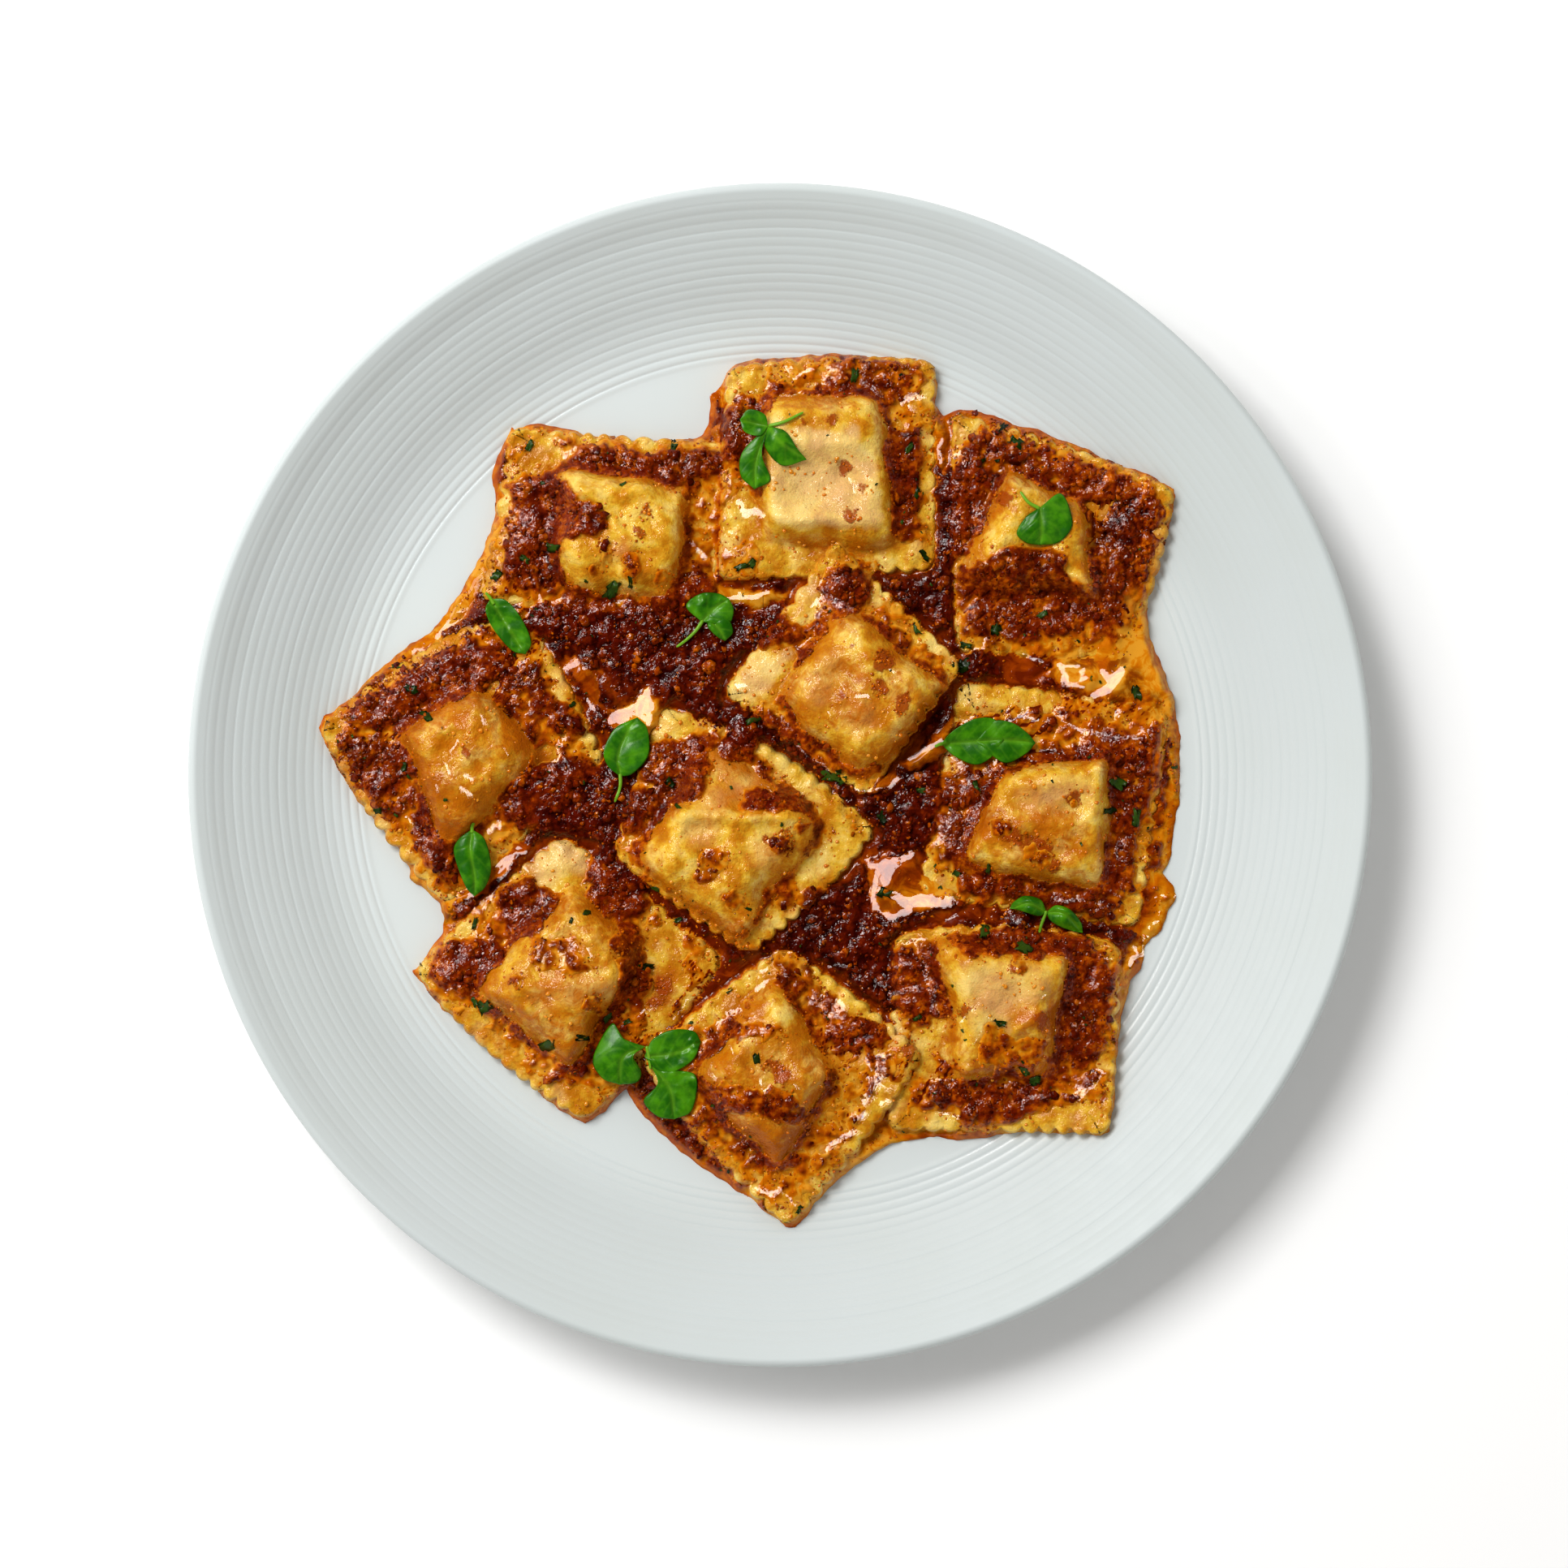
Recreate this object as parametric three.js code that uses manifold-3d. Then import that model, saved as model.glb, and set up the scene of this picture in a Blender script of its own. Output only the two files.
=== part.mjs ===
// A plate of ten square ravioli in tomato and mince sauce, with basil, in millimetres, +Z up.
// The origin is the middle of the plate's foot, where it meets the table. Ravioli lie on the
// plate and on each other's flat edges, the sauce fills the gaps, and basil lies on top.
import * as THREE from "three";
import { mergeVertices } from "three/addons/utils/BufferGeometryUtils.js";
import Module from "manifold-3d";

const wasm = await Module();
wasm.setup();

// Driving dimensions of the plate.
const plateRadius = 150;
const wellRadius = 104;
const wellTop = 6;
const shoulderWidth = 20; // the curved band between the flat well and the straight rim
const rimSlope = 0.48;
const rimThickness = 4;
const lipRadius = 2.2;
const footRadius = 92;
const footWidth = 7;
const footDepth = 2;
const rimThinning = 0.4; // how much thinner the rim is than the well at its start
const lipSink = 0.2; // how far the lip's middle stands below the face
const plateSteps = 48;

// Driving dimensions of the food.
const gap = 0.3; // left open between two pieces that touch
const spaceReach = 1.4 * gap; // reach of the space round a raviolo, more than a gap for its sharp edges
const sauceFilm = 0.7; // sauce under the ravioli
const sauceDepth = 3.4;
const sauceBevel = 1.1;
const doughThickness = 2.4; // the flat double edge of a raviolo
const wallLean = 0.7; // how far its underside stands back from the fluted outline
const scallopsPerSide = 8;
const scallopDepth = 1;
const cornerCut = 1.3;
const cornerReach = 0.15; // the share of a side over which its corner is eased
const edgeTop = 0.75; // height of the edge's upper rim, as a share of the dough's thickness
const pillowEase = 0.08; // how far the pillow's corners are drawn in
const stemRadius = 0.55;
const leafThickness = 0.8;
const leafGap = 0.5;

const colours = {
  porcelain: 0xe9eae8,
  pasta: 0xe3b566,
  sauce: 0x8c3a0c,
  basil: 0x2f7a12,
};

// Each raviolo's four corners run anticlockwise from the lowest or lower left one. lift is how far
// each corner stands above the plate on its neighbours, bow how far each side bulges outwards,
// pillow the four corners of the filled part, and rise the pillow's height at its corners and middle.
const ravioli = {
  ravioli_2: {
    corners: [[45, 31], [88, 29], [101, 73], [44, 93]],
    lift: [0, 0, 0, 0],
    bow: [0, 2, 1.5, 1],
    pillow: [[46, 50], [79, 46], [77, 70], [58, 76]],
    rise: [7, 9, 10, 10, 9],
  },
  ravioli_3: {
    corners: [[-77, 44], [-17, 41], [-13, 85], [-69, 89]],
    lift: [0, 0, 0, 0],
    bow: [1, 0, 0, 0],
    pillow: [[-56, 48], [-28, 44], [-24, 73], [-56, 78]],
    rise: [8, 10, 10, 9, 10],
  },
  ravioli_4: {
    corners: [[-85, -34], [-44, 3], [-66, 44], [-118, 12.5]],
    lift: [0, 0, 0, 0],
    bow: [0, 1, 3, 3],
    pillow: [[-85, -20], [-61, 6], [-77, 22], [-96, 11]],
    rise: [7, 9, 10, 10, 9],
  },
  ravioli_7: {
    corners: [[35, -30], [92, -39], [100, 16.5], [45.5, 24]],
    lift: [0, 0, 0, 0],
    bow: [1, 0, 1, 0],
    pillow: [[47, -22], [82, -29], [83, 4], [58, 2]],
    rise: [8, 9, 10, 11, 9],
  },
  ravioli_8: {
    corners: [[-50, -89], [-14, -47], [-56, -15], [-94, -50]],
    lift: [0, 0, 0, 0],
    bow: [2, 1, 1, 3],
    pillow: [[-54, -75], [-35, -45], [-54, -28], [-77, -54]],
    rise: [8, 10, 8, 9, 11],
  },
  ravioli_10: {
    corners: [[27, -91], [84, -92], [87, -43], [29, -41]],
    lift: [0, 0, 2.9, 2.9],
    bow: [0, 1, 4, 0],
    pillow: [[46, -77], [69, -76], [72, -45], [40, -43]],
    rise: [9, 8, 10, 10, 11],
  },
  ravioli_1: {
    corners: [[-16, 49.5], [40, 52], [40, 106], [-14, 104]],
    lift: [3, 0, 0, 3],
    bow: [0, 0, 2, 0],
    pillow: [[-4, 60], [29, 60], [25, 96], [-4, 96]],
    rise: [9, 9, 9, 10, 8],
  },
  ravioli_9: {
    corners: [[2, -116], [37, -71], [1, -43.5], [-36, -73]],
    lift: [0, 3, 0.6, 3],
    bow: [2, 1, 1, 2],
    pillow: [[-1, -101], [13, -76], [-1, -53], [-21, -76]],
    rise: [8, 10, 10, 10, 10],
  },
  ravioli_6: {
    corners: [[-8, -46], [25, -14], [-31, 18], [-43, -20]],
    lift: [3.2, 0.6, 0, 3.2],
    bow: [2, 5, 0, 1],
    pillow: [[-11, -41], [10, -11], [-18, 7], [-37, -21]],
    rise: [8, 10, 6, 9, 9],
  },
  ravioli_5: {
    corners: [[22, -6], [47, 28], [14, 60], [-15, 21]],
    lift: [3, 3.2, 3.2, 3.4],
    bow: [0, 0, 0, 0],
    pillow: [[20, 0], [42, 22], [16, 42], [1, 20]],
    rise: [9, 10, 10, 9, 10],
  },
};

// The pool of sauce, a closed outline on the plate that stays under the outer ravioli.
const sauceOutline = [
  [103, 2], [102, 14], [97, 29], [94, 40], [95, 54], [86, 66], [70, 78], [42, 91], [24, 99],
  [0, 99], [-18, 88], [-40, 80], [-66, 82], [-74, 62], [-80, 51], [-92, 34], [-104, 16],
  [-106, 4], [-100, -14], [-90, -31], [-85, -38], [-88, -52], [-74, -65], [-62, -78], [-47, -85],
  [-37, -84], [-26, -95], [-10, -104], [4, -106], [18, -99], [30, -93], [50, -92], [78, -88],
  [83, -76], [86, -62], [93, -51], [96, -38], [101, -20],
];

// Basil leaves. Each runs from base to tip, with points of its middle rib and of its left and
// right edge on the way; the third number is the height above the sprig's lowest point.
const sprigs = {
  basil_1: {
    leaves: [
      { base: [-3, 88.5, 1], tip: [-10.2, 90.2, 0.8], rib: [[-6.5, 89.2, 0.3]],
        left: [[-5, 86, 1.6], [-9, 87, 1.4]], right: [[-4, 91.5, 1.4], [-8, 92.7, 1.2]] },
      { base: [-3, 88.5, 1], tip: [-6.5, 72.5, 0], rib: [[-6, 80, 1]],
        left: [[-5, 82, 1.2], [-2.5, 75, 0.6]], right: [[-9.5, 82, 1], [-10, 76, 0.4]] },
      { base: [-3, 88.5, 1], tip: [6.8, 80, 0.6], rib: [[0.5, 84, 1.6]],
        left: [[1.5, 87, 1.2], [4.5, 82.5, 2.4]], right: [[-4, 83.5, 0.8], [0.5, 78.5, 0.6]] },
    ],
    stem: [[-3, 88.5, 1.2], [1, 89.5, 2], [6, 92, 1.4]],
  },
  basil_2: {
    leaves: [
      { base: [66, 68, 1.4], tip: [66, 58.4, 0.2], rib: [[66.5, 63, 1.8]],
        left: [[71.5, 71.5, 0.6], [74.3, 64, 0.6], [71, 59.2, 0.2]],
        right: [[62.5, 65.6, 1], [60.1, 61.5, 0.4], [62.5, 59, 0.2]] },
    ],
    stem: [[66, 67.6, 1.5], [63, 69.3, 1.6], [61, 72, 0.8]],
  },
  basil_3: {
    leaves: [
      { base: [-74, 45, 0.6], tip: [-65, 30.8, 0.4], rib: [[-71.5, 41, 0.4], [-68, 35.5, 0.6]],
        left: [[-70, 44.6, 1.6], [-66, 40, 2], [-63.5, 34, 1]],
        right: [[-75.2, 42, 1.2], [-73, 37, 1.4], [-68.5, 31.8, 0.8]] },
    ],
    stem: [[-73, 43.5, 0.8], [-74, 45.2, 0.8], [-75.2, 46.6, 0.8]],
  },
  basil_4: {
    leaves: [
      { base: [-20, 39, 0.8], tip: [-13, 45, 0.6], rib: [[-17, 42.2, 1]],
        left: [[-24, 43, 1.2], [-20.5, 46.2, 1], [-16, 46.4, 0.6]],
        right: [[-17, 38.6, 1.2], [-13, 38.6, 1], [-11.8, 42, 0.6]] },
      { base: [-18, 40, 0.8], tip: [-14, 34.2, 0.4], rib: [[-15.5, 37, 1]],
        left: [[-13.5, 40, 1.2], [-12, 36.5, 0.8]], right: [[-18.5, 37.8, 1], [-16, 35.2, 0.6]] },
    ],
    stem: [[-19.6, 39.6, 1], [-21.5, 36.8, 1.4], [-24, 34.4, 1], [-26.5, 32.6, 0.6]],
  },
  basil_5: {
    leaves: [
      { base: [-40.8, -0.4, 0.6], tip: [-36.4, 14.7, 0.6], rib: [[-41.2, 5, 0.8], [-39, 10.6, 0.8]],
        left: [[-44, 2.4, 1.6], [-44.9, 6.4, 1.8], [-42, 12, 1.2]],
        right: [[-37.5, 0.4, 1.2], [-33.6, 5, 1.8], [-33.8, 11.6, 1]] },
    ],
    stem: [[-40.8, 0.4, 0.9], [-40.8, -3, 1], [-42.2, -7, 0.6]],
  },
  basil_6: {
    leaves: [
      { base: [-78.5, -13.8, 0.6], tip: [-78, -31, 0.4], rib: [[-79, -19, 1.6], [-77.8, -26, 1.2]],
        left: [[-75.2, -16.5, 1.2], [-73.6, -23.5, 0.6], [-75.2, -28.6, 0.6]],
        right: [[-82, -16.4, 1], [-83.2, -20, 0.6], [-80.4, -28, 0.8]] },
    ],
    stem: [[-78.5, -14.8, 0.8], [-78.5, -13.4, 0.8], [-78, -12.2, 0.8]],
  },
  basil_7: {
    leaves: [
      { base: [41, 8, 0.4], tip: [57, 9, 1.4], rib: [[49, 8.4, 0.6]],
        right: [[44.5, 4.8, 1.2], [50, 2.6, 1], [54.5, 5, 1]],
        left: [[44.5, 11.6, 1.6], [50, 14.4, 2], [55, 14, 1.8]] },
      { base: [50, 8.6, 1], tip: [65.2, 8.2, 0.6], rib: [[58, 8.8, 1]],
        right: [[54, 5, 1.2], [58, 3, 1], [63, 5.6, 0.6]],
        left: [[54, 13.6, 1.8], [59, 13.4, 1.8], [63, 10.8, 1]] },
    ],
    stem: [[42, 8, 0.6], [40.6, 7.8, 0.6], [39.4, 7.2, 0.6]],
  },
  basil_8: {
    leaves: [
      { base: [68, -35, 1], tip: [58.6, -34.2, 0], rib: [[63.5, -32.8, 3]],
        right: [[66.5, -31.8, 1.6], [62.5, -30.8, 1.6], [59.6, -32.4, 0.6]],
        left: [[66, -36, 2.2], [63, -35.2, 2.6], [60.4, -34.4, 1]] },
      { base: [68, -35, 1], tip: [77.3, -40.3, 0], rib: [[72.6, -35.6, 3]],
        right: [[69, -37.2, 1.6], [72, -39, 1.6], [75.4, -40, 0.6]],
        left: [[70.4, -33.2, 2], [74, -34.3, 2.6], [76.8, -37.6, 1]] },
    ],
    stem: [[68, -34.6, 1.2], [67, -37.4, 1], [66, -40.2, 0.4]],
  },
  basil_9: {
    leaves: [
      { base: [-34.4, -69.2, 1.3], tip: [-41, -79, 0], rib: [[-40, -72, 2]],
        right: [[-40, -67, 1.6], [-43, -63.4, 0.6], [-47.7, -72, 0.6], [-45.5, -77.2, 0.2]],
        left: [[-37.6, -71, 1.6], [-35.4, -75.6, 0.8], [-36.6, -78.4, 0.4]] },
      { base: [-34.6, -71.8, 1.2], tip: [-20.2, -68, 0.8], rib: [[-27, -71, 1]],
        right: [[-31.5, -75, 1.4], [-27, -75.6, 1.6], [-22, -72.4, 1.4]],
        left: [[-32.5, -67.4, 1.6], [-27.5, -64.9, 2.2], [-22, -65.3, 1.6]] },
      { base: [-33, -74, 1], tip: [-27, -87.8, 0.4], rib: [[-28, -80, 1]],
        left: [[-26, -75.2, 0.6], [-21.3, -77, 1], [-22.4, -85.4, 0.4]],
        right: [[-31, -78.6, 1], [-34.8, -83, 0.4], [-31.4, -87, 0.4]] },
    ],
    stem: [[-34, -69, 1.2], [-33.4, -72, 1.2], [-33, -75, 1.2]],
  },
};

// The rings of a raviolo's upper face. reach is how far out a ring lies when its lift is mixed, from
// 0 at the middle to 1 at the edge; share is its place between the edge and the pillow, scale its size
// as a share of the pillow's outline, and rise its height as a share of the pillow's.
const rings = {
  border: { reach: 0.86, share: 0.35 },
  foot: { reach: 0.66, raise: 0.3 },
  shoulder: { reach: 0.56, scale: 0.86, rise: 0.72 },
  crown: { reach: 0.38, scale: 0.58 },
};
const lipTurns = [-50, -10, 30, 75, 120]; // degrees round the lip, from its underside to its top
const shoulderShares = [0.75, 0.5, 0.25];
const leafSection = [0, 0.8, 1, 0.8, 0]; // thickness across a leaf, as shares of the whole
const knot = { radius: 1, flatness: 0.6, sides: 6, bands: 4 }; // where a sprig's leaves and stem meet

const squareCorners = [[-1, -1], [1, -1], [1, 1], [-1, 1]];
const coarseSteps = 8; // points on each side of a raviolo's inner rings; its outline has twice as many
const leafRows = 5;
const stemSteps = 4;
const stemSides = 6;
const weldDistance = 1e-4; // points nearer than this become one
const dropFrom = 200; // a height well above everything, from which rests are measured

const slopeStart = wellRadius + shoulderWidth;
const slopeStartTop = wellTop + (rimSlope * shoulderWidth) / 2;
const lipInside = plateRadius - 2 * lipRadius;
const lipInsideTop = slopeStartTop + rimSlope * (lipInside - slopeStart);

// Height of the plate's upper face at a distance from its middle: flat, then a parabola, then straight.
function plateTopAt(radius) {
  if (radius <= wellRadius) return wellTop;
  if (radius <= slopeStart) return wellTop + (rimSlope * (radius - wellRadius) ** 2) / (2 * shoulderWidth);
  return slopeStartTop + rimSlope * (radius - slopeStart);
}

// The plate's section, from the middle of its underside round the foot, rim and lip to the middle of its top.
function plateProfile(raise) {
  const points = [[0, footDepth], [footRadius - footWidth, footDepth], [footRadius - footWidth + 1, 0]];
  points.push([footRadius - 1, 0], [footRadius + 1, footDepth], [wellRadius, wellTop - rimThickness]);
  points.push([slopeStart, slopeStartTop - rimThickness + rimThinning]);
  for (const turn of lipTurns) {
    const angle = THREE.MathUtils.degToRad(turn);
    const radius = plateRadius - lipRadius + lipRadius * Math.cos(angle);
    points.push([radius, lipInsideTop - lipSink + lipRadius * Math.sin(angle) + raise]);
  }
  points.push([slopeStart, slopeStartTop + raise]);
  for (const share of shoulderShares) {
    const radius = wellRadius + share * shoulderWidth;
    points.push([radius, plateTopAt(radius) + raise]);
  }
  points.push([wellRadius, wellTop + raise], [0, wellTop + raise]);
  return points.map(([radius, height]) => new THREE.Vector2(radius, height));
}

// LatheGeometry turns about Y; this stands it up about Z.
function plateGeometry(raise) {
  return new THREE.LatheGeometry(plateProfile(raise), plateSteps).rotateX(Math.PI / 2);
}

// A closed solid: points that coincide are joined and faces that have shrunk to a line are dropped.
function solidFrom(geometry) {
  const plain = geometry.clone();
  plain.deleteAttribute("normal");
  plain.deleteAttribute("uv");
  const merged = mergeVertices(plain, weldDistance);
  const corners = merged.index.array;
  const kept = [];
  for (let i = 0; i < corners.length; i += 3) {
    const [a, b, c] = [corners[i], corners[i + 1], corners[i + 2]];
    if (a !== b && b !== c && c !== a) kept.push(a, b, c);
  }
  const vertProperties = new Float32Array(merged.attributes.position.array);
  return new wasm.Manifold(new wasm.Mesh({ numProp: 3, vertProperties, triVerts: new Uint32Array(kept) }));
}

// The largest body of a solid, as a geometry.
function geometryFrom(solid) {
  const body = solid.decompose().sort((a, b) => b.volume() - a.volume())[0];
  const mesh = body.getMesh();
  const geometry = new THREE.BufferGeometry();
  geometry.setAttribute("position", new THREE.BufferAttribute(new Float32Array(mesh.vertProperties), 3));
  geometry.setIndex(new THREE.BufferAttribute(new Uint32Array(mesh.triVerts), 1));
  geometry.computeVertexNormals();
  return geometry;
}

function meshOf(name, geometry, colour, roughness) {
  const material = new THREE.MeshStandardMaterial({ color: colour, roughness, metalness: 0 });
  const mesh = new THREE.Mesh(geometry, material);
  mesh.name = name;
  return mesh;
}

// The mix of four corner values at a place (u, v) of the square from -1 to 1.
function mixCorners(values, [u, v]) {
  const shares = squareCorners.map(([cu, cv]) => ((1 + cu * u) * (1 + cv * v)) / 4);
  return shares.reduce((sum, share, i) => sum + share * values[i], 0);
}

// A place round a four-cornered outline, t from 0 to 4, with the outward direction there.
function aroundAt(corners, t) {
  const side = Math.floor(t) % 4;
  const share = t - Math.floor(t);
  const outwards = (from, to) => {
    const [x, y] = [to[0] - from[0], to[1] - from[1]];
    return [y / Math.hypot(x, y), -x / Math.hypot(x, y)];
  };
  const from = corners[side];
  const to = corners[(side + 1) % 4];
  const normal = outwards(from, to);
  if (share === 0) {
    const before = outwards(corners[(side + 3) % 4], from);
    normal[0] += before[0];
    normal[1] += before[1];
  }
  const place = [from[0] + (to[0] - from[0]) * share, from[1] + (to[1] - from[1]) * share];
  return { side, share, place, normal };
}

// The outline of a raviolo moved outwards by offset. A fluted one has scallops and eased corners, all
// inside the plain one.
function outlineAt(piece, t, offset, fluted) {
  const { side, share, place, normal } = aroundAt(piece.corners, t);
  const bulge = 4 * piece.bow[side] * share * (1 - share);
  const flute = scallopDepth * (1 - Math.abs(Math.sin(Math.PI * scallopsPerSide * share)));
  const nearCorner = Math.max(0, 1 - Math.min(share, 1 - share) / cornerReach);
  const inwards = fluted ? flute * (1 - nearCorner) + cornerCut * nearCorner ** 2 : 0;
  const out = offset + bulge - inwards;
  return [place[0] + normal[0] * out, place[1] + normal[1] * out];
}

// The pillow's outline with eased corners, shrunk about its middle by scale.
function pillowAt(piece, t, scale) {
  const { share, place } = aroundAt(piece.pillow, t);
  const middle = mixCorners(piece.pillow.map((p) => p[0]), [0, 0]);
  const middleY = mixCorners(piece.pillow.map((p) => p[1]), [0, 0]);
  const ease = 1 - pillowEase * (2 * share - 1) ** 4;
  const size = scale * ease;
  return [middle + (place[0] - middle) * size, middleY + (place[1] - middleY) * size];
}

// Two triangles for each step between rings of the same length, or three where the first has twice as many.
function stitch(triangles, outer, inner) {
  const count = inner.length;
  for (let i = 0; i < count; i++) {
    const next = (i + 1) % count;
    if (outer.length === count) {
      triangles.push(outer[i], outer[next], inner[i], outer[next], inner[next], inner[i]);
    } else {
      const [a, b, c] = [outer[2 * i], outer[2 * i + 1], outer[(2 * i + 2) % outer.length]];
      triangles.push(a, b, inner[i], b, c, inner[next], b, inner[next], inner[i]);
    }
  }
}

// A raviolo as rings of points: its underside, the edge, the flat border and the pillow.
function raviolo(piece, fluted) {
  const edgeSteps = fluted ? 2 * scallopsPerSide : coarseSteps;
  const points = [];
  const triangles = [];
  const base = gap + sauceFilm + gap;
  const addPoint = (x, y, square, height) => {
    const floor = plateTopAt(Math.hypot(x, y)) + base;
    points.push(x, y, floor + mixCorners(piece.lift, square) + height);
    return points.length / 3 - 1;
  };
  const ring = (steps, reach, placeAt, heightAt) => {
    const made = [];
    for (let i = 0; i < 4 * steps; i++) {
      const t = i / steps;
      const [x, y] = placeAt(t);
      const square = aroundAt(squareCorners, t).place.map((value) => value * reach);
      made.push(addPoint(x, y, square, heightAt(t)));
    }
    return made;
  };
  const pillowRise = (t) => {
    const { side, share } = aroundAt(piece.pillow, t);
    return piece.rise[side] * (1 - share) + piece.rise[(side + 1) % 4] * share;
  };
  const between = (t, share) => {
    const outer = outlineAt(piece, t, 0, fluted);
    const inner = pillowAt(piece, t, 1);
    return [outer[0] + (inner[0] - outer[0]) * share, outer[1] + (inner[1] - outer[1]) * share];
  };
  const top = doughThickness;
  const middle = pillowAt(piece, 0, 0);
  const edgeAt = (offset) => (t) => outlineAt(piece, t, offset, fluted);
  const { border, foot, shoulder, crown } = rings;
  const undersideEdge = ring(edgeSteps, 1, edgeAt(-wallLean), () => 0);
  const undersideMiddle = addPoint(middle[0], middle[1], [0, 0], 0);
  const topEdge = ring(edgeSteps, 1, edgeAt(0), () => edgeTop * doughThickness);
  const borderRing = ring(coarseSteps, border.reach, (t) => between(t, border.share), () => top);
  const footRing = ring(coarseSteps, foot.reach, (t) => pillowAt(piece, t, 1), () => top + foot.raise);
  const shoulderAt = (t) => pillowAt(piece, t, shoulder.scale);
  const shoulderTop = (t) => top + shoulder.rise * pillowRise(t);
  const shoulderRing = ring(coarseSteps, shoulder.reach, shoulderAt, shoulderTop);
  const crownAt = (t) => pillowAt(piece, t, crown.scale);
  const crownRing = ring(coarseSteps / 2, crown.reach, crownAt, (t) => top + pillowRise(t));
  const crownMiddle = addPoint(middle[0], middle[1], [0, 0], top + piece.rise[4]);
  stitch(triangles, undersideEdge, topEdge);
  stitch(triangles, topEdge, borderRing);
  stitch(triangles, borderRing, footRing);
  stitch(triangles, footRing, shoulderRing);
  stitch(triangles, shoulderRing, crownRing);
  crownRing.forEach((point, i) => triangles.push(point, crownRing[(i + 1) % crownRing.length], crownMiddle));
  undersideEdge.forEach((point, i) => {
    triangles.push(undersideEdge[(i + 1) % undersideEdge.length], point, undersideMiddle);
  });
  const geometry = new THREE.BufferGeometry();
  geometry.setAttribute("position", new THREE.Float32BufferAttribute(points, 3));
  geometry.setIndex(triangles);
  return geometry;
}

// The space that a piece's neighbours keep clear: each point moved out along its normal.
function spaceAround(geometry) {
  const swollen = geometry.clone();
  swollen.computeVertexNormals();
  const { position, normal } = swollen.attributes;
  for (let i = 0; i < position.count; i++) {
    const point = new THREE.Vector3().fromBufferAttribute(position, i);
    point.addScaledVector(new THREE.Vector3().fromBufferAttribute(normal, i), spaceReach);
    position.setXYZ(i, point.x, point.y, point.z);
  }
  return solidFrom(swollen);
}

// The pool: its outline extruded with a rounded edge, less the plate below and the ravioli in it.
function sauceSolid(ravioliSpaces) {
  const outline = new THREE.SplineCurve(sauceOutline.map(([x, y]) => new THREE.Vector2(x, y)));
  const shape = new THREE.Shape(outline.getPoints(sauceOutline.length));
  const height = sauceDepth + 1;
  const options = {
    depth: height - 2 * sauceBevel,
    bevelEnabled: true,
    bevelThickness: sauceBevel,
    bevelSize: sauceBevel,
    bevelOffset: -sauceBevel,
    bevelSegments: 1,
  };
  const pool = new THREE.ExtrudeGeometry(shape, options);
  pool.translate(0, 0, wellTop + gap + sauceDepth - height + sauceBevel);
  let solid = solidFrom(pool).subtract(solidFrom(plateGeometry(gap)));
  for (const space of ravioliSpaces) solid = solid.subtract(space);
  return solid;
}

// One leaf: rows from base to tip, each a curve from the left edge over the rib to the right edge,
// doubled into an upper and a lower face that meet at the edges.
function leafGeometry(leaf) {
  const lineOf = (middlePoints) => {
    const ends = [leaf.base, ...middlePoints, leaf.tip].map((p) => new THREE.Vector3(...p));
    return new THREE.CatmullRomCurve3(ends, false, "centripetal").getPoints(leafRows);
  };
  const [left, rib, right] = [lineOf(leaf.left), lineOf(leaf.rib), lineOf(leaf.right)];
  const rows = rib.map((middle, i) => {
    const halfway = (edge) => edge.clone().lerp(middle, 0.5);
    return [left[i], halfway(left[i]), middle, halfway(right[i]), right[i]];
  });
  const thickness = leafSection.map((share) => (share * leafThickness) / 2);
  const points = [];
  for (const face of [1, -1]) {
    for (const row of rows) {
      row.forEach((p, j) => points.push(p.x, p.y, p.z + face * thickness[j]));
    }
  }
  // At the base and the tip a row shrinks to one point, so both faces meet there.
  const columns = thickness.length;
  const faceSize = rows.length * columns;
  for (const row of [0, leafRows]) {
    for (let j = 0; j < columns; j++) {
      points[3 * (row * columns + j) + 2] = rows[row][0].z;
      points[3 * (faceSize + row * columns + j) + 2] = rows[row][0].z;
    }
  }
  const triangles = [];
  for (let i = 0; i < leafRows; i++) {
    for (let j = 0; j + 1 < columns; j++) {
      const [a, b] = [i * columns + j, i * columns + j + 1];
      const [c, d] = [a + columns, b + columns];
      triangles.push(a, b, c, b, d, c);
      triangles.push(faceSize + a, faceSize + c, faceSize + b, faceSize + b, faceSize + c, faceSize + d);
    }
  }
  const geometry = new THREE.BufferGeometry();
  geometry.setAttribute("position", new THREE.Float32BufferAttribute(points, 3));
  geometry.setIndex(triangles);
  return geometry;
}

// A stem: a circle drawn along a smooth curve through its points.
function stemGeometry(points) {
  const path = new THREE.CatmullRomCurve3(points.map((p) => new THREE.Vector3(...p)));
  const section = new THREE.Shape();
  section.absarc(0, 0, stemRadius, 0, 2 * Math.PI, false);
  const options = { steps: stemSteps, bevelEnabled: false, extrudePath: path, curveSegments: stemSides / 2 };
  return new THREE.ExtrudeGeometry(section, options);
}

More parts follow.
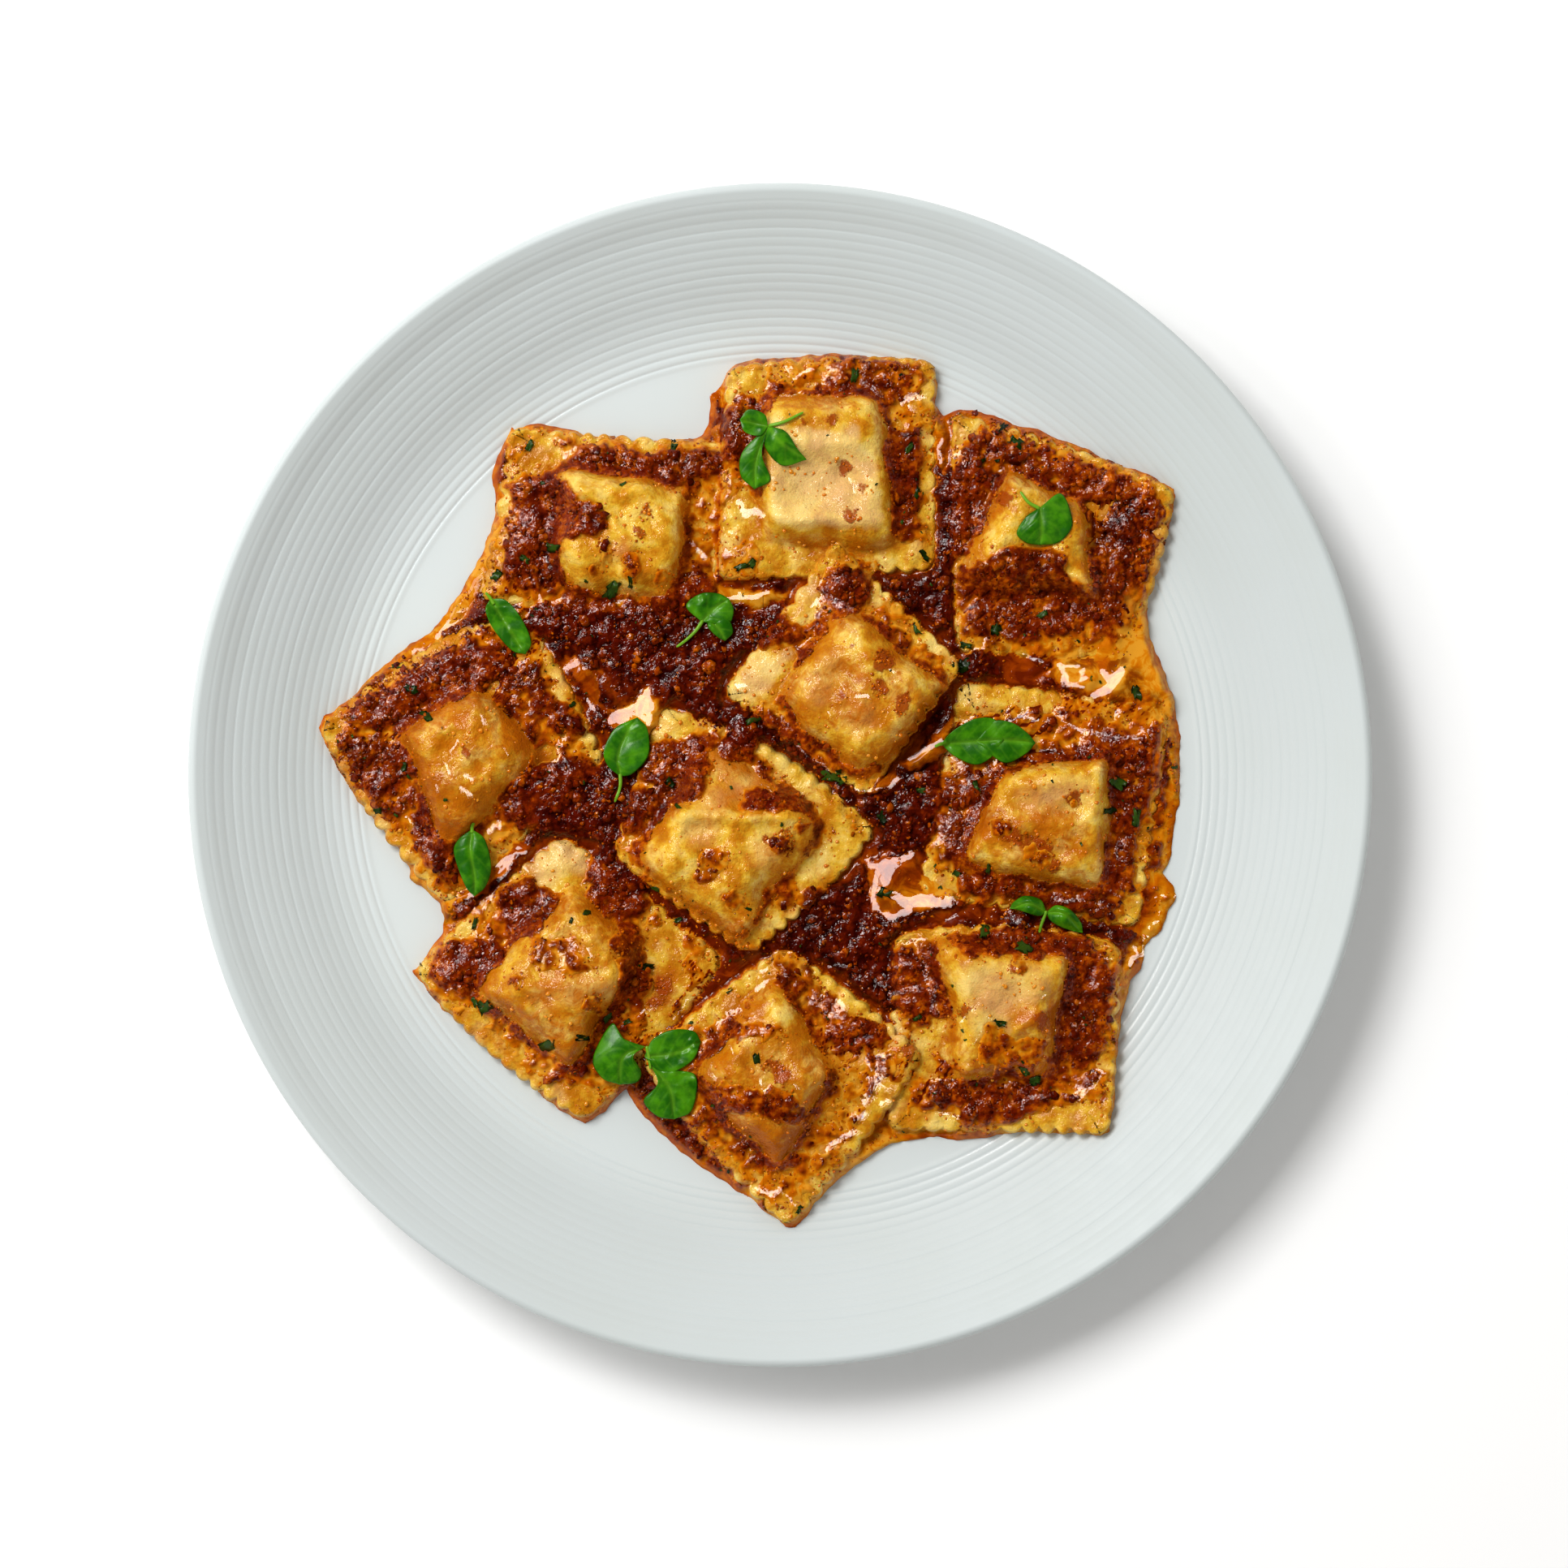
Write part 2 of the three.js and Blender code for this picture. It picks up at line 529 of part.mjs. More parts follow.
// A sprig joins its leaves and stem with a small knot where they meet, and rests on what lies below:
// it comes down until its nearest point is one gap above the food.
function sprigGeometry(sprig, below) {
  let solid = solidFrom(stemGeometry(sprig.stem));
  const ball = new THREE.SphereGeometry(knot.radius, knot.sides, knot.bands);
  solid = solid.add(solidFrom(ball.scale(1, 1, knot.flatness).translate(...sprig.stem[0])));
  for (const leaf of sprig.leaves) solid = solid.add(solidFrom(leafGeometry(leaf)));
  const geometry = geometryFrom(solid);
  const position = geometry.attributes.position;
  const ray = new THREE.Raycaster();
  const down = new THREE.Vector3(0, 0, -1);
  let raise = -Infinity;
  for (let i = 0; i < position.count; i++) {
    ray.set(new THREE.Vector3(position.getX(i), position.getY(i), dropFrom), down);
    const hit = ray.intersectObjects(below)[0];
    raise = Math.max(raise, hit.point.z - position.getZ(i));
  }
  return geometry.translate(0, 0, raise + leafGap);
}

const part = new THREE.Group();
part.add(meshOf("plate", geometryFrom(solidFrom(plateGeometry(0))), colours.porcelain, 0.15));

// From the lowest raviolo up, each is cut clear of the ones already laid.
const spaces = [];
const plainSpaces = [];
for (const [name, piece] of Object.entries(ravioli)) {
  const whole = raviolo(piece, true);
  let solid = solidFrom(whole);
  for (const space of spaces) solid = solid.subtract(space);
  spaces.push(spaceAround(whole));
  plainSpaces.push(spaceAround(raviolo(piece, false)));
  part.add(meshOf(name, geometryFrom(solid), colours.pasta, 0.45));
}
part.add(meshOf("sauce", geometryFrom(sauceSolid(plainSpaces)), colours.sauce, 0.2));

const food = [...part.children];
part.updateMatrixWorld(true);
for (const [name, sprig] of Object.entries(sprigs)) {
  part.add(meshOf(name, sprigGeometry(sprig, food), colours.basil, 0.4));
}

export default part;
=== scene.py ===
import math
import bpy
import numpy as np
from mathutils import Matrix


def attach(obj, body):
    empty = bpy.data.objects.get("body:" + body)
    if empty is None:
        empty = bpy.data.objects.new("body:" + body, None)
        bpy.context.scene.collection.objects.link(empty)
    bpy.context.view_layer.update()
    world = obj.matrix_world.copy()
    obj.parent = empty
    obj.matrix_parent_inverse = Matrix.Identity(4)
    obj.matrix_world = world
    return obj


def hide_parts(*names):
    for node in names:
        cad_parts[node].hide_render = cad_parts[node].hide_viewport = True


# Ten square ravioli in tomato and mince sauce on a ribbed plate, with basil.
# Tables are in millimetres with the plate's middle at the origin; meshes are in metres.
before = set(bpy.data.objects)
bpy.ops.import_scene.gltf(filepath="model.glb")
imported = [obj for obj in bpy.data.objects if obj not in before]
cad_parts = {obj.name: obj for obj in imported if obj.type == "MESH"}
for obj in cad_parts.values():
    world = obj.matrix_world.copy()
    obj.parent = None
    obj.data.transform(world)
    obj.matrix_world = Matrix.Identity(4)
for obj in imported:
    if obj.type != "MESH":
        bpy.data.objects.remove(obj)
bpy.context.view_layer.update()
random = np.random.default_rng(11)
squareCorners = np.array([(-1, -1), (1, -1), (1, 1), (-1, 1)], float)


# A random number from 0 to 1 for each whole-numbered place, by mixing its bits.
def scatter(column, row, seed):
    mixed = (column * 374761393 + row * 668265263 + seed * 974634777) & 0xFFFFFFFF
    mixed = ((mixed ^ (mixed >> 13)) * 1274126177) & 0xFFFFFFFF
    return ((mixed ^ (mixed >> 16)) & 0xFFFFFF) / 0xFFFFFF


# Gradient noise from about -1 to 1: each lattice corner slopes its own way and the slopes are blended.
def noise(x, y, size, seed):
    x, y = x / size, y / size
    column, row = np.floor(x).astype(np.int64), np.floor(y).astype(np.int64)
    x, y = x - column, y - row
    blendX, blendY = x * x * x * (x * (6 * x - 15) + 10), y * y * y * (y * (6 * y - 15) + 10)

    def slope(stepX, stepY):
        turn = 2 * math.pi * scatter(column + stepX, row + stepY, seed)
        return np.cos(turn) * (x - stepX) + np.sin(turn) * (y - stepY)

    low = slope(0, 0) + (slope(1, 0) - slope(0, 0)) * blendX
    high = slope(0, 1) + (slope(1, 1) - slope(0, 1)) * blendX
    return 1.5 * (low + (high - low) * blendY)


# Noise at three sizes, each half as wide and half as strong as the last.
def roughNoise(x, y, size, seed):
    wide, middle, narrow = (noise(x, y, size / 2 ** k, seed + k) / 2 ** k for k in range(3))
    return (wide + middle + narrow) / 1.5


# Rounded crumbs: one minus the squared distance to the nearest of a scatter of points, and the number
# of that point.
def crumbs(x, y, size, seed):
    x, y = x / size, y / size
    column, row = np.floor(x).astype(np.int64), np.floor(y).astype(np.int64)
    nearest, number = np.full(x.shape, 9.0), np.zeros(x.shape)
    for stepX in (-1, 0, 1):
        for stepY in (-1, 0, 1):
            c, r = column + stepX, row + stepY
            away = np.hypot(c + scatter(c, r, seed) - x, r + scatter(c, r, seed + 5) - y)
            closer = away < nearest
            nearest = np.where(closer, away, nearest)
            number = np.where(closer, scatter(c, r, seed + 9), number)
    return np.clip(1 - (nearest / 0.8) ** 2, 0, 1), number


# From 0 at low to 1 at high, level at both: three squares less two cubes of the share of the way.
def smoothStep(low, high, value):
    share = np.clip((value - low) / (high - low), 0, 1)
    return share * share * (3 - 2 * share)


# The larger of two heights, rounded where they cross: their mean and half a hyperbola of their difference.
def smoothMax(a, b, rounding):
    return (a + b + np.sqrt((a - b) ** 2 + rounding ** 2)) / 2


# Distance to a line through points: the least over its straight parts, each from the nearest place on it.
def lineDistance(x, y, points):
    nearest = np.full(x.shape, 1e9)
    for (ax, ay), (bx, by) in zip(points[:-1], points[1:]):
        ex, ey = bx - ax, by - ay
        share = np.clip(((x - ax) * ex + (y - ay) * ey) / (ex * ex + ey * ey + 1e-9), 0, 1)
        nearest = np.minimum(nearest, (x - ax - share * ex) ** 2 + (y - ay - share * ey) ** 2)
    return np.sqrt(nearest)


# Distance to a closed outline, positive inside it; a ray along +X crosses it an odd number of times there.
def insideDistance(x, y, points):
    inside = np.zeros(x.shape, bool)
    for (ax, ay), (bx, by) in zip(points, points[1:] + points[:1]):
        if ay != by:
            inside ^= ((ay > y) != (by > y)) & (x < (bx - ax) * (y - ay) / (by - ay) + ax)
    away = lineDistance(x, y, points + points[:1])
    return np.where(inside, away, -away)


# The board: height and paint layers on one grid over the dish.
board = {"left": -123.0, "right": 108.0, "bottom": -121.0, "top": 113.0, "step": 0.42}
boardX, boardY = np.meshgrid(np.arange(board["left"], board["right"], board["step"]),
                             np.arange(board["bottom"], board["top"], board["step"]))


# Noise over the whole board.
def boardNoise(size, seed):
    return noise(boardX, boardY, size, seed)


# A layer read between its grid points, weighted by nearness.
def read(layer, x, y):
    column = np.clip((x - board["left"]) / board["step"], 0, layer.shape[1] - 1.001)
    row = np.clip((y - board["bottom"]) / board["step"], 0, layer.shape[0] - 1.001)
    c, r = column.astype(int), row.astype(int)
    column, row = column - c, row - r
    low = layer[r, c] * (1 - column) + layer[r, c + 1] * column
    high = layer[r + 1, c] * (1 - column) + layer[r + 1, c + 1] * column
    return low * (1 - row) + high * row


# A layer softened by a bell curve of that reach in millimetres, through its Fourier transform.
def softened(layer, reach):
    upDown = np.fft.fftfreq(layer.shape[0], board["step"])
    sideways = np.fft.rfftfreq(layer.shape[1], board["step"])
    bell = np.exp(-2 * (math.pi * reach) ** 2 * (upDown[:, None] ** 2 + sideways[None] ** 2))
    return np.fft.irfft2(np.fft.rfft2(layer) * bell, s=layer.shape)


# The highest value within a reach to each side.
def grown(layer, reach):
    steps = round(reach / board["step"])
    for axis in (0, 1):
        layer = np.max([np.roll(layer, k, axis) for k in range(-steps, steps + 1)], axis=0)
    return layer


# The part of the board round some points, as two slices.
def window(points, margin):
    ends = np.array([np.min(points, axis=0) - margin, np.max(points, axis=0) + margin])
    cells = np.round((ends - (board["left"], board["bottom"])) / board["step"]).astype(int)
    columns, rows = np.clip(cells, 0, boardX.shape[::-1]).T
    return slice(*rows), slice(*columns)


# How ragged a painted edge is: the widths of two wavers, how far each moves it and the most they add up to.
rag = {"wide": 4.5, "reach": 1.1, "fine": 1.6, "fineReach": 0.5, "most": 2.5}


# How far painted edges are moved one way.
def waver(seed):
    return rag["reach"] * boardNoise(rag["wide"], seed) + rag["fineReach"] * boardNoise(rag["fine"], seed + 1)


ragX, ragY = waver(3), waver(5)


# Blends a layer to a level inside an outline, or inside a round spot (x, y, radius), with a ragged soft edge.
def paint(layer, level, shapes, soft=1.0):
    for shape in shapes:
        spot = not hasattr(shape[0], "__len__")
        points = [shape[:2]] if spot else list(shape)
        area = window(points, (shape[2] if spot else 0) + soft + rag["most"])
        x, y = boardX[area] + ragX[area], boardY[area] + ragY[area]
        away = shape[2] - np.hypot(x - shape[0], y - shape[1]) if spot else insideDistance(x, y, points)
        layer[area] += (level - layer[area]) * smoothStep(-soft, soft, away)


# Makes a piece from places in millimetres and blocks of three- or four-cornered faces.
def addPiece(name, places, blocks, material, values=None):
    mesh = bpy.data.meshes.new(name)
    mesh.vertices.add(len(places))
    mesh.vertices.foreach_set("co", (np.asarray(places) * 0.001).astype(np.float32).ravel())
    corners = np.concatenate([np.asarray(block).ravel() for block in blocks])
    counts = np.concatenate([np.full(len(block), np.shape(block)[1]) for block in blocks])
    mesh.loops.add(len(corners))
    mesh.loops.foreach_set("vertex_index", corners.astype(np.int32))
    mesh.polygons.add(len(counts))
    mesh.polygons.foreach_set("loop_start", (np.cumsum(counts) - counts).astype(np.int32))
    mesh.update(calc_edges=True)
    mesh.validate()
    mesh.shade_smooth()
    for label, numbers in (values or {}).items():
        layer = mesh.attributes.new(label, "FLOAT", "POINT")
        layer.data.foreach_set("value", np.asarray(numbers, np.float32).ravel())
    mesh.materials.append(material)
    piece = bpy.data.objects.new(name, mesh)
    bpy.context.scene.collection.objects.link(piece)
    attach(piece, "root")
    return piece


# Four-cornered faces between the rows of a grid of points; a closed grid joins its last column to its first.
def gridFaces(rows, columns, closed=False, start=0):
    across = columns if closed else columns - 1
    row, column = np.meshgrid(np.arange(rows - 1), np.arange(across), indexing="ij")
    following = (column + 1) % columns
    corners = [row * columns + column, row * columns + following,
               (row + 1) * columns + following, (row + 1) * columns + column]
    return start + np.stack(corners, -1).reshape(-1, 4)


# Closes a tube of rings with triangles from each end's middle, the two points that follow the rings.
def endFaces(rows, columns):
    near = np.arange(columns)
    following = (near + 1) % columns
    last, middle = (rows - 1) * columns, np.full(columns, rows * columns)
    return np.concatenate([np.stack([middle, following, near], 1),
                           np.stack([middle + 1, last + near, last + following], 1)])


# Points that lie at the same place become one, and faces with a side of no length lose that corner.
def welded(places, faces, values):
    first, compact = np.unique(np.round(places, 5), axis=0, return_index=True, return_inverse=True)[1:]
    faces = compact.ravel()[faces]
    same = faces == np.roll(faces, -1, axis=1)
    pinched = same.sum(1) == 1
    kept = (same[pinched].argmax(1)[:, None] + 1 + np.arange(3)) % 4
    triangles = np.take_along_axis(faces[pinched], kept, 1)
    values = {label: numbers[first] for label, numbers in values.items()}
    return places[first], [faces[~same.any(1)], triangles], values


# Feeds one input of a node: a socket is linked to it and any other value is set on it.
def feed(tree, entry, value):
    if isinstance(value, bpy.types.NodeSocket):
        tree.links.new(value, entry)
    else:
        entry.default_value = value


# Adds a node, gives it its settings and feeds its inputs.
def addNode(tree, kind, inputs=None, **settings):
    made = tree.nodes.new(kind)
    for key, value in settings.items():
        setattr(made, key, value)
    for key, value in (inputs or {}).items():
        feed(tree, made.inputs[key], value)
    return made


# One material's nodes, with short calls for the few kinds used here. A call gives the socket that holds
# its result, and sizes and depths are in millimetres.
class Finish:
    def __init__(self, name):
        self.material = bpy.data.materials.new(name)
        self.material.use_nodes = True
        self.tree = self.material.node_tree
        self.shader = self.tree.nodes["Principled BSDF"]
        self.place = addNode(self.tree, "ShaderNodeTexCoord").outputs["Object"]

    def value(self, label):
        return addNode(self.tree, "ShaderNodeAttribute", attribute_name=label).outputs["Fac"]

    def noise(self, size, detail=3.0, roughness=0.55, distortion=0.0):
        inputs = {"Vector": self.place, "Scale": 1000 / size, "Detail": detail, "Roughness": roughness,
                  "Distortion": distortion}
        return addNode(self.tree, "ShaderNodeTexNoise", inputs).outputs["Fac"]

    def cells(self, size):
        inputs = {"Vector": self.place, "Scale": 1000 / size}
        return addNode(self.tree, "ShaderNodeTexVoronoi", inputs, feature="SMOOTH_F1").outputs["Distance"]

    def join(self, kind, a, b):
        return addNode(self.tree, "ShaderNodeMath", {0: a, 1: b}, operation=kind).outputs[0]

    def plus(self, a, b):
        return self.join("ADD", a, b)

    def minus(self, a, b):
        return self.join("SUBTRACT", a, b)

    def times(self, a, b):
        return self.join("MULTIPLY", a, b)

    def vector(self, kind, *inputs):
        return addNode(self.tree, "ShaderNodeVectorMath", dict(enumerate(inputs)), operation=kind).outputs

    # A value between low and high eased to one between toLow and toHigh.
    def spread(self, value, low, high, toLow=0.0, toHigh=1.0):
        inputs = {"Value": value, "From Min": low, "From Max": high, "To Min": toLow, "To Max": toHigh}
        made = addNode(self.tree, "ShaderNodeMapRange", inputs, interpolation_type="SMOOTHSTEP")
        return made.outputs["Result"]

    def mix(self, share, a, b, kind="MIX"):
        made = addNode(self.tree, "ShaderNodeMix", {0: share, 6: a, 7: b}, data_type="RGBA", blend_type=kind)
        return made.outputs[2]

    def ramp(self, value, stops):
        made = addNode(self.tree, "ShaderNodeValToRGB", {"Fac": value})
        marks = made.color_ramp.elements
        while len(marks) < len(stops):
            marks.new(0.5)
        for mark, (place, colour) in zip(marks, stops):
            mark.position = place
            mark.color = colour
        return made.outputs["Color"]

    # Bumps one on the other, each of a height from 0 to 1 and its depth.
    def bump(self, heights, normal=None):
        for height, depth in heights:
            inputs = {"Height": height, "Distance": depth * 0.001, "Strength": 1.0}
            if normal is not None:
                inputs["Normal"] = normal
            normal = addNode(self.tree, "ShaderNodeBump", inputs).outputs["Normal"]
        return normal

    # The upright direction of a surface that slopes so much along X and Y.
    def direction(self, slopeX, slopeY):
        inputs = {"X": self.times(slopeX, -1.0), "Y": self.times(slopeY, -1.0), "Z": 1.0}
        return self.vector("NORMALIZE", addNode(self.tree, "ShaderNodeCombineXYZ", inputs).outputs[0])[0]

    def done(self, **inputs):
        for key, value in inputs.items():
            feed(self.tree, self.shader.inputs[key.replace("_", " ")], value)
        return self.material


# A colour given as the screen shows it, from 0 to 255, as light: the screen's curve undone.
def shade(red, green, blue):
    parts = [part / 255 for part in (red, green, blue)]
    return (*[part / 12.92 if part <= 0.04 else ((part + 0.055) / 1.055) ** 2.4 for part in parts], 1.0)


plate = {
    "well": 104, "wellTop": 6, "shoulder": 20, "slope": 0.48, "wall": 4, "radius": 150,
    "lip": 1.6, "flare": 0.8, "flareStart": 139,  # the round edge, and how the rim rises to meet it
    "foot": 92, "footWidth": 7, "footDepth": 2,
    "ribStart": 106.0, "ribEnd": 146.6, "ribPitch": 2.2, "ribStep": 0.25,
    "ribHeight": 0.075, "firstRibs": 0.09,  # the innermost ribs stand this much higher
    "flatRings": (105, 102, 96, 80, 60, 40, 20, 0.0), "turns": 360,
    # the rib colour is painted shade: greyer than the well, for the shading of the ribbed rim
    "colour": shade(211, 217, 216), "shadedRibColour": shade(198, 204, 203), "cloudColour": shade(204, 210, 213),
}


# Height of the plate's face: flat, then a parabola, then a straight slope.
def plateTop(r):
    well, shoulder, slope = plate["well"], plate["shoulder"], plate["slope"]
    curved = plate["wellTop"] + slope * np.clip(r - well, 0, shoulder) ** 2 / (2 * shoulder)
    return curved + slope * np.clip(r - well - shoulder, 0, None)


# The plate's profile of (radius, height), from the middle of its underside round the lip to the middle of
# its face. The ribs are the root of a sine's size, on top of the face.
def plateProfile():
    foot, width, depth = plate["foot"], plate["footWidth"], plate["footDepth"]
    under = [(0, depth), (40, depth), (foot - width - 0.6, depth), (foot - width, depth - 0.5),
             (foot - width + 0.6, 0.2), (foot - width + 1.4, 0), (foot - 1.4, 0), (foot - 0.5, 0.3),
             (foot + 0.2, depth - 0.3), (foot + 1.2, depth)]
    belly = np.linspace(plate["well"] - 4, plate["radius"] - 4, 26)
    belly = np.stack([belly, plateTop(belly) - plate["wall"] + 0.3 * smoothStep(110, 146, belly)], 1)
    turn = np.radians(np.linspace(-60, 118, 16))
    lipHeight = plateTop(plate["radius"] - 2 * plate["lip"]) - 0.2
    lip = np.stack([plate["radius"] - plate["lip"] + plate["lip"] * np.cos(turn),
                    lipHeight + plate["lip"] * np.sin(turn)], 1)
    ribs = np.arange(plate["ribStart"], plate["ribEnd"], plate["ribStep"])[::-1]
    wave = np.abs(np.sin(math.pi * (ribs - plate["ribStart"]) / plate["ribPitch"])) ** 0.5
    fade = smoothStep(0, 2, ribs - plate["ribStart"]) * smoothStep(0, 1, plate["ribEnd"] - ribs)
    tall = plate["ribHeight"] + plate["firstRibs"] * np.exp(-((ribs - plate["ribStart"] - 3) / 4) ** 2)
    flare = plate["flare"] * smoothStep(plate["flareStart"], plate["ribEnd"], ribs)
    ribTops = plateTop(ribs) + tall * (2 * wave - 1) * fade + flare
    flat = np.array(plate["flatRings"])
    face = np.stack([np.concatenate([ribs, flat]), np.concatenate([ribTops, plateTop(flat)])], 1)
    return np.concatenate([under, belly, lip, face])


# White glaze, a little greyer in faint clouds and duller on the rim. The ribbed rim is painted a little
# greyer still, as painted shade from its ribs and its slope.
def plateFinish():
    finish = Finish("porcelain")
    r = finish.vector("LENGTH", finish.vector("MULTIPLY", finish.place, (1, 1, 0))[0])["Value"]
    rim = finish.spread(r, 0.104, 0.122)
    cloudy = finish.spread(finish.noise(38, 2), 0.3, 0.7, 0.0, 0.22)
    # painted shade: the ribbed rim takes a greyer colour than the well
    colour = finish.mix(rim, plate["colour"], plate["shadedRibColour"])
    colour = finish.mix(cloudy, colour, plate["cloudColour"])
    uneven = finish.spread(finish.noise(6, 3), 0.3, 0.7, 0.0, 0.05)
    glaze = finish.plus(finish.spread(r, 0.108, 0.120, 0.12, 0.40), uneven)
    bump = finish.bump([(finish.noise(9, 2), 0.02), (finish.noise(0.5, 2), 0.004)])
    return finish.done(Base_Color=colour, Roughness=glaze, Normal=bump, Specular_IOR_Level=0.22)


# The profile turned about Z, with its first and last points on the axis.
def makePlate():
    profile = plateProfile()
    turn = np.linspace(0, 2 * math.pi, plate["turns"], endpoint=False)
    r, z = profile[1:-1, :1], profile[1:-1, 1:]
    body = np.stack([r * np.cos(turn), r * np.sin(turn), z + 0 * turn], -1).reshape(-1, 3)
    places = np.concatenate([body, [(0, 0, profile[0, 1]), (0, 0, profile[-1, 1])]])
    rows, columns = len(profile) - 2, plate["turns"]
    faces = [gridFaces(rows, columns, closed=True), endFaces(rows, columns)]
    piece = addPiece("plateDish", places, faces, plateFinish())
    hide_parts("plate")
    print("plate:", len(places), "points")


makePlate()


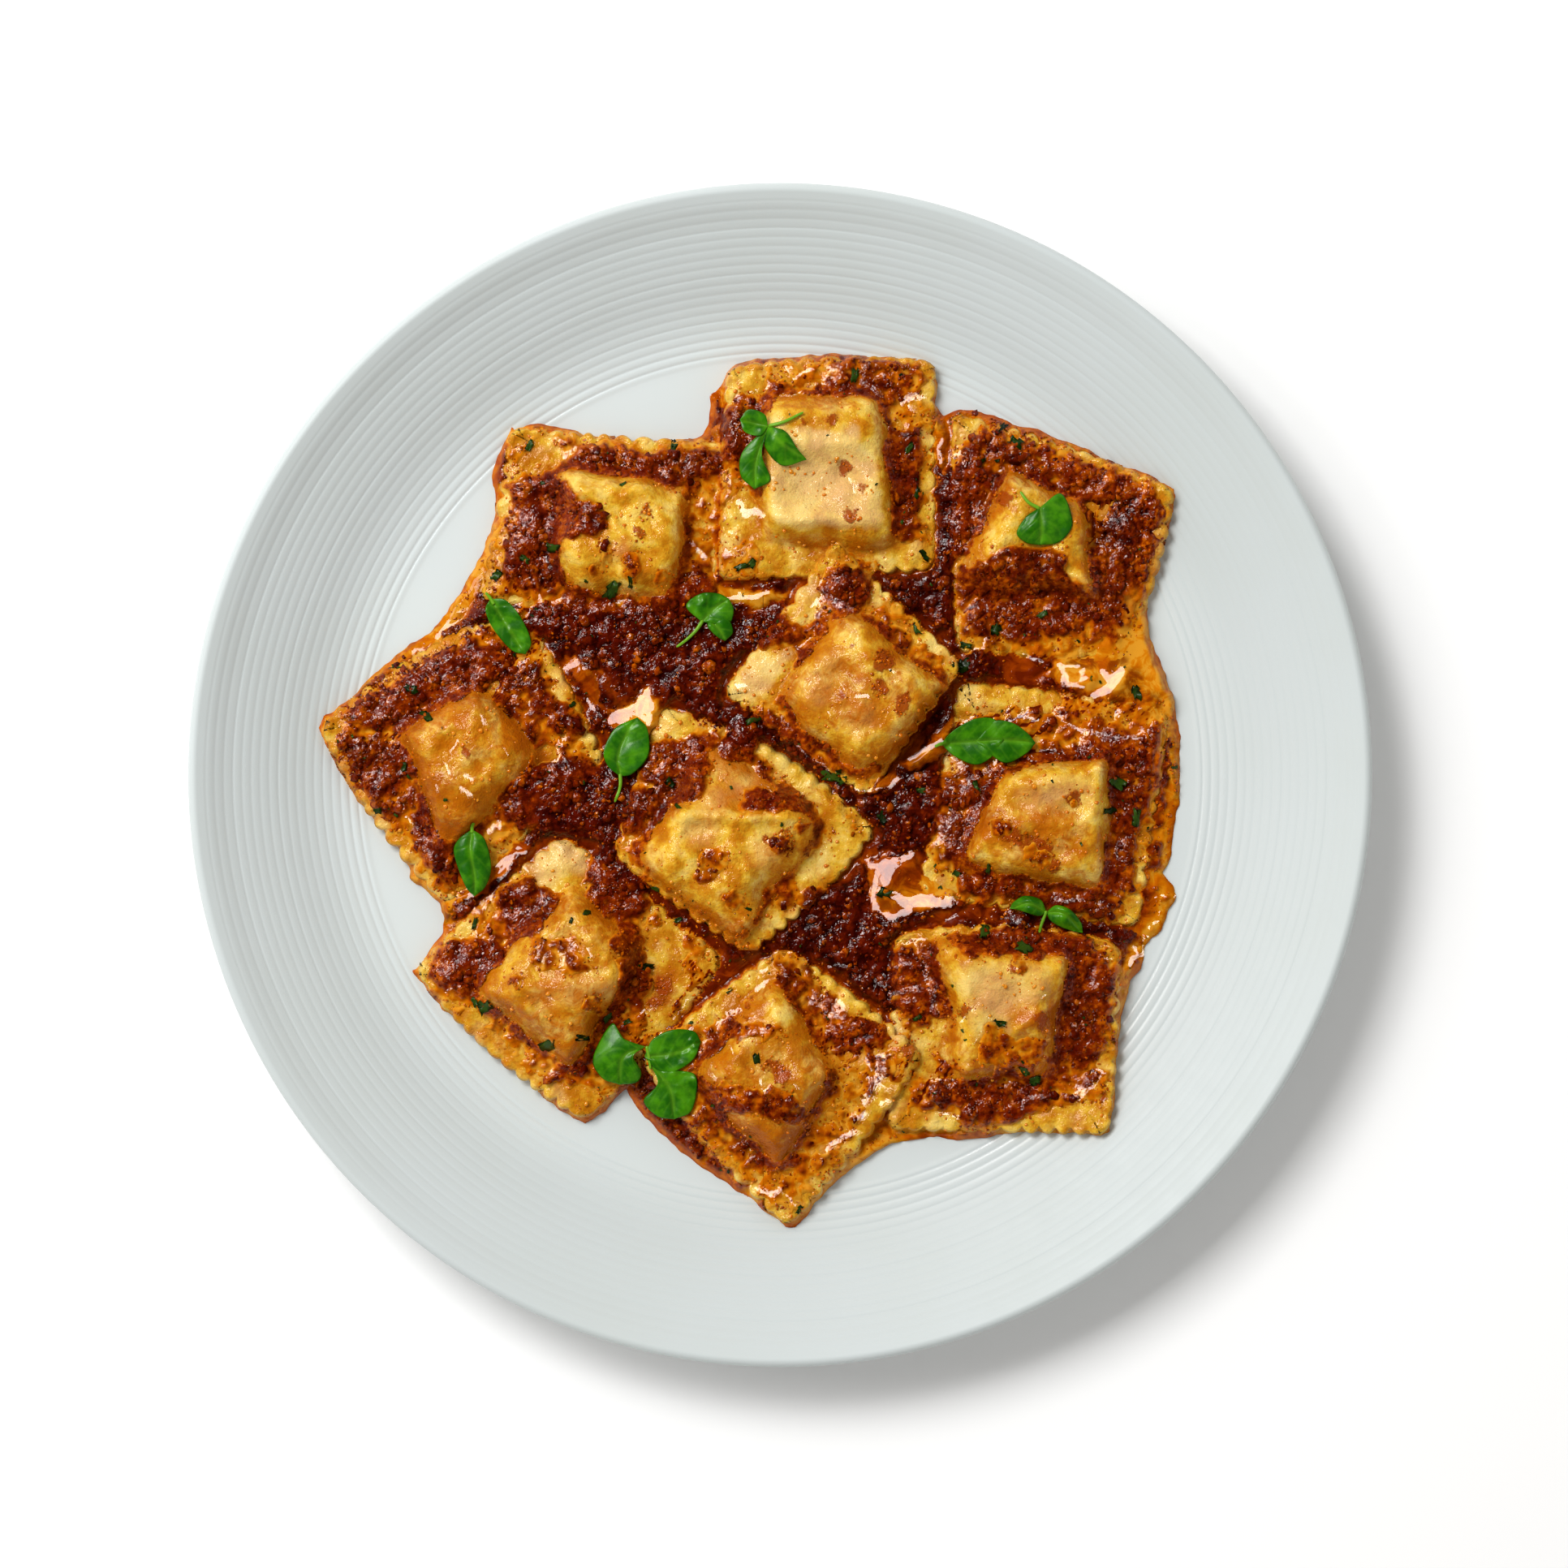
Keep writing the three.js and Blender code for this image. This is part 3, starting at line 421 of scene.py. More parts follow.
# Corners run anticlockwise from the lowest or lower left one. lift is each corner's height on its
# neighbours, bow how far each side bulges, pillow the corners of the filled part, rise its height at
# its corners and middle. A fold is (height, width, points): a ridge, or a dent where height is negative.
ravioli = {
    "ravioli_2": {
        "corners": [(45, 31), (88, 29), (101, 73), (44, 93)], "lift": (0, 0, 0, 0), "bow": (0, 2, 1.5, 1),
        "pillow": [(46, 50), (79, 46), (77, 70), (58, 76)], "rise": (7, 9, 10, 10, 9),
        "folds": [(1.2, 2.2, [(58, 76), (52, 66), (45, 51)]), (1.2, 2.0, [(77, 70), (78.5, 49)]),
                  (-2.2, 6.0, [(66, 62), (66, 54)]), (0.6, 2.0, [(48, 49), (60, 46), (76, 49)])],
    },
    "ravioli_3": {
        "corners": [(-77, 44), (-17, 41), (-13, 85), (-69, 89)], "lift": (0, 0, 0, 0), "bow": (1, 0, 0, 0),
        "pillow": [(-56, 48), (-28, 44), (-24, 73), (-56, 78)], "rise": (8, 10, 10, 9, 10),
        "folds": [(1.2, 1.8, [(-56, 78), (-44, 76), (-41, 70), (-36, 73.5), (-24, 73.5)]),
                  (1.2, 1.6, [(-54, 75), (-44, 68), (-41, 62), (-38, 58)]),
                  (0.8, 2.0, [(-25, 70), (-26.5, 60), (-27, 50), (-29, 42)]),
                  (-1.6, 4.0, [(-50, 66), (-47, 65)]), (-2.2, 2.6, [(-44, 52), (-42, 47)]),
                  (0.9, 1.8, [(-56, 58), (-49, 53), (-52, 47)]), (-1.0, 2.6, [(-34, 66), (-33, 63)])],
    },
    "ravioli_4": {
        "corners": [(-85, -34), (-44, 3), (-66, 44), (-118, 12.5)], "lift": (0, 0, 0, 0), "bow": (0, 1, 3, 3),
        "pillow": [(-85, -20), (-61, 6), (-77, 22), (-96, 11)], "rise": (7, 9, 10, 10, 9),
        "folds": [(0.9, 2.0, [(-95, 13), (-80, 21), (-66, 15), (-62, 8)]),
                  (0.7, 1.6, [(-64, 3), (-72, -5), (-82, -15)]),
                  (1.0, 4.5, [(-81, 2), (-80, -4)]), (-0.9, 4.0, [(-87, 7), (-86, 3)]),
                  (0.5, 2.2, [(-92, 8), (-92, -5), (-86, -18)])],
    },
    "ravioli_7": {
        "corners": [(35, -30), (92, -39), (100, 16.5), (45.5, 24)], "lift": (0, 0, 0, 0), "bow": (1, 0, 1, 0),
        "pillow": [(47, -22), (82, -29), (83, 4), (58, 2)], "rise": (8, 9, 10, 11, 9),
        "folds": [(0.9, 2.0, [(58, 2), (70, 1), (81, 3)]), (0.9, 2.0, [(57, 0), (52, -12), (48, -22)]),
                  (1.1, 1.8, [(82, 3), (80, -10), (82, -24)]), (-1.8, 3.4, [(61, -7), (74, -8)]),
                  (0.9, 2.4, [(62, -12.5), (74, -12)]), (-1.0, 3.2, [(66, -20), (70, -20)]),
                  (0.9, 1.5, [(58, -15), (62, -20), (66, -25)]), (1.3, 2.4, [(82, 5), (84, 6)])],
    },
    "ravioli_8": {
        "corners": [(-50, -89), (-14, -47), (-56, -15), (-94, -50)],
        "lift": (0, 0, 0, 0), "bow": (2, 1, 1, 3),
        "pillow": [(-54, -75), (-35, -45), (-54, -28), (-77, -54)], "rise": (8, 10, 8, 9, 11),
        "folds": [(0.9, 2.2, [(-58, -30), (-46, -33), (-37, -43)]), (1.4, 1.8, [(-71, -46), (-70, -48)]),
                  (-1.6, 3.8, [(-58, -44), (-55, -44)]), (1.1, 2.4, [(-66, -54), (-55, -53), (-43, -53)]),
                  (-1.0, 2.6, [(-49, -49), (-46, -49)]), (0.7, 2.0, [(-76, -54), (-62, -62), (-54, -73)]),
                  (0.7, 2.0, [(-54, -73), (-42, -58), (-37, -46)]), (1.2, 4.0, [(-60, -22), (-52, -20)])],
    },
    "ravioli_10": {
        "corners": [(27, -91), (84, -92), (87, -43), (29, -41)],
        "lift": (0, 0, 2.9, 2.9), "bow": (0, 1, 4, 0),
        "pillow": [(46, -77), (69, -76), (72, -45), (40, -43)], "rise": (9, 8, 10, 10, 11),
        "folds": [(1.1, 2.0, [(41, -44), (41, -55), (43, -66), (46, -75)]),
                  (1.3, 2.0, [(72, -46), (72, -54), (70, -64)]),
                  (-1.2, 4.5, [(56, -44), (60, -43)]), (-1.7, 4.2, [(58, -55), (55, -59)]),
                  (1.1, 1.7, [(60, -65), (66, -61), (71, -58)]), (0.7, 2.0, [(44, -47), (58, -46)]),
                  (-2.2, 4.5, [(54, -70), (61, -70)]), (0.6, 2.0, [(47, -76), (66, -77)]),
                  (1.9, 1.5, [(30, -41), (36, -38.5), (43, -35.5), (50, -33.5)]),
                  (1.4, 1.4, [(51, -36.5), (59, -37.5)]), (1.4, 1.4, [(57, -35), (66, -37.5)])],
    },
    "ravioli_1": {
        "corners": [(-16, 49.5), (40, 52), (40, 106), (-14, 104)], "lift": (3, 0, 0, 3), "bow": (0, 0, 2, 0),
        "pillow": [(-4, 60), (29, 60), (25, 96), (-4, 96)], "rise": (9, 9, 9, 10, 8),
        "folds": [(0.7, 2.0, [(-2.5, 94), (-2.5, 62)]), (0.9, 2.2, [(24, 94), (26, 80), (29, 62)]),
                  (1.1, 2.0, [(-2, 65), (28, 64.5)]), (-2.8, 5.2, [(6, 74), (14, 75.5)]),
                  (-1.3, 2.2, [(16, 78), (20, 73)]), (0.8, 2.8, [(7, 85), (19, 84)]),
                  (1.4, 2.4, [(-14, 98), (-13, 97)]), (1.4, 2.4, [(-8, 100), (-7, 98)])],
    },
    "ravioli_9": {
        "corners": [(2, -116), (37, -71), (1, -43.5), (-36, -73)],
        "lift": (0, 3, 0.6, 3), "bow": (2, 1, 1, 2),
        "pillow": [(-1, -101), (13, -76), (-1, -53), (-21, -76)], "rise": (8, 10, 10, 10, 10),
        "folds": [(1.4, 2.6, [(-1, -54), (8, -62), (13, -72), (12, -84)]),
                  (0.9, 2.0, [(-2, -56), (-12, -64), (-21, -75)]),
                  (-1.3, 4.5, [(1, -71), (-1, -74)]), (0.9, 2.6, [(4, -78), (7, -79)]),
                  (0.7, 2.0, [(-20, -78), (-12, -90), (-1, -101)]),
                  (0.7, 2.0, [(12, -85), (7, -92), (-1, -101)]),
                  (2.2, 3.2, [(32, -72), (34, -70)]), (0.7, 2.0, [(16, -74), (14, -90)])],
    },
    "ravioli_6": {
        "corners": [(-8, -46), (25, -14), (-31, 18), (-43, -20)],
        "lift": (3.2, 0.6, 0, 3.2), "bow": (2, 5, 0, 1),
        "pillow": [(-11, -41), (10, -11), (-18, 7), (-37, -21)], "rise": (8, 10, 6, 9, 9),
        "folds": [(2.0, 2.0, [(-31, -9), (-18, -10.5), (-3, -10.5), (9, -11)]),
                  (-1.3, 3.6, [(-18, -21), (-16, -24)]), (-1.1, 3.2, [(-12, -33), (-11, -32)]),
                  (0.9, 2.4, [(-27, -20), (-27, -28)]),
                  (1.1, 2.0, [(9, -14), (4, -24), (-3, -34), (-10, -40)]),
                  (0.9, 2.0, [(-32, -11), (-36, -21), (-28, -31), (-14, -40)]),
                  (-2.6, 5.0, [(-14, -1), (-9, -2)]), (1.2, 2.8, [(-22, 0), (-22, -1)]),
                  (2.2, 3.0, [(-27, 13), (-26, 15)]),
                  (2.4, 1.7, [(-7, 9), (0, 5), (8, 0), (13, -7), (18, -14)])],
    },
    "ravioli_5": {
        "corners": [(22, -6), (47, 28), (14, 60), (-15, 21)], "lift": (3, 3.2, 3.2, 3.4), "bow": (0, 0, 0, 0),
        "pillow": [(20, 0), (42, 22), (16, 42), (1, 20)], "rise": (9, 10, 10, 9, 10),
        "folds": [(0.9, 2.0, [(10, 42), (28, 35), (42, 22)]), (0.6, 2.0, [(1, 19), (8, 30), (9, 41)]),
                  (0.6, 1.6, [(1, 19), (12, 4), (20, -1)]), (0.9, 2.0, [(20, 8), (30, 14), (42, 20)]),
                  (-1.3, 4.0, [(16, 27), (18, 26)]), (-0.9, 3.0, [(27, 27), (28, 26)]),
                  (0.7, 3.6, [(20, 16), (21, 15)]),
                  (1.7, 4.2, [(-11, 24), (-1, 27)]), (1.3, 2.6, [(5, 46), (6, 41)])],
    },
}
dough = {
    "film": 1.3,  # sauce under the ravioli
    "thick": 2.3, "rim": 1.1,  # the double edge and how fast it rounds off
    "scallop": 4.7, "depth": 1.5,  # spacing and depth of the fluted edge
    "pinch": 0.8, "pinchWidth": 1.7, "pinchInset": 1.2,  # the dent at each of its notches
    "wave": 0.8, "waveSize": 13,  # how the flat edge lifts
    "pillowRing": 0.66,  # where the pillow's outline lies on the square grid
    "round": 2.6,  # how softly the pillow's sides meet
    "foot": 2.4, "hollow": 0.4, "shoulder": 8.0,  # the pillow's spread past its corners and its rounded width
    "wander": 1.9, "wanderSize": 13,  # how far the pillow's outline strays
    "crease": 0.8, "creaseWidth": 2.0, "lumps": 0.95, "wrinkles": 0.22,
    "steps": 118, "edgeSteps": 640,
}


# Places on a four-cornered outline, t from 0 to 4, with their side, the share along it, the outward
# direction and the side's length.
def around(corners, t):
    corners = np.array(corners, float)
    side = np.floor(t).astype(int) % 4
    share = t - np.floor(t)
    start, end = corners[side], corners[(side + 1) % 4]
    along = end - start
    length = np.hypot(along[..., 0], along[..., 1])
    outward = np.stack([along[..., 1], -along[..., 0]], -1) / length[..., None]
    return start + along * share[..., None], side, share, outward, length


# Four corner values mixed at a place of the square from -1 to 1.
def mixCorners(values, u, v):
    return sum(value * (1 + cu * u) * (1 + cv * v) / 4 for value, (cu, cv) in zip(values, squareCorners))


# The fluted outline: straight sides, bulged by bow, with round lobes that leave notches of a set depth.
def flutedEdge(shape, t):
    place, side, share, outward, length = around(shape["corners"], t)
    lobes = np.round(length / dough["scallop"])
    bulge = 4 * np.array(shape["bow"])[side] * share * (1 - share)
    uneven = 0.7 * np.sin(5.1 * t + shape["corners"][0][0]) + 0.5 * np.sin(11.7 * t + shape["corners"][0][1])
    deep = dough["depth"] * (1 + 0.45 * np.sin(7.3 * t + shape["corners"][1][0]))
    lobe = np.abs(np.sin(math.pi * lobes * share + uneven * np.sin(math.pi * share))) ** 0.62
    cornerEase = 2.0 * np.clip(1 - np.minimum(share, 1 - share) / 0.09, 0, 1) ** 2
    notch = deep * (1 - lobe) * (1 - 0.6 * (cornerEase > 0))
    return place + outward * (bulge - notch - cornerEase)[..., None]


# The distance inside the pillow's four sides, each a little hollow, smoothed where two sides meet.
def pillowDepth(corners, x, y):
    total = 0
    for (ax, ay), (bx, by) in zip(corners, corners[1:] + corners[:1]):
        length = math.hypot(bx - ax, by - ay)
        away = ((bx - ax) * (y - ay) - (by - ay) * (x - ax)) / length + dough["foot"]
        share = ((x - ax) * (bx - ax) + (y - ay) * (by - ay)) / length ** 2
        away = away - dough["hollow"] * np.sin(math.pi * np.clip(share, 0, 1)) ** 2
        total = total + np.exp(-away / dough["round"])
    return -dough["round"] * np.log(total)


# A raviolo's plan on a square grid with u and v from -1 to 1. Square rings run from the fluted edge to
# the pillow's outline, and from there shrink to its middle.
def planOf(shape):
    line = np.linspace(-1, 1, dough["steps"] + 1)
    u, v = np.meshgrid(line, line)
    ring = np.maximum(np.abs(u), np.abs(v))
    safe = np.maximum(ring, 1e-9)
    pu, pv = u / safe, v / safe
    t = np.select([pv <= -1 + 1e-9, pu >= 1 - 1e-9, pv >= 1 - 1e-9],
                  [(pu + 1) / 2, 1 + (pv + 1) / 2, 2 + (1 - pu) / 2], 3 + (1 - pv) / 2) % 4
    outer, plain, inner = flutedEdge(shape, t), around(shape["corners"], t)[0], around(shape["pillow"], t)[0]
    middle, pillowRing = np.mean(shape["pillow"], axis=0), dough["pillowRing"]
    share = np.clip((ring - pillowRing) / (1 - pillowRing), 0, 1)[..., None]
    border = inner + (plain - inner) * share + (outer - plain) * share ** 4
    filled = middle + (inner - middle) * (ring / pillowRing)[..., None]
    place = np.where(ring[..., None] > pillowRing, border, filled)
    return u, v, ring, place[..., 0], place[..., 1]


# The dent at each notch of the fluted edge: a bell round a place a little inside it.
def pinchAt(shape, x, y):
    lobes = np.round(around(shape["corners"], np.arange(4.0))[4] / dough["scallop"]).astype(int)
    t = np.concatenate([side + np.arange(1, count) / count for side, count in enumerate(lobes)])
    place, side, share, outward, length = around(shape["corners"], t)
    inset = 4 * np.array(shape["bow"])[side] * share * (1 - share) - dough["pinchInset"]
    pinch = np.zeros(x.shape)
    for notchX, notchY in place + outward * inset[:, None]:
        pinch += np.exp(-((x - notchX) ** 2 + (y - notchY) ** 2) / dough["pinchWidth"] ** 2)
    return pinch


# The folds: a bell across each line, and across a crease from each pillow corner towards the edge's corner.
def foldsAt(shape, x, y):
    folds = sum(height * np.exp(-(lineDistance(x, y, points) / width) ** 2)
                for height, width, points in shape["folds"])
    for inner, outer in zip(shape["pillow"], shape["corners"]):
        start, end = np.array(inner, float), np.array(outer, float)
        crease = [tuple(start + (end - start) * share) for share in (-0.1, 0.4)]
        folds = folds + dough["crease"] * np.exp(-(lineDistance(x, y, crease) / dough["creaseWidth"]) ** 2)
    return folds


# One raviolo's top and underside. The underside lies on what is below; the top adds the dough's
# thickness, the pillow as a rounded box, the folds and low waves.
def makeRaviolo(name, shape, below):
    seed = int(name.split("_")[1]) * 31
    u, v, ring, x, y = planOf(shape)

    support = softened(grown(below, 0.8), 1.6)
    rest = plateTop(np.hypot(x, y)) + dough["film"] + mixCorners(shape["lift"], u, v)
    underside = smoothMax(rest, read(support, x, y) + 0.1, 0.8)
    waves = np.clip(noise(x, y, dough["waveSize"], seed), 0, 1)
    underside = underside + dough["wave"] * waves * smoothStep(0.5, 0.9, ring)

    t = np.linspace(0, 4, dough["edgeSteps"], endpoint=False)
    edge = [tuple(place) for place in flutedEdge(shape, t)]
    away = lineDistance(x, y, edge + edge[:1])
    away[ring > 0.9999] = 0
    rounding = np.sqrt(np.clip(1 - (1 - np.clip(away / dough["rim"], 0, 1)) ** 2, 0, 1))

    wander = [dough["wander"] * noise(x, y, dough["wanderSize"], seed + k) for k in (6, 7)]
    depth = pillowDepth(shape["pillow"], x + wander[0], y + wander[1])
    share = np.clip(depth / dough["shoulder"], 0, 1)
    share = share * share / (share + 0.10) * 1.10
    uInner, vInner = np.clip([u / dough["pillowRing"], v / dough["pillowRing"]], -1, 1)
    cornerRise, crown = shape["rise"][:4], shape["rise"][4]
    rise = mixCorners(cornerRise, uInner, vInner)
    rise = rise + (crown - np.mean(cornerRise)) * (1 - uInner ** 2) * (1 - vInner ** 2)
    pillow = rise * (1 - (1 - share) ** 2.2) ** 0.95 * 0.95
    filled = smoothStep(0, 3, depth)

    lumps = dough["lumps"] * noise(x, y, 9, seed + 1) + 0.42 * noise(x, y, 4.5, seed + 2)
    wrinkles = dough["wrinkles"] * (1 - np.abs(noise(x, y, 6, seed + 3))) ** 3
    wrinkles = wrinkles + 0.08 * noise(x, y, 1.8, seed + 4)
    border = 0.18 * noise(x, y, 3.2, seed + 5) - dough["pinch"] * pinchAt(shape, x, y)
    thickness = dough["thick"] + pillow
    thickness = thickness + (foldsAt(shape, x, y) + lumps) * (0.35 + 0.65 * filled) * smoothStep(0, 2.5, away)
    thickness = thickness + (wrinkles + border * (1 - filled)) * smoothStep(0, 1.2, away)
    middleHeight = underside + 0.5 * dough["thick"]
    top = middleHeight + (thickness - 0.5 * dough["thick"]) * rounding
    bottom = middleHeight - 0.5 * dough["thick"] * rounding
    return {"x": x, "y": y, "top": top, "bottom": bottom, "edge": away, "pillow": depth}


# Puts a raviolo's top on the board: each grid point writes its height to the nearest cell, and cells
# that none has hit take the mean of their neighbours.
def lay(made, layers, number):
    height, near, inner, owner = layers
    column = np.round((made["x"] - board["left"]) / board["step"]).astype(int).ravel()
    row = np.round((made["y"] - board["bottom"]) / board["step"]).astype(int).ravel()
    fields = []
    for key in ("top", "edge", "pillow"):
        field = np.full(height.shape, np.nan)
        field[row, column] = made[key].ravel()
        nearby = np.stack([np.roll(field, (r, c), (0, 1)) for r in (-1, 0, 1) for c in (-1, 0, 1) if r or c])
        known = np.isfinite(nearby)
        mean = np.where(known, nearby, 0).sum(0) / np.maximum(known.sum(0), 1)
        fields.append(np.where(np.isnan(field) & (known.sum(0) >= 4), mean, field))
    above = np.isfinite(fields[0]) & (np.nan_to_num(fields[0]) > height)
    for layer, field in zip((height, near, inner), fields):
        layer[above] = field[above]
    owner[above] = number


plateLayer = plateTop(np.hypot(boardX, boardY))
foodTop = plateLayer.copy()
edgeLayer, pillowLayer = np.full(foodTop.shape, 9.0), np.full(foodTop.shape, -9.0)
ownerLayer = np.zeros(foodTop.shape, int)
madeRavioli = {}
for number, (name, shape) in enumerate(ravioli.items()):
    madeRavioli[name] = makeRaviolo(name, shape, foodTop)
    lay(madeRavioli[name], (foodTop, edgeLayer, pillowLayer, ownerLayer), number + 1)
print("ravioli laid, highest", round(float(foodTop.max()), 1), "mm")


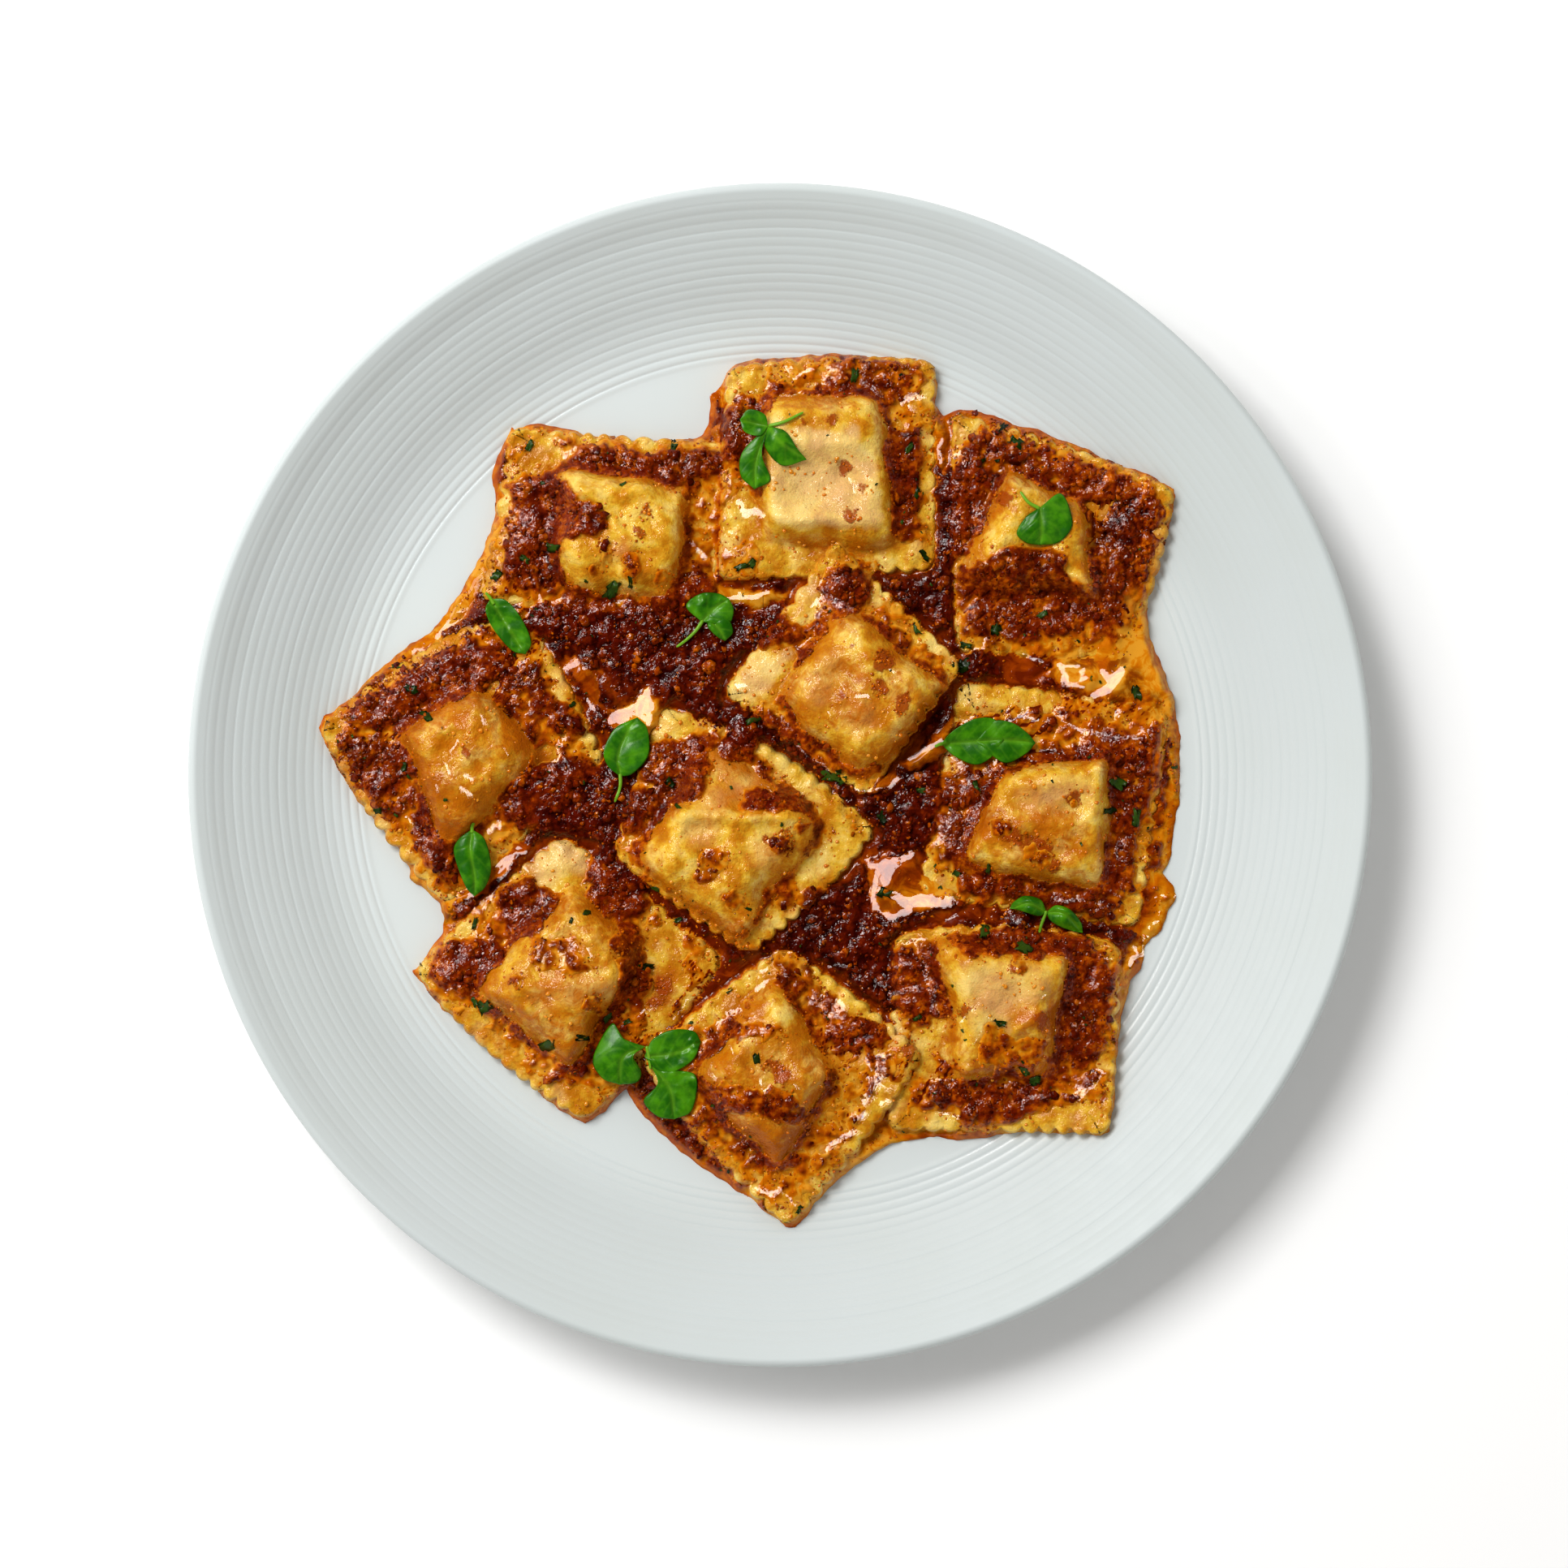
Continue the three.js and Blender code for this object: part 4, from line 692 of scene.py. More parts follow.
# What lies on the ravioli, painted as outlines and as spots of (x, y, radius).
sauce = {
    # depth of the coat on flat edges, what the plate adds, on bare dough, what the very edge of a raviolo
    # takes away, in a thin coat and in clear liquid
    "cover": 0.32, "gap": 0.6, "bare": -1.5, "edgeThin": 1.1, "thin": 0.1, "clear": -0.3,
    "tucked": 0.7,  # how far the coat stays inside its outline
    "edgeHeight": 1.5, "bodyHeight": 1.6,  # how high its body stands at the edge, and what it gains inside
    "lumps": 0.6, "coarse": 0.75, "fine": 0.4,  # height of the mince's lumps and crumbs
    "lumpSize": 6.5, "coarseSize": 3.3, "fineSize": 1.6,
    "swell": 0.7, "swellSize": 8,  # how unevenly the pools stand
    "stripBelow": 9,  # a pool lower than this is a strip of liquid along the edge
    "film": 0.8,  # reach of the oil film that evens out the crumbs
    # the outer edge of everything on the plate, clockwise from the top left
    "edge": [
        (-18.5, 92), (-18.3, 97), (-15, 101), (-12, 105), (-6, 106.7), (2, 106.8), (8, 107.8), (15, 108.2),
        (20, 107.2), (27, 106.6), (35, 106.3), (39.5, 105), (40.6, 100), (40.2, 95), (42, 92.5), (46, 94.2),
        (52, 93.3), (57, 91.8), (60, 90), (66, 88.8), (71, 86.5), (78, 84), (82, 81.5), (88, 78.8),
        (94, 77.3), (97, 75), (101, 73.5), (101.5, 71), (100.5, 66), (99, 61), (97, 57), (95.5, 53),
        (94.5, 47), (94.2, 42), (95, 36), (98, 29), (100.2, 22), (102, 15), (103.2, 10), (102.6, 4),
        (103, -2), (102.5, -8), (101.6, -14), (101, -20), (100, -23), (98.5, -25), (101, -28), (102, -31),
        (99.5, -36), (98, -40), (94, -44), (93, -50), (90, -53), (89, -58), (87.5, -62), (87, -66),
        (86.4, -72), (85.7, -77), (86, -82), (85.5, -86), (84.5, -91), (82, -93), (76, -92), (70, -92.7),
        (64, -92), (58, -92.6), (50, -93.6), (45, -94), (40, -93.2), (34, -94), (29, -94.3), (24, -96.5),
        (20, -99.8), (15, -103.5), (12, -106.5), (9, -110), (7, -113.5), (4, -116.3), (1, -116),
        (-2, -113.4), (-8, -109.2), (-14, -105), (-20, -101), (-25, -97.3), (-30, -92.8), (-35, -88),
        (-38, -84), (-39.5, -81), (-42, -83), (-44.5, -86.5), (-50, -90), (-54, -87.4), (-60, -83),
        (-63, -79.5), (-67, -75), (-70, -70.2), (-73, -66), (-77, -65), (-82, -63), (-87, -60), (-90, -55.5),
        (-93.5, -52.5), (-94.6, -50), (-91.5, -48), (-89.5, -44), (-87, -40), (-86, -36.5), (-87, -33),
        (-90, -30), (-94.5, -26.5), (-95.5, -23), (-97.5, -19), (-100.5, -16), (-104.5, -11), (-108.5, -7),
        (-110.5, -3), (-113.5, 2), (-116, 7), (-118.8, 12), (-117, 15.5), (-112, 18.4), (-108, 21.4),
        (-106, 24.4), (-103, 27.2), (-99, 30.3), (-95, 33.3), (-90, 36), (-87, 40), (-83, 45), (-80.3, 50),
        (-77.5, 55), (-74.5, 60), (-73, 66), (-72.6, 70), (-74, 74), (-74, 78), (-72.6, 82), (-70.6, 86),
        (-69.5, 89.8), (-62, 90.4), (-55, 89.2), (-50, 87.7), (-44, 86.6), (-38, 85.6), (-30, 85.2),
        (-24, 85.6), (-20, 87.2), (-18.8, 90),
    ],
    # flat edges left bare or nearly so
    "bareShapes": [
        [(-4, 60), (28, 60), (28, 56), (12, 55), (4, 52), (-5, 51)],
        [(26, 57), (31, 58), (36, 60), (40, 56), (40, 52.5), (34, 51), (27, 52)],
        [(-13, 70), (-9, 71), (-4, 70), (-3, 62), (-4, 58), (-8, 60), (-14, 60)], (-14, 98, 2.6),
        (-7.5, 100, 2.4), (37.5, 75.5, 2.4), (38.2, 67, 2.0), (38.5, 87, 2.2), (38.8, 97, 2.0),
        (38.6, 104, 2.2), (47.5, 88, 3.4), (98.5, 71, 2.8), (87.5, 43, 2.2),
        [(56, 31), (62, 30), (68, 25), (66, 23), (58, 25)], [(77, 31), (83, 31), (86, 27), (80, 26)],
        (-67, 88, 3), (-60, 82, 3.4), (-64, 78.5, 2.2), [(-72, 73), (-68, 72), (-68, 66), (-71, 66)],
        (-49, 86.5, 2.4), (-34, 83.5, 2.0), [(-118, 12), (-113, 17), (-112, 12), (-116, 9)], (-55, 22, 2.4),
        (-50, 17, 1.8), (-46.5, 8, 3), (-59.5, 4, 2.6), (-57, 27, 2.2),
        [(-15, 21), (-13, 26), (-9, 31), (-3, 31.5), (3, 31), (3, 22), (-3, 21), (-9, 19.5), (-14, 18.5)],
        [(2, 39), (2, 46), (4, 51), (8, 52), (10, 48), (9, 42), (7, 38)], (25, 46, 1.8), (36, 37.5, 2.4),
        (40.5, 33.5, 2.6), (45, 29, 2.4), [(23, 5), (26, 9.5), (33, 11.5), (37, 9), (32, 5), (26, 3)],
        [(-7.5, 10), (-3, 9), (2, 6), (6, 2.5), (11, -1.5), (14, -7), (17, -12), (18.5, -15), (16.5, -16),
         (13, -13.5), (10, -9), (6, -6), (2, -2.5), (-1, 2), (-4, 5), (-7, 7)],
        [(-33, 9), (-30, 15), (-27, 19), (-24, 16), (-23, 12), (-27, 9), (-30, 7)], (-2, -37, 2.6),
        (-6, -41.5, 2.4),
        [(5, -28), (6, -22), (9, -19), (12, -17), (16, -16), (20, -17), (24, -13.5), (26, -15), (24, -20),
         (20, -23), (16, -28), (12, -27), (8, -29)],
        [(44, 14), (45, 24), (52, 25), (60, 24.5), (67, 22.5), (73, 20), (70, 18), (60, 18.5), (52, 18),
         (48, 15)], (83, -13, 2.0),
        [(30, -21), (35, -20), (39, -24), (45, -26), (46, -30), (41, -31), (37, -28), (31, -26)],
        (94, -15, 1.8), (93, -25, 1.8), (91, -33, 2.2), (89.5, -38, 2),
        [(-67, -24), (-63, -18), (-58, -16.5), (-53, -18), (-47, -17), (-47, -19), (-50, -21), (-49, -26),
         (-50, -30), (-57, -30), (-62, -27)], (-91, -51, 2.8), (-81, -40, 2.2), (-78, -63, 2.6),
        (-51, -84, 3.4), (-57, -81, 2.4),
        [(-33, -41), (-29, -38), (-25, -42), (-24, -46), (-28, -48), (-33, -46)],
        [(-33, -47), (-26, -48), (-24, -53), (-29, -60), (-34, -60), (-32, -54)],
        [(-19, -43), (-14, -44), (-14, -48.5), (-19, -49)], [(-34, -61), (-29, -61), (-29, -65), (-35, -66)],
        [(-27, -63), (-23, -58), (-18, -55), (-15, -50), (-9, -47), (-2, -46), (0, -50), (-4, -54),
         (-9, -57), (-12, -61), (-18, -63), (-23, -64)],
        [(8, -46), (12, -49), (17, -53), (21, -57), (26, -59.5), (31, -65), (33, -69), (28, -68), (24, -63),
         (18, -61), (15, -57), (11, -54), (8, -50)],
        [(27, -78), (32, -78), (33, -82), (30, -88), (26, -92), (21, -96), (17, -95), (22, -88), (24, -82)],
        (36.5, -68, 2.4), (37, -74, 2), (-8, -108, 2.4), (0, -114, 2.4),
        [(27, -89), (30, -91), (34, -86), (38, -87), (44, -88), (45, -92), (36, -92), (27, -92)],
        [(56, -92), (60, -88.5), (70, -86), (78, -84), (83, -86), (84, -80), (86, -80), (86, -88), (83, -93),
         (70, -92.5)],
        [(30, -41.5), (35, -38.5), (42, -35), (49, -33), (50, -35), (44, -37), (37, -39.5), (32, -42)],
        [(50, -36), (58, -38), (58, -36), (52, -34.5)],
        [(40, -62), (42, -63), (44, -70), (43, -73), (40, -68)], (84, -73, 2.2),
    ],
    # a thin coat that lets the dough's shape show
    "thinShapes": [
        [(-15, 79), (-9, 80), (-4, 79), (-3, 51), (-10, 49), (-16, 51), (-15, 60), (-14.5, 70)],
        [(30, 104), (40, 104), (40, 88), (36, 86), (30, 90), (28, 96)],
        [(-14, 104), (-2, 106), (10, 107), (12, 98), (0, 97), (-6, 98), (-12, 103)],
        [(78, 70), (84, 70), (84, 58), (79, 58)],
        [(50, 36), (76, 36), (84, 34), (84, 30), (60, 28), (48, 31)],
        [(-71, 89), (-45, 88), (-45, 82), (-56, 78), (-66, 78), (-70, 84)],
        [(-45, 86), (-20, 86), (-20, 83), (-45, 83)], [(-25, 79), (-15, 79), (-14, 60), (-24, 62)],
        [(24, 46), (30, 43), (38, 38), (47, 29), (44, 26), (38, 32), (30, 38), (22, 43)],
        [(74, 20), (100, 17), (100, 13), (90, 11), (80, 15)],
        [(93, -8), (97, -12), (96, -26), (94, -38), (88, -38), (90, -24), (92, -14)],
        [(-93, -50), (-83, -63), (-76, -65), (-78, -60), (-86, -54)],
        [(-62, -79), (-58, -84), (-50, -89), (-42, -83), (-40, -79), (-48, -77)],
        [(-38, -38), (-24, -38), (-16, -44), (-16, -50), (-24, -54), (-36, -52)],
        [(14, -70), (20, -72), (24, -76), (27, -86), (22, -94), (14, -98), (10, -93), (13, -84)],
        [(-18, -98), (-10, -104), (0, -112), (6, -110), (0, -104), (-10, -99)],
        [(40, -74), (46, -78), (60, -79), (48, -76), (43, -70)],
    ],
    # clear liquid with no mince in it
    "clearShapes": [
        [(95, 40), (97, 30), (99, 20), (101, 8), (98, -6), (98, -22), (106, -22), (106, 20), (98, 44)],
        [(90, -50), (87, -60), (85, -74), (84, -86), (88, -88), (92, -60), (94, -50)],
        [(-104, 24), (-98, 30), (-88, 36), (-80, 46), (-75, 56), (-72, 66), (-74, 70), (-82, 60), (-92, 44),
         (-104, 34)],
        [(-114, 0), (-104, -9), (-96, -18), (-88, -28), (-84, -36), (-88, -46), (-94, -40), (-100, -26),
         (-116, -4)],
        [(-14, -107), (-4, -113), (1, -116), (10, -107), (18, -98), (30, -93), (28, -98), (12, -112),
         (2, -122), (-8, -118)],
        [(-40, -84), (-36, -86), (-28, -95), (-18, -103), (-22, -106), (-34, -96), (-44, -88)],
        [(40, 106), (42, 92), (44, 84), (43, 76), (40, 80), (39, 92)],
    ],
    "thinStrips": [
        [(98, -22), (102, -28), (100, -36), (97, -42), (92, -47), (89, -44), (92, -34), (94, -24)],
    ],
    # mince heaped on pillows and flat edges: depth, then shapes
    "heaps": [
        (1.1, [[(-41, -47), (-36, -46), (-34, -52), (-36, -59), (-42, -56)]]),
        (0.7, [[(84, 66), (88, 74), (96, 74), (99, 68), (96, 60), (88, 60)]]),
        (1.0, [[(-16, 93), (-10, 94), (-5, 92), (-4, 84), (-5, 79), (-10, 79), (-15, 80)],
               [(27, 86), (33, 87), (36, 82), (36, 76), (34, 70), (35, 63), (31, 60), (29.5, 66), (28.5, 74),
                (26, 80)]]),
        (0.7, [[(12, 106), (20, 107), (30, 106), (36, 105), (36, 99), (28, 95), (20, 96.5), (12, 98)]]),
        (0.9, [[(46, 50), (50, 55), (56, 58.5), (66, 58.5), (73, 57.5), (74, 52), (78, 48), (78, 45),
                (70, 44), (58, 44), (46, 46)]]),
        (0.9, [[(48, 88), (60, 86), (74, 82), (88, 76), (95, 71), (92, 66), (80, 70), (66, 78), (56, 80),
                (47, 80)], [(80, 64), (90, 66), (96, 60), (93, 48), (89, 37), (80, 36), (80, 44), (83, 54)],
               [(48, 36), (60, 35), (74, 36), (80, 40), (76, 44), (60, 42), (47, 46)]]),
        (1.4, [[(84, 66), (90, 70), (96, 68), (97, 62), (94, 58), (88, 57), (83, 59)],
               [(41, 76), (48, 80), (54, 77), (50, 68), (46, 58), (42, 50), (39, 52), (41, 62)]]),
        (1.6, [[(-62, 43), (-48, 44), (-36, 43), (-28, 46), (-20, 52), (-16, 48), (-16, 36), (-10, 33),
                (-4, 38), (0, 43), (2, 38), (3, 34), (-6, 33), (-14, 30), (-16, 22), (-22, 18), (-30, 22),
                (-34, 28), (-44, 33), (-56, 34), (-66, 38)]]),
        (1.2, [[(-70, 74), (-60, 76), (-54, 75), (-50, 70), (-45, 68), (-43, 63), (-46, 60), (-54, 60),
                (-56, 56), (-56, 50), (-62, 48), (-70, 50), (-70, 58), (-68, 66)]]),
        (0.4, [(-44, 57, 3.2), (-37, 53, 4), (-30, 50, 3), (-47, 51, 2.4)]),
        (1.0, [[(-54, 85), (-46, 84), (-30, 82.5), (-16, 83), (-15, 77), (-25, 75.5), (-40, 76.5),
                (-52, 79.5)]]),
        (1.2, [[(-100, 22), (-90, 28), (-80, 34), (-70, 30), (-66, 22), (-60, 14), (-52, 10), (-50, 14),
                (-58, 20), (-64, 24), (-74, 24), (-80, 23), (-92, 18), (-100, 12), (-112, 12), (-108, 20)]]),
        (1.0, [[(-114, 10), (-100, 8), (-96, 4), (-98, -6), (-104, -8), (-110, 0)],
               [(-92, -6), (-94, -14), (-90, -22), (-84, -26), (-84, -20), (-88, -14)]]),
        (2.0, [[(-68, -2), (-62, 2), (-56, 4), (-48, 2), (-38, -2), (-32, -8), (-36, -13), (-46, -14),
                (-58, -14), (-66, -13), (-70, -8)]]),
        (0.9, [[(-33, 8), (-26, 9), (-18, 8), (-17, 2), (-19, -5), (-22, -8), (-30, -8), (-31, -2), (-36, 0),
                (-38, 4)]]),
        (1.0, [[(-12, 17), (-4, 16), (4, 12), (9, 6), (14, 0), (10, 0), (4, 5), (-2, 9), (-8, 12)],
               [(-9, -3), (-2, -3), (5, -5), (9, -7), (6, -9.5), (-4, -10), (-10, -9.5)]]),
        (1.8, [(-10, 8.5, 3.8), (50, 27, 3.4),
               [(11, 46), (14, 51), (20, 52), (23, 48), (20, 43.5), (15, 44)]]),
        (0.5, [(-17, -22, 4.6), (-12, -32, 3.4), (-20, -26, 2.5), (5, -13.5, 2.4)]),
        (0.9, [(0, -17.5, 3.2)]),
        (1.6, [[(24, -2), (32, 2), (40, 2), (42, -6), (38, -15), (28, -15), (24, -10)],
               [(6, -30), (14, -28), (20, -28), (24, -36), (28, -40), (24, -46), (16, -48), (10, -44),
                (6, -38)]]),
        (1.0, [[(66, 6), (76, 7), (82, 8), (79, 5), (70, 4.4), (62, 5)],
               [(46, -25), (54, -26), (64, -28), (76, -31), (86, -33), (84, -37), (70, -34), (58, -31),
                (46, -30)]]),
        (0.8, [[(84, 10), (96, 12), (98, 4), (96, -6), (92, -14), (90, -28), (84, -30), (84, -20), (86, -10),
                (84, -2)],
               [(42, 0), (50, 2), (54, -2), (50, -10), (47, -18), (42, -22), (40, -14), (42, -6)]]),
        (0.5, [[(52, -11), (57, -10), (60, -11), (60, -14), (57, -18), (53, -17)],
               [(61, -18), (65, -17), (70, -20), (72, -22.5), (66, -24), (62, -22)], (75, -6, 2.0)]),
        (0.5, [[(-63, -41), (-58, -41), (-52, -41), (-49, -46), (-46, -50), (-54, -51), (-60, -50),
                (-65, -47)], (-48, -58, 3.2), (-67, -52, 2.6)]), (0.8, [(-40, -43, 3.6)]),
        (1.3, [[(-60, -29), (-58, -33), (-60, -38), (-63, -42), (-70, -40), (-72, -30), (-66, -27)],
               [(-46, -21), (-40, -24), (-34, -26), (-34, -34), (-40, -36), (-46, -32), (-50, -27)],
               [(-88, -44), (-80, -42), (-72, -44), (-72, -48), (-78, -53), (-82, -56), (-90, -52)]]),
        (0.5, [[(-14, -64), (-6, -61), (0, -63), (4, -66), (-4, -68), (-12, -68)],
               [(-20, -64), (-12, -65), (-16, -70), (-22, -72), (-30, -70), (-30, -66)],
               [(0, -46), (5, -45), (8, -50), (8, -55), (2, -53), (-2, -51)]]),
        (0.7, [[(-20, -78), (-12, -78), (-4, -79), (4, -80), (8, -86), (4, -90), (-6, -87), (-14, -87),
                (-20, -84)]]), (0.9, [[(13, -63), (20, -61), (27, -63), (29, -68), (22, -70), (14, -70)]]),
        (1.3, [[(43, -43), (50, -40), (60, -39), (72, -40), (80, -42), (78, -46), (70, -45), (66, -47.5),
                (60, -46), (54, -46), (48, -47.5)]]), (0.3, [(61, -49, 2.6), (54, -65, 3.0)]),
        (0.4, [[(50, -66), (58, -65.5), (66, -66), (70, -66), (70, -74), (64, -77), (54, -76), (49, -73)]]),
        (1.1, [[(74, -44), (84, -48), (85, -58), (82, -68), (78, -74), (72, -72), (71.5, -62),
                (73.5, -54)]]),
        (0.9, [[(36, -79), (46, -79), (56, -80), (68, -79), (70, -84), (64, -87), (52, -90), (46, -90),
                (46, -85), (38, -84)],
               [(28, -44), (38, -44), (40, -52), (41, -60), (36, -64), (28, -60), (26, -52)]]),
    ],
    # rounded swells of the liquid: height, width and a line or point
    "swells": [
        (1.9, 3.0, [(-33, 13), (-30, 20)]), (1.3, 2.0, [(-41, 10), (-36, 12)]),
        (1.6, 2.2, [(-52, 25), (-48, 30)]), (1.9, 2.6, [(26, -31), (30, -25), (35, -21)]),
        (1.3, 1.8, [(28, -36), (36, -34), (44, -32)]), (1.2, 1.6, [(23, -39), (30, -37)]),
        (1.3, 1.7, [(22, -5), (29, -2)]), (1.4, 1.9, [(42, -16), (46, -9), (50, 1)]),
        (1.0, 1.5, [(57, -39), (64, -39)]), (1.6, 2.3, [(10, -58), (15, -62)]),
        (1.3, 1.9, [(-10, 65), (-3, 67)]), (1.2, 1.8, [(-18, 66), (-17, 70)]),
        (1.4, 2.0, [(34, 94), (38, 90)]), (1.6, 2.2, [(74, 22), (79, 24)]), (1.7, 2.3, [(84, 20), (89, 25)]),
        (1.3, 1.7, [(71, 16), (78, 11), (86, 8), (95, 11)]), (1.3, 1.8, [(34, 3), (40, 8), (45, 16)]),
        (1.4, 2.0, [(20, -6), (26, -4), (32, -2)]), (1.5, 2.0, [(8, 46), (13, 42), (18, 43)]),
        (1.3, 1.8, [(-8, 46), (-2, 46.5)]), (1.5, 2.1, [(77, -82), (82, -78)]),
        (1.4, 2.0, [(-12, -64), (-9, -60)]), (1.4, 2.0, [(14, -76), (18, -82), (26, -90)]),
        (1.3, 1.8, [(-7, -107), (0, -109)]), (1.5, 2.0, [(-84, -34), (-78, -31)]),
        (1.4, 1.9, [(-71, -26), (-65, -20)]), (1.3, 1.8, [(97, 26), (100, 18)]),
        (1.3, 1.8, [(89, -58), (91, -50)]),
    ],
    # liquid that leans to the upper left and so catches the light: half width and a line
    "glints": [
        (1.3, [(27, -27), (28.5, -23), (30.5, -20.8), (33, -20.5)]),
        (0.6, [(24, -31), (24.5, -27), (26.5, -22)]),
        (1.5, [(29.5, -31), (32, -32.5), (36, -32), (40, -33), (43.5, -32.3)]),
        (1.0, [(24, -32), (25, -36), (29, -36.5), (33, -34.5)]),
        (0.35, [(20, -39), (25, -39), (31, -37.3), (37, -34.8), (41, -34.5)]),
        (0.55, [(18, -3), (20.5, -4.5), (24, -3.6), (27, -3.8), (31, -0.3)]),
        (0.8, [(33, 4.2), (36, 6), (39, 7.5), (41, 8.5)]), (0.5, [(40, 10.5), (42, 14), (43.5, 18)]),
        (0.7, [(47.5, -4), (49, -1), (52, 1), (55.5, 2.8)]),
        (1.1, [(41, -16.5), (42, -12.5), (44, -10), (45.5, -9.5)]), (0.8, [(43, -18), (45, -16.5)]),
        (0.4, [(56, -38.3), (60, -38), (65, -38.8)]), (1.8, [(9.5, -57), (12, -58.5), (15.5, -59)]),
        (1.0, [(12, -61.3), (16, -60.8)]), (1.0, [(-6, -55), (-3.5, -52.5)]),
        (0.8, [(-5, -50.2), (-3, -49.5)]), (0.8, [(24, -52.5), (26.5, -54), (26.5, -51.5)]),
        (0.45, [(10.5, -41.5), (10.2, -44)]), (0.6, [(12.5, -49), (15, -48), (17, -48.8)]),
        (0.5, [(31, -43.5), (34, -42), (37, -42)]), (0.5, [(29, -49), (31, -48.3), (33, -48)]),
        (0.9, [(36.5, -48.5), (38, -52), (38.8, -56), (39.5, -60)]),
        (0.7, [(29, -55.5), (32, -55), (35, -54.5)]), (0.6, [(32.5, -57.5), (34, -57)]),
        (0.5, [(6.5, -32.5), (9, -31.3), (12, -30.8)]), (0.5, [(-7, 2), (-5, -0.5)]),
        (0.35, [(-5, -2.5), (-3, -3), (-1.5, -5.5)]), (0.9, [(71.5, 28.2), (73, 25.5), (72.5, 24)]),
        (0.5, [(73, 28), (76, 27.8)]), (0.6, [(72.5, 23.2), (77.5, 22.4)]),
        (0.9, [(82.5, 26.5), (83.5, 24.5), (87.5, 26.5)]), (1.0, [(80.5, 20.5), (83.5, 22), (86, 24)]),
        (0.5, [(69.5, 17.5), (72.5, 14), (75.5, 11.8), (79, 11)]),
        (0.7, [(79, 11), (83, 9.6), (87, 9.2), (91, 10), (94.5, 10.5)]), (0.5, [(94, 11), (95, 13)]),
        (0.5, [(62, 31), (64, 30), (67, 29)]), (0.5, [(61.5, 18.5), (61.8, 15.5), (60, 14.2)]),
        (0.5, [(62, 14.8), (66, 14.2)]), (0.5, [(45, 33.5), (47, 32.5), (49, 33)]),
        (0.4, [(52.5, 35), (51.8, 32)]), (0.5, [(56, 37), (59, 35.5)]), (0.6, [(32, 64), (33.5, 64.5)]),
        (2.0, [(-35, 20), (-34, 17.5)]), (0.9, [(-37, 18), (-39, 16.5), (-42, 14.6), (-45, 13.2)]),
        (0.5, [(-45, 13.5), (-48, 17), (-49.5, 19.5)]), (0.8, [(-33, 15), (-33.5, 13)]),
        (0.5, [(-33.5, 23), (-32.5, 21)]), (0.5, [(-50, 27), (-48, 30.5)]),
        (0.7, [(-13.5, 45), (-11, 45.2), (-7, 45.4), (-3, 46.6)]),
        (1.1, [(8.5, 43.5), (11, 45.5), (14, 44), (18, 42)]), (0.6, [(10.5, 49.5), (10.8, 46.5)]),
        (0.8, [(-22.5, 59.5), (-21, 57), (-19.5, 55.5)]), (0.7, [(-14.5, 56), (-13, 57), (-10, 57)]),
        (1.1, [(-11, 22.5), (-9, 22.8)]), (0.6, [(-6, 28), (-5, 29)]), (0.5, [(-3, 30.8), (-1.5, 30.5)]),
        (0.4, [(8.5, 4), (11, 3), (12.5, 1)]), (0.4, [(0.5, 14.5), (2, 12.5)]),
        (0.4, [(4.5, 7.5), (7, 4.5)]), (0.5, [(-18.5, 11.5), (-16, 9.8)]),
        (0.4, [(-43.5, 44), (-41, 44.5), (-38.5, 44.5)]), (0.4, [(-35.5, 42), (-33, 43)]),
        (0.5, [(-25, 36), (-23.5, 36)]), (0.7, [(27.5, 26.8), (29, 26)]), (0.5, [(15, 23.5), (16.5, 21.5)]),
        (0.9, [(19.5, 20), (22, 20)]), (0.5, [(7, 22), (8, 23.5)]), (0.5, [(12, 16), (13, 14.5)]),
        (1.3, [(-10.5, 69.5), (-9, 66.5), (-6, 67.5), (-4.5, 66)]), (0.6, [(-13, 62), (-12, 61)]),
        (1.1, [(31.5, 95.5), (33, 96.5), (36.5, 97)]), (0.8, [(33, 94), (34, 93)]),
        (0.9, [(24, 98.5), (25, 97.5), (26, 97)]), (0.5, [(24.5, 101), (26, 102)]),
        (0.6, [(41.2, 85.5), (40.8, 83), (41, 80)]), (0.7, [(17.5, 75.5), (18.5, 73.5), (19, 71.5)]),
        (0.4, [(19.5, 75.5), (19.8, 73)]), (0.4, [(0, 96.7), (3, 96.5), (6, 97.5)]),
        (0.4, [(3, 101), (5, 102), (8, 103.5)]), (0.5, [(-12.5, 95.5), (-11.5, 95)]),
        (0.5, [(-8.5, 97.5), (-6.5, 98)]), (0.6, [(44, 81), (46, 82.3), (48, 83)]),
        (0.6, [(53, 86.5), (55, 85.5)]), (0.4, [(-14, 86.5), (-11, 86.3)]), (0.4, [(21, 104), (23, 105)]),
        (0.4, [(5, 55), (8, 56.5)]), (0.8, [(-83, -34.5), (-80.5, -33.2), (-78.3, -31)]),
        (0.6, [(-72, -27), (-70, -25), (-68.5, -21.5), (-65, -19.5)]), (0.8, [(-58.5, 1.5), (-57.5, 4)]),
        (0.4, [(-57, 6.5), (-56.8, 4.5)]), (0.4, [(-68, -3), (-66, 0), (-64.5, 1.5)]),
        (0.4, [(-62.5, -2.5), (-60, -1)]), (1.0, [(-81, -3), (-79, -5)]), (0.9, [(-80, 0), (-78, -1)]),
        (0.7, [(-85, 3), (-84, 0)]), (0.8, [(-84, 6), (-82, 8.5)]), (0.6, [(-76, 15), (-75.5, 13)]),
        (0.6, [(-87.5, -2.5), (-87, -4)]), (0.5, [(-70.5, 7), (-69.5, 5.5)]),
        (0.6, [(-74.5, -14.5), (-73, -13)]), (0.6, [(-72, -12), (-71.5, -13.5)]),
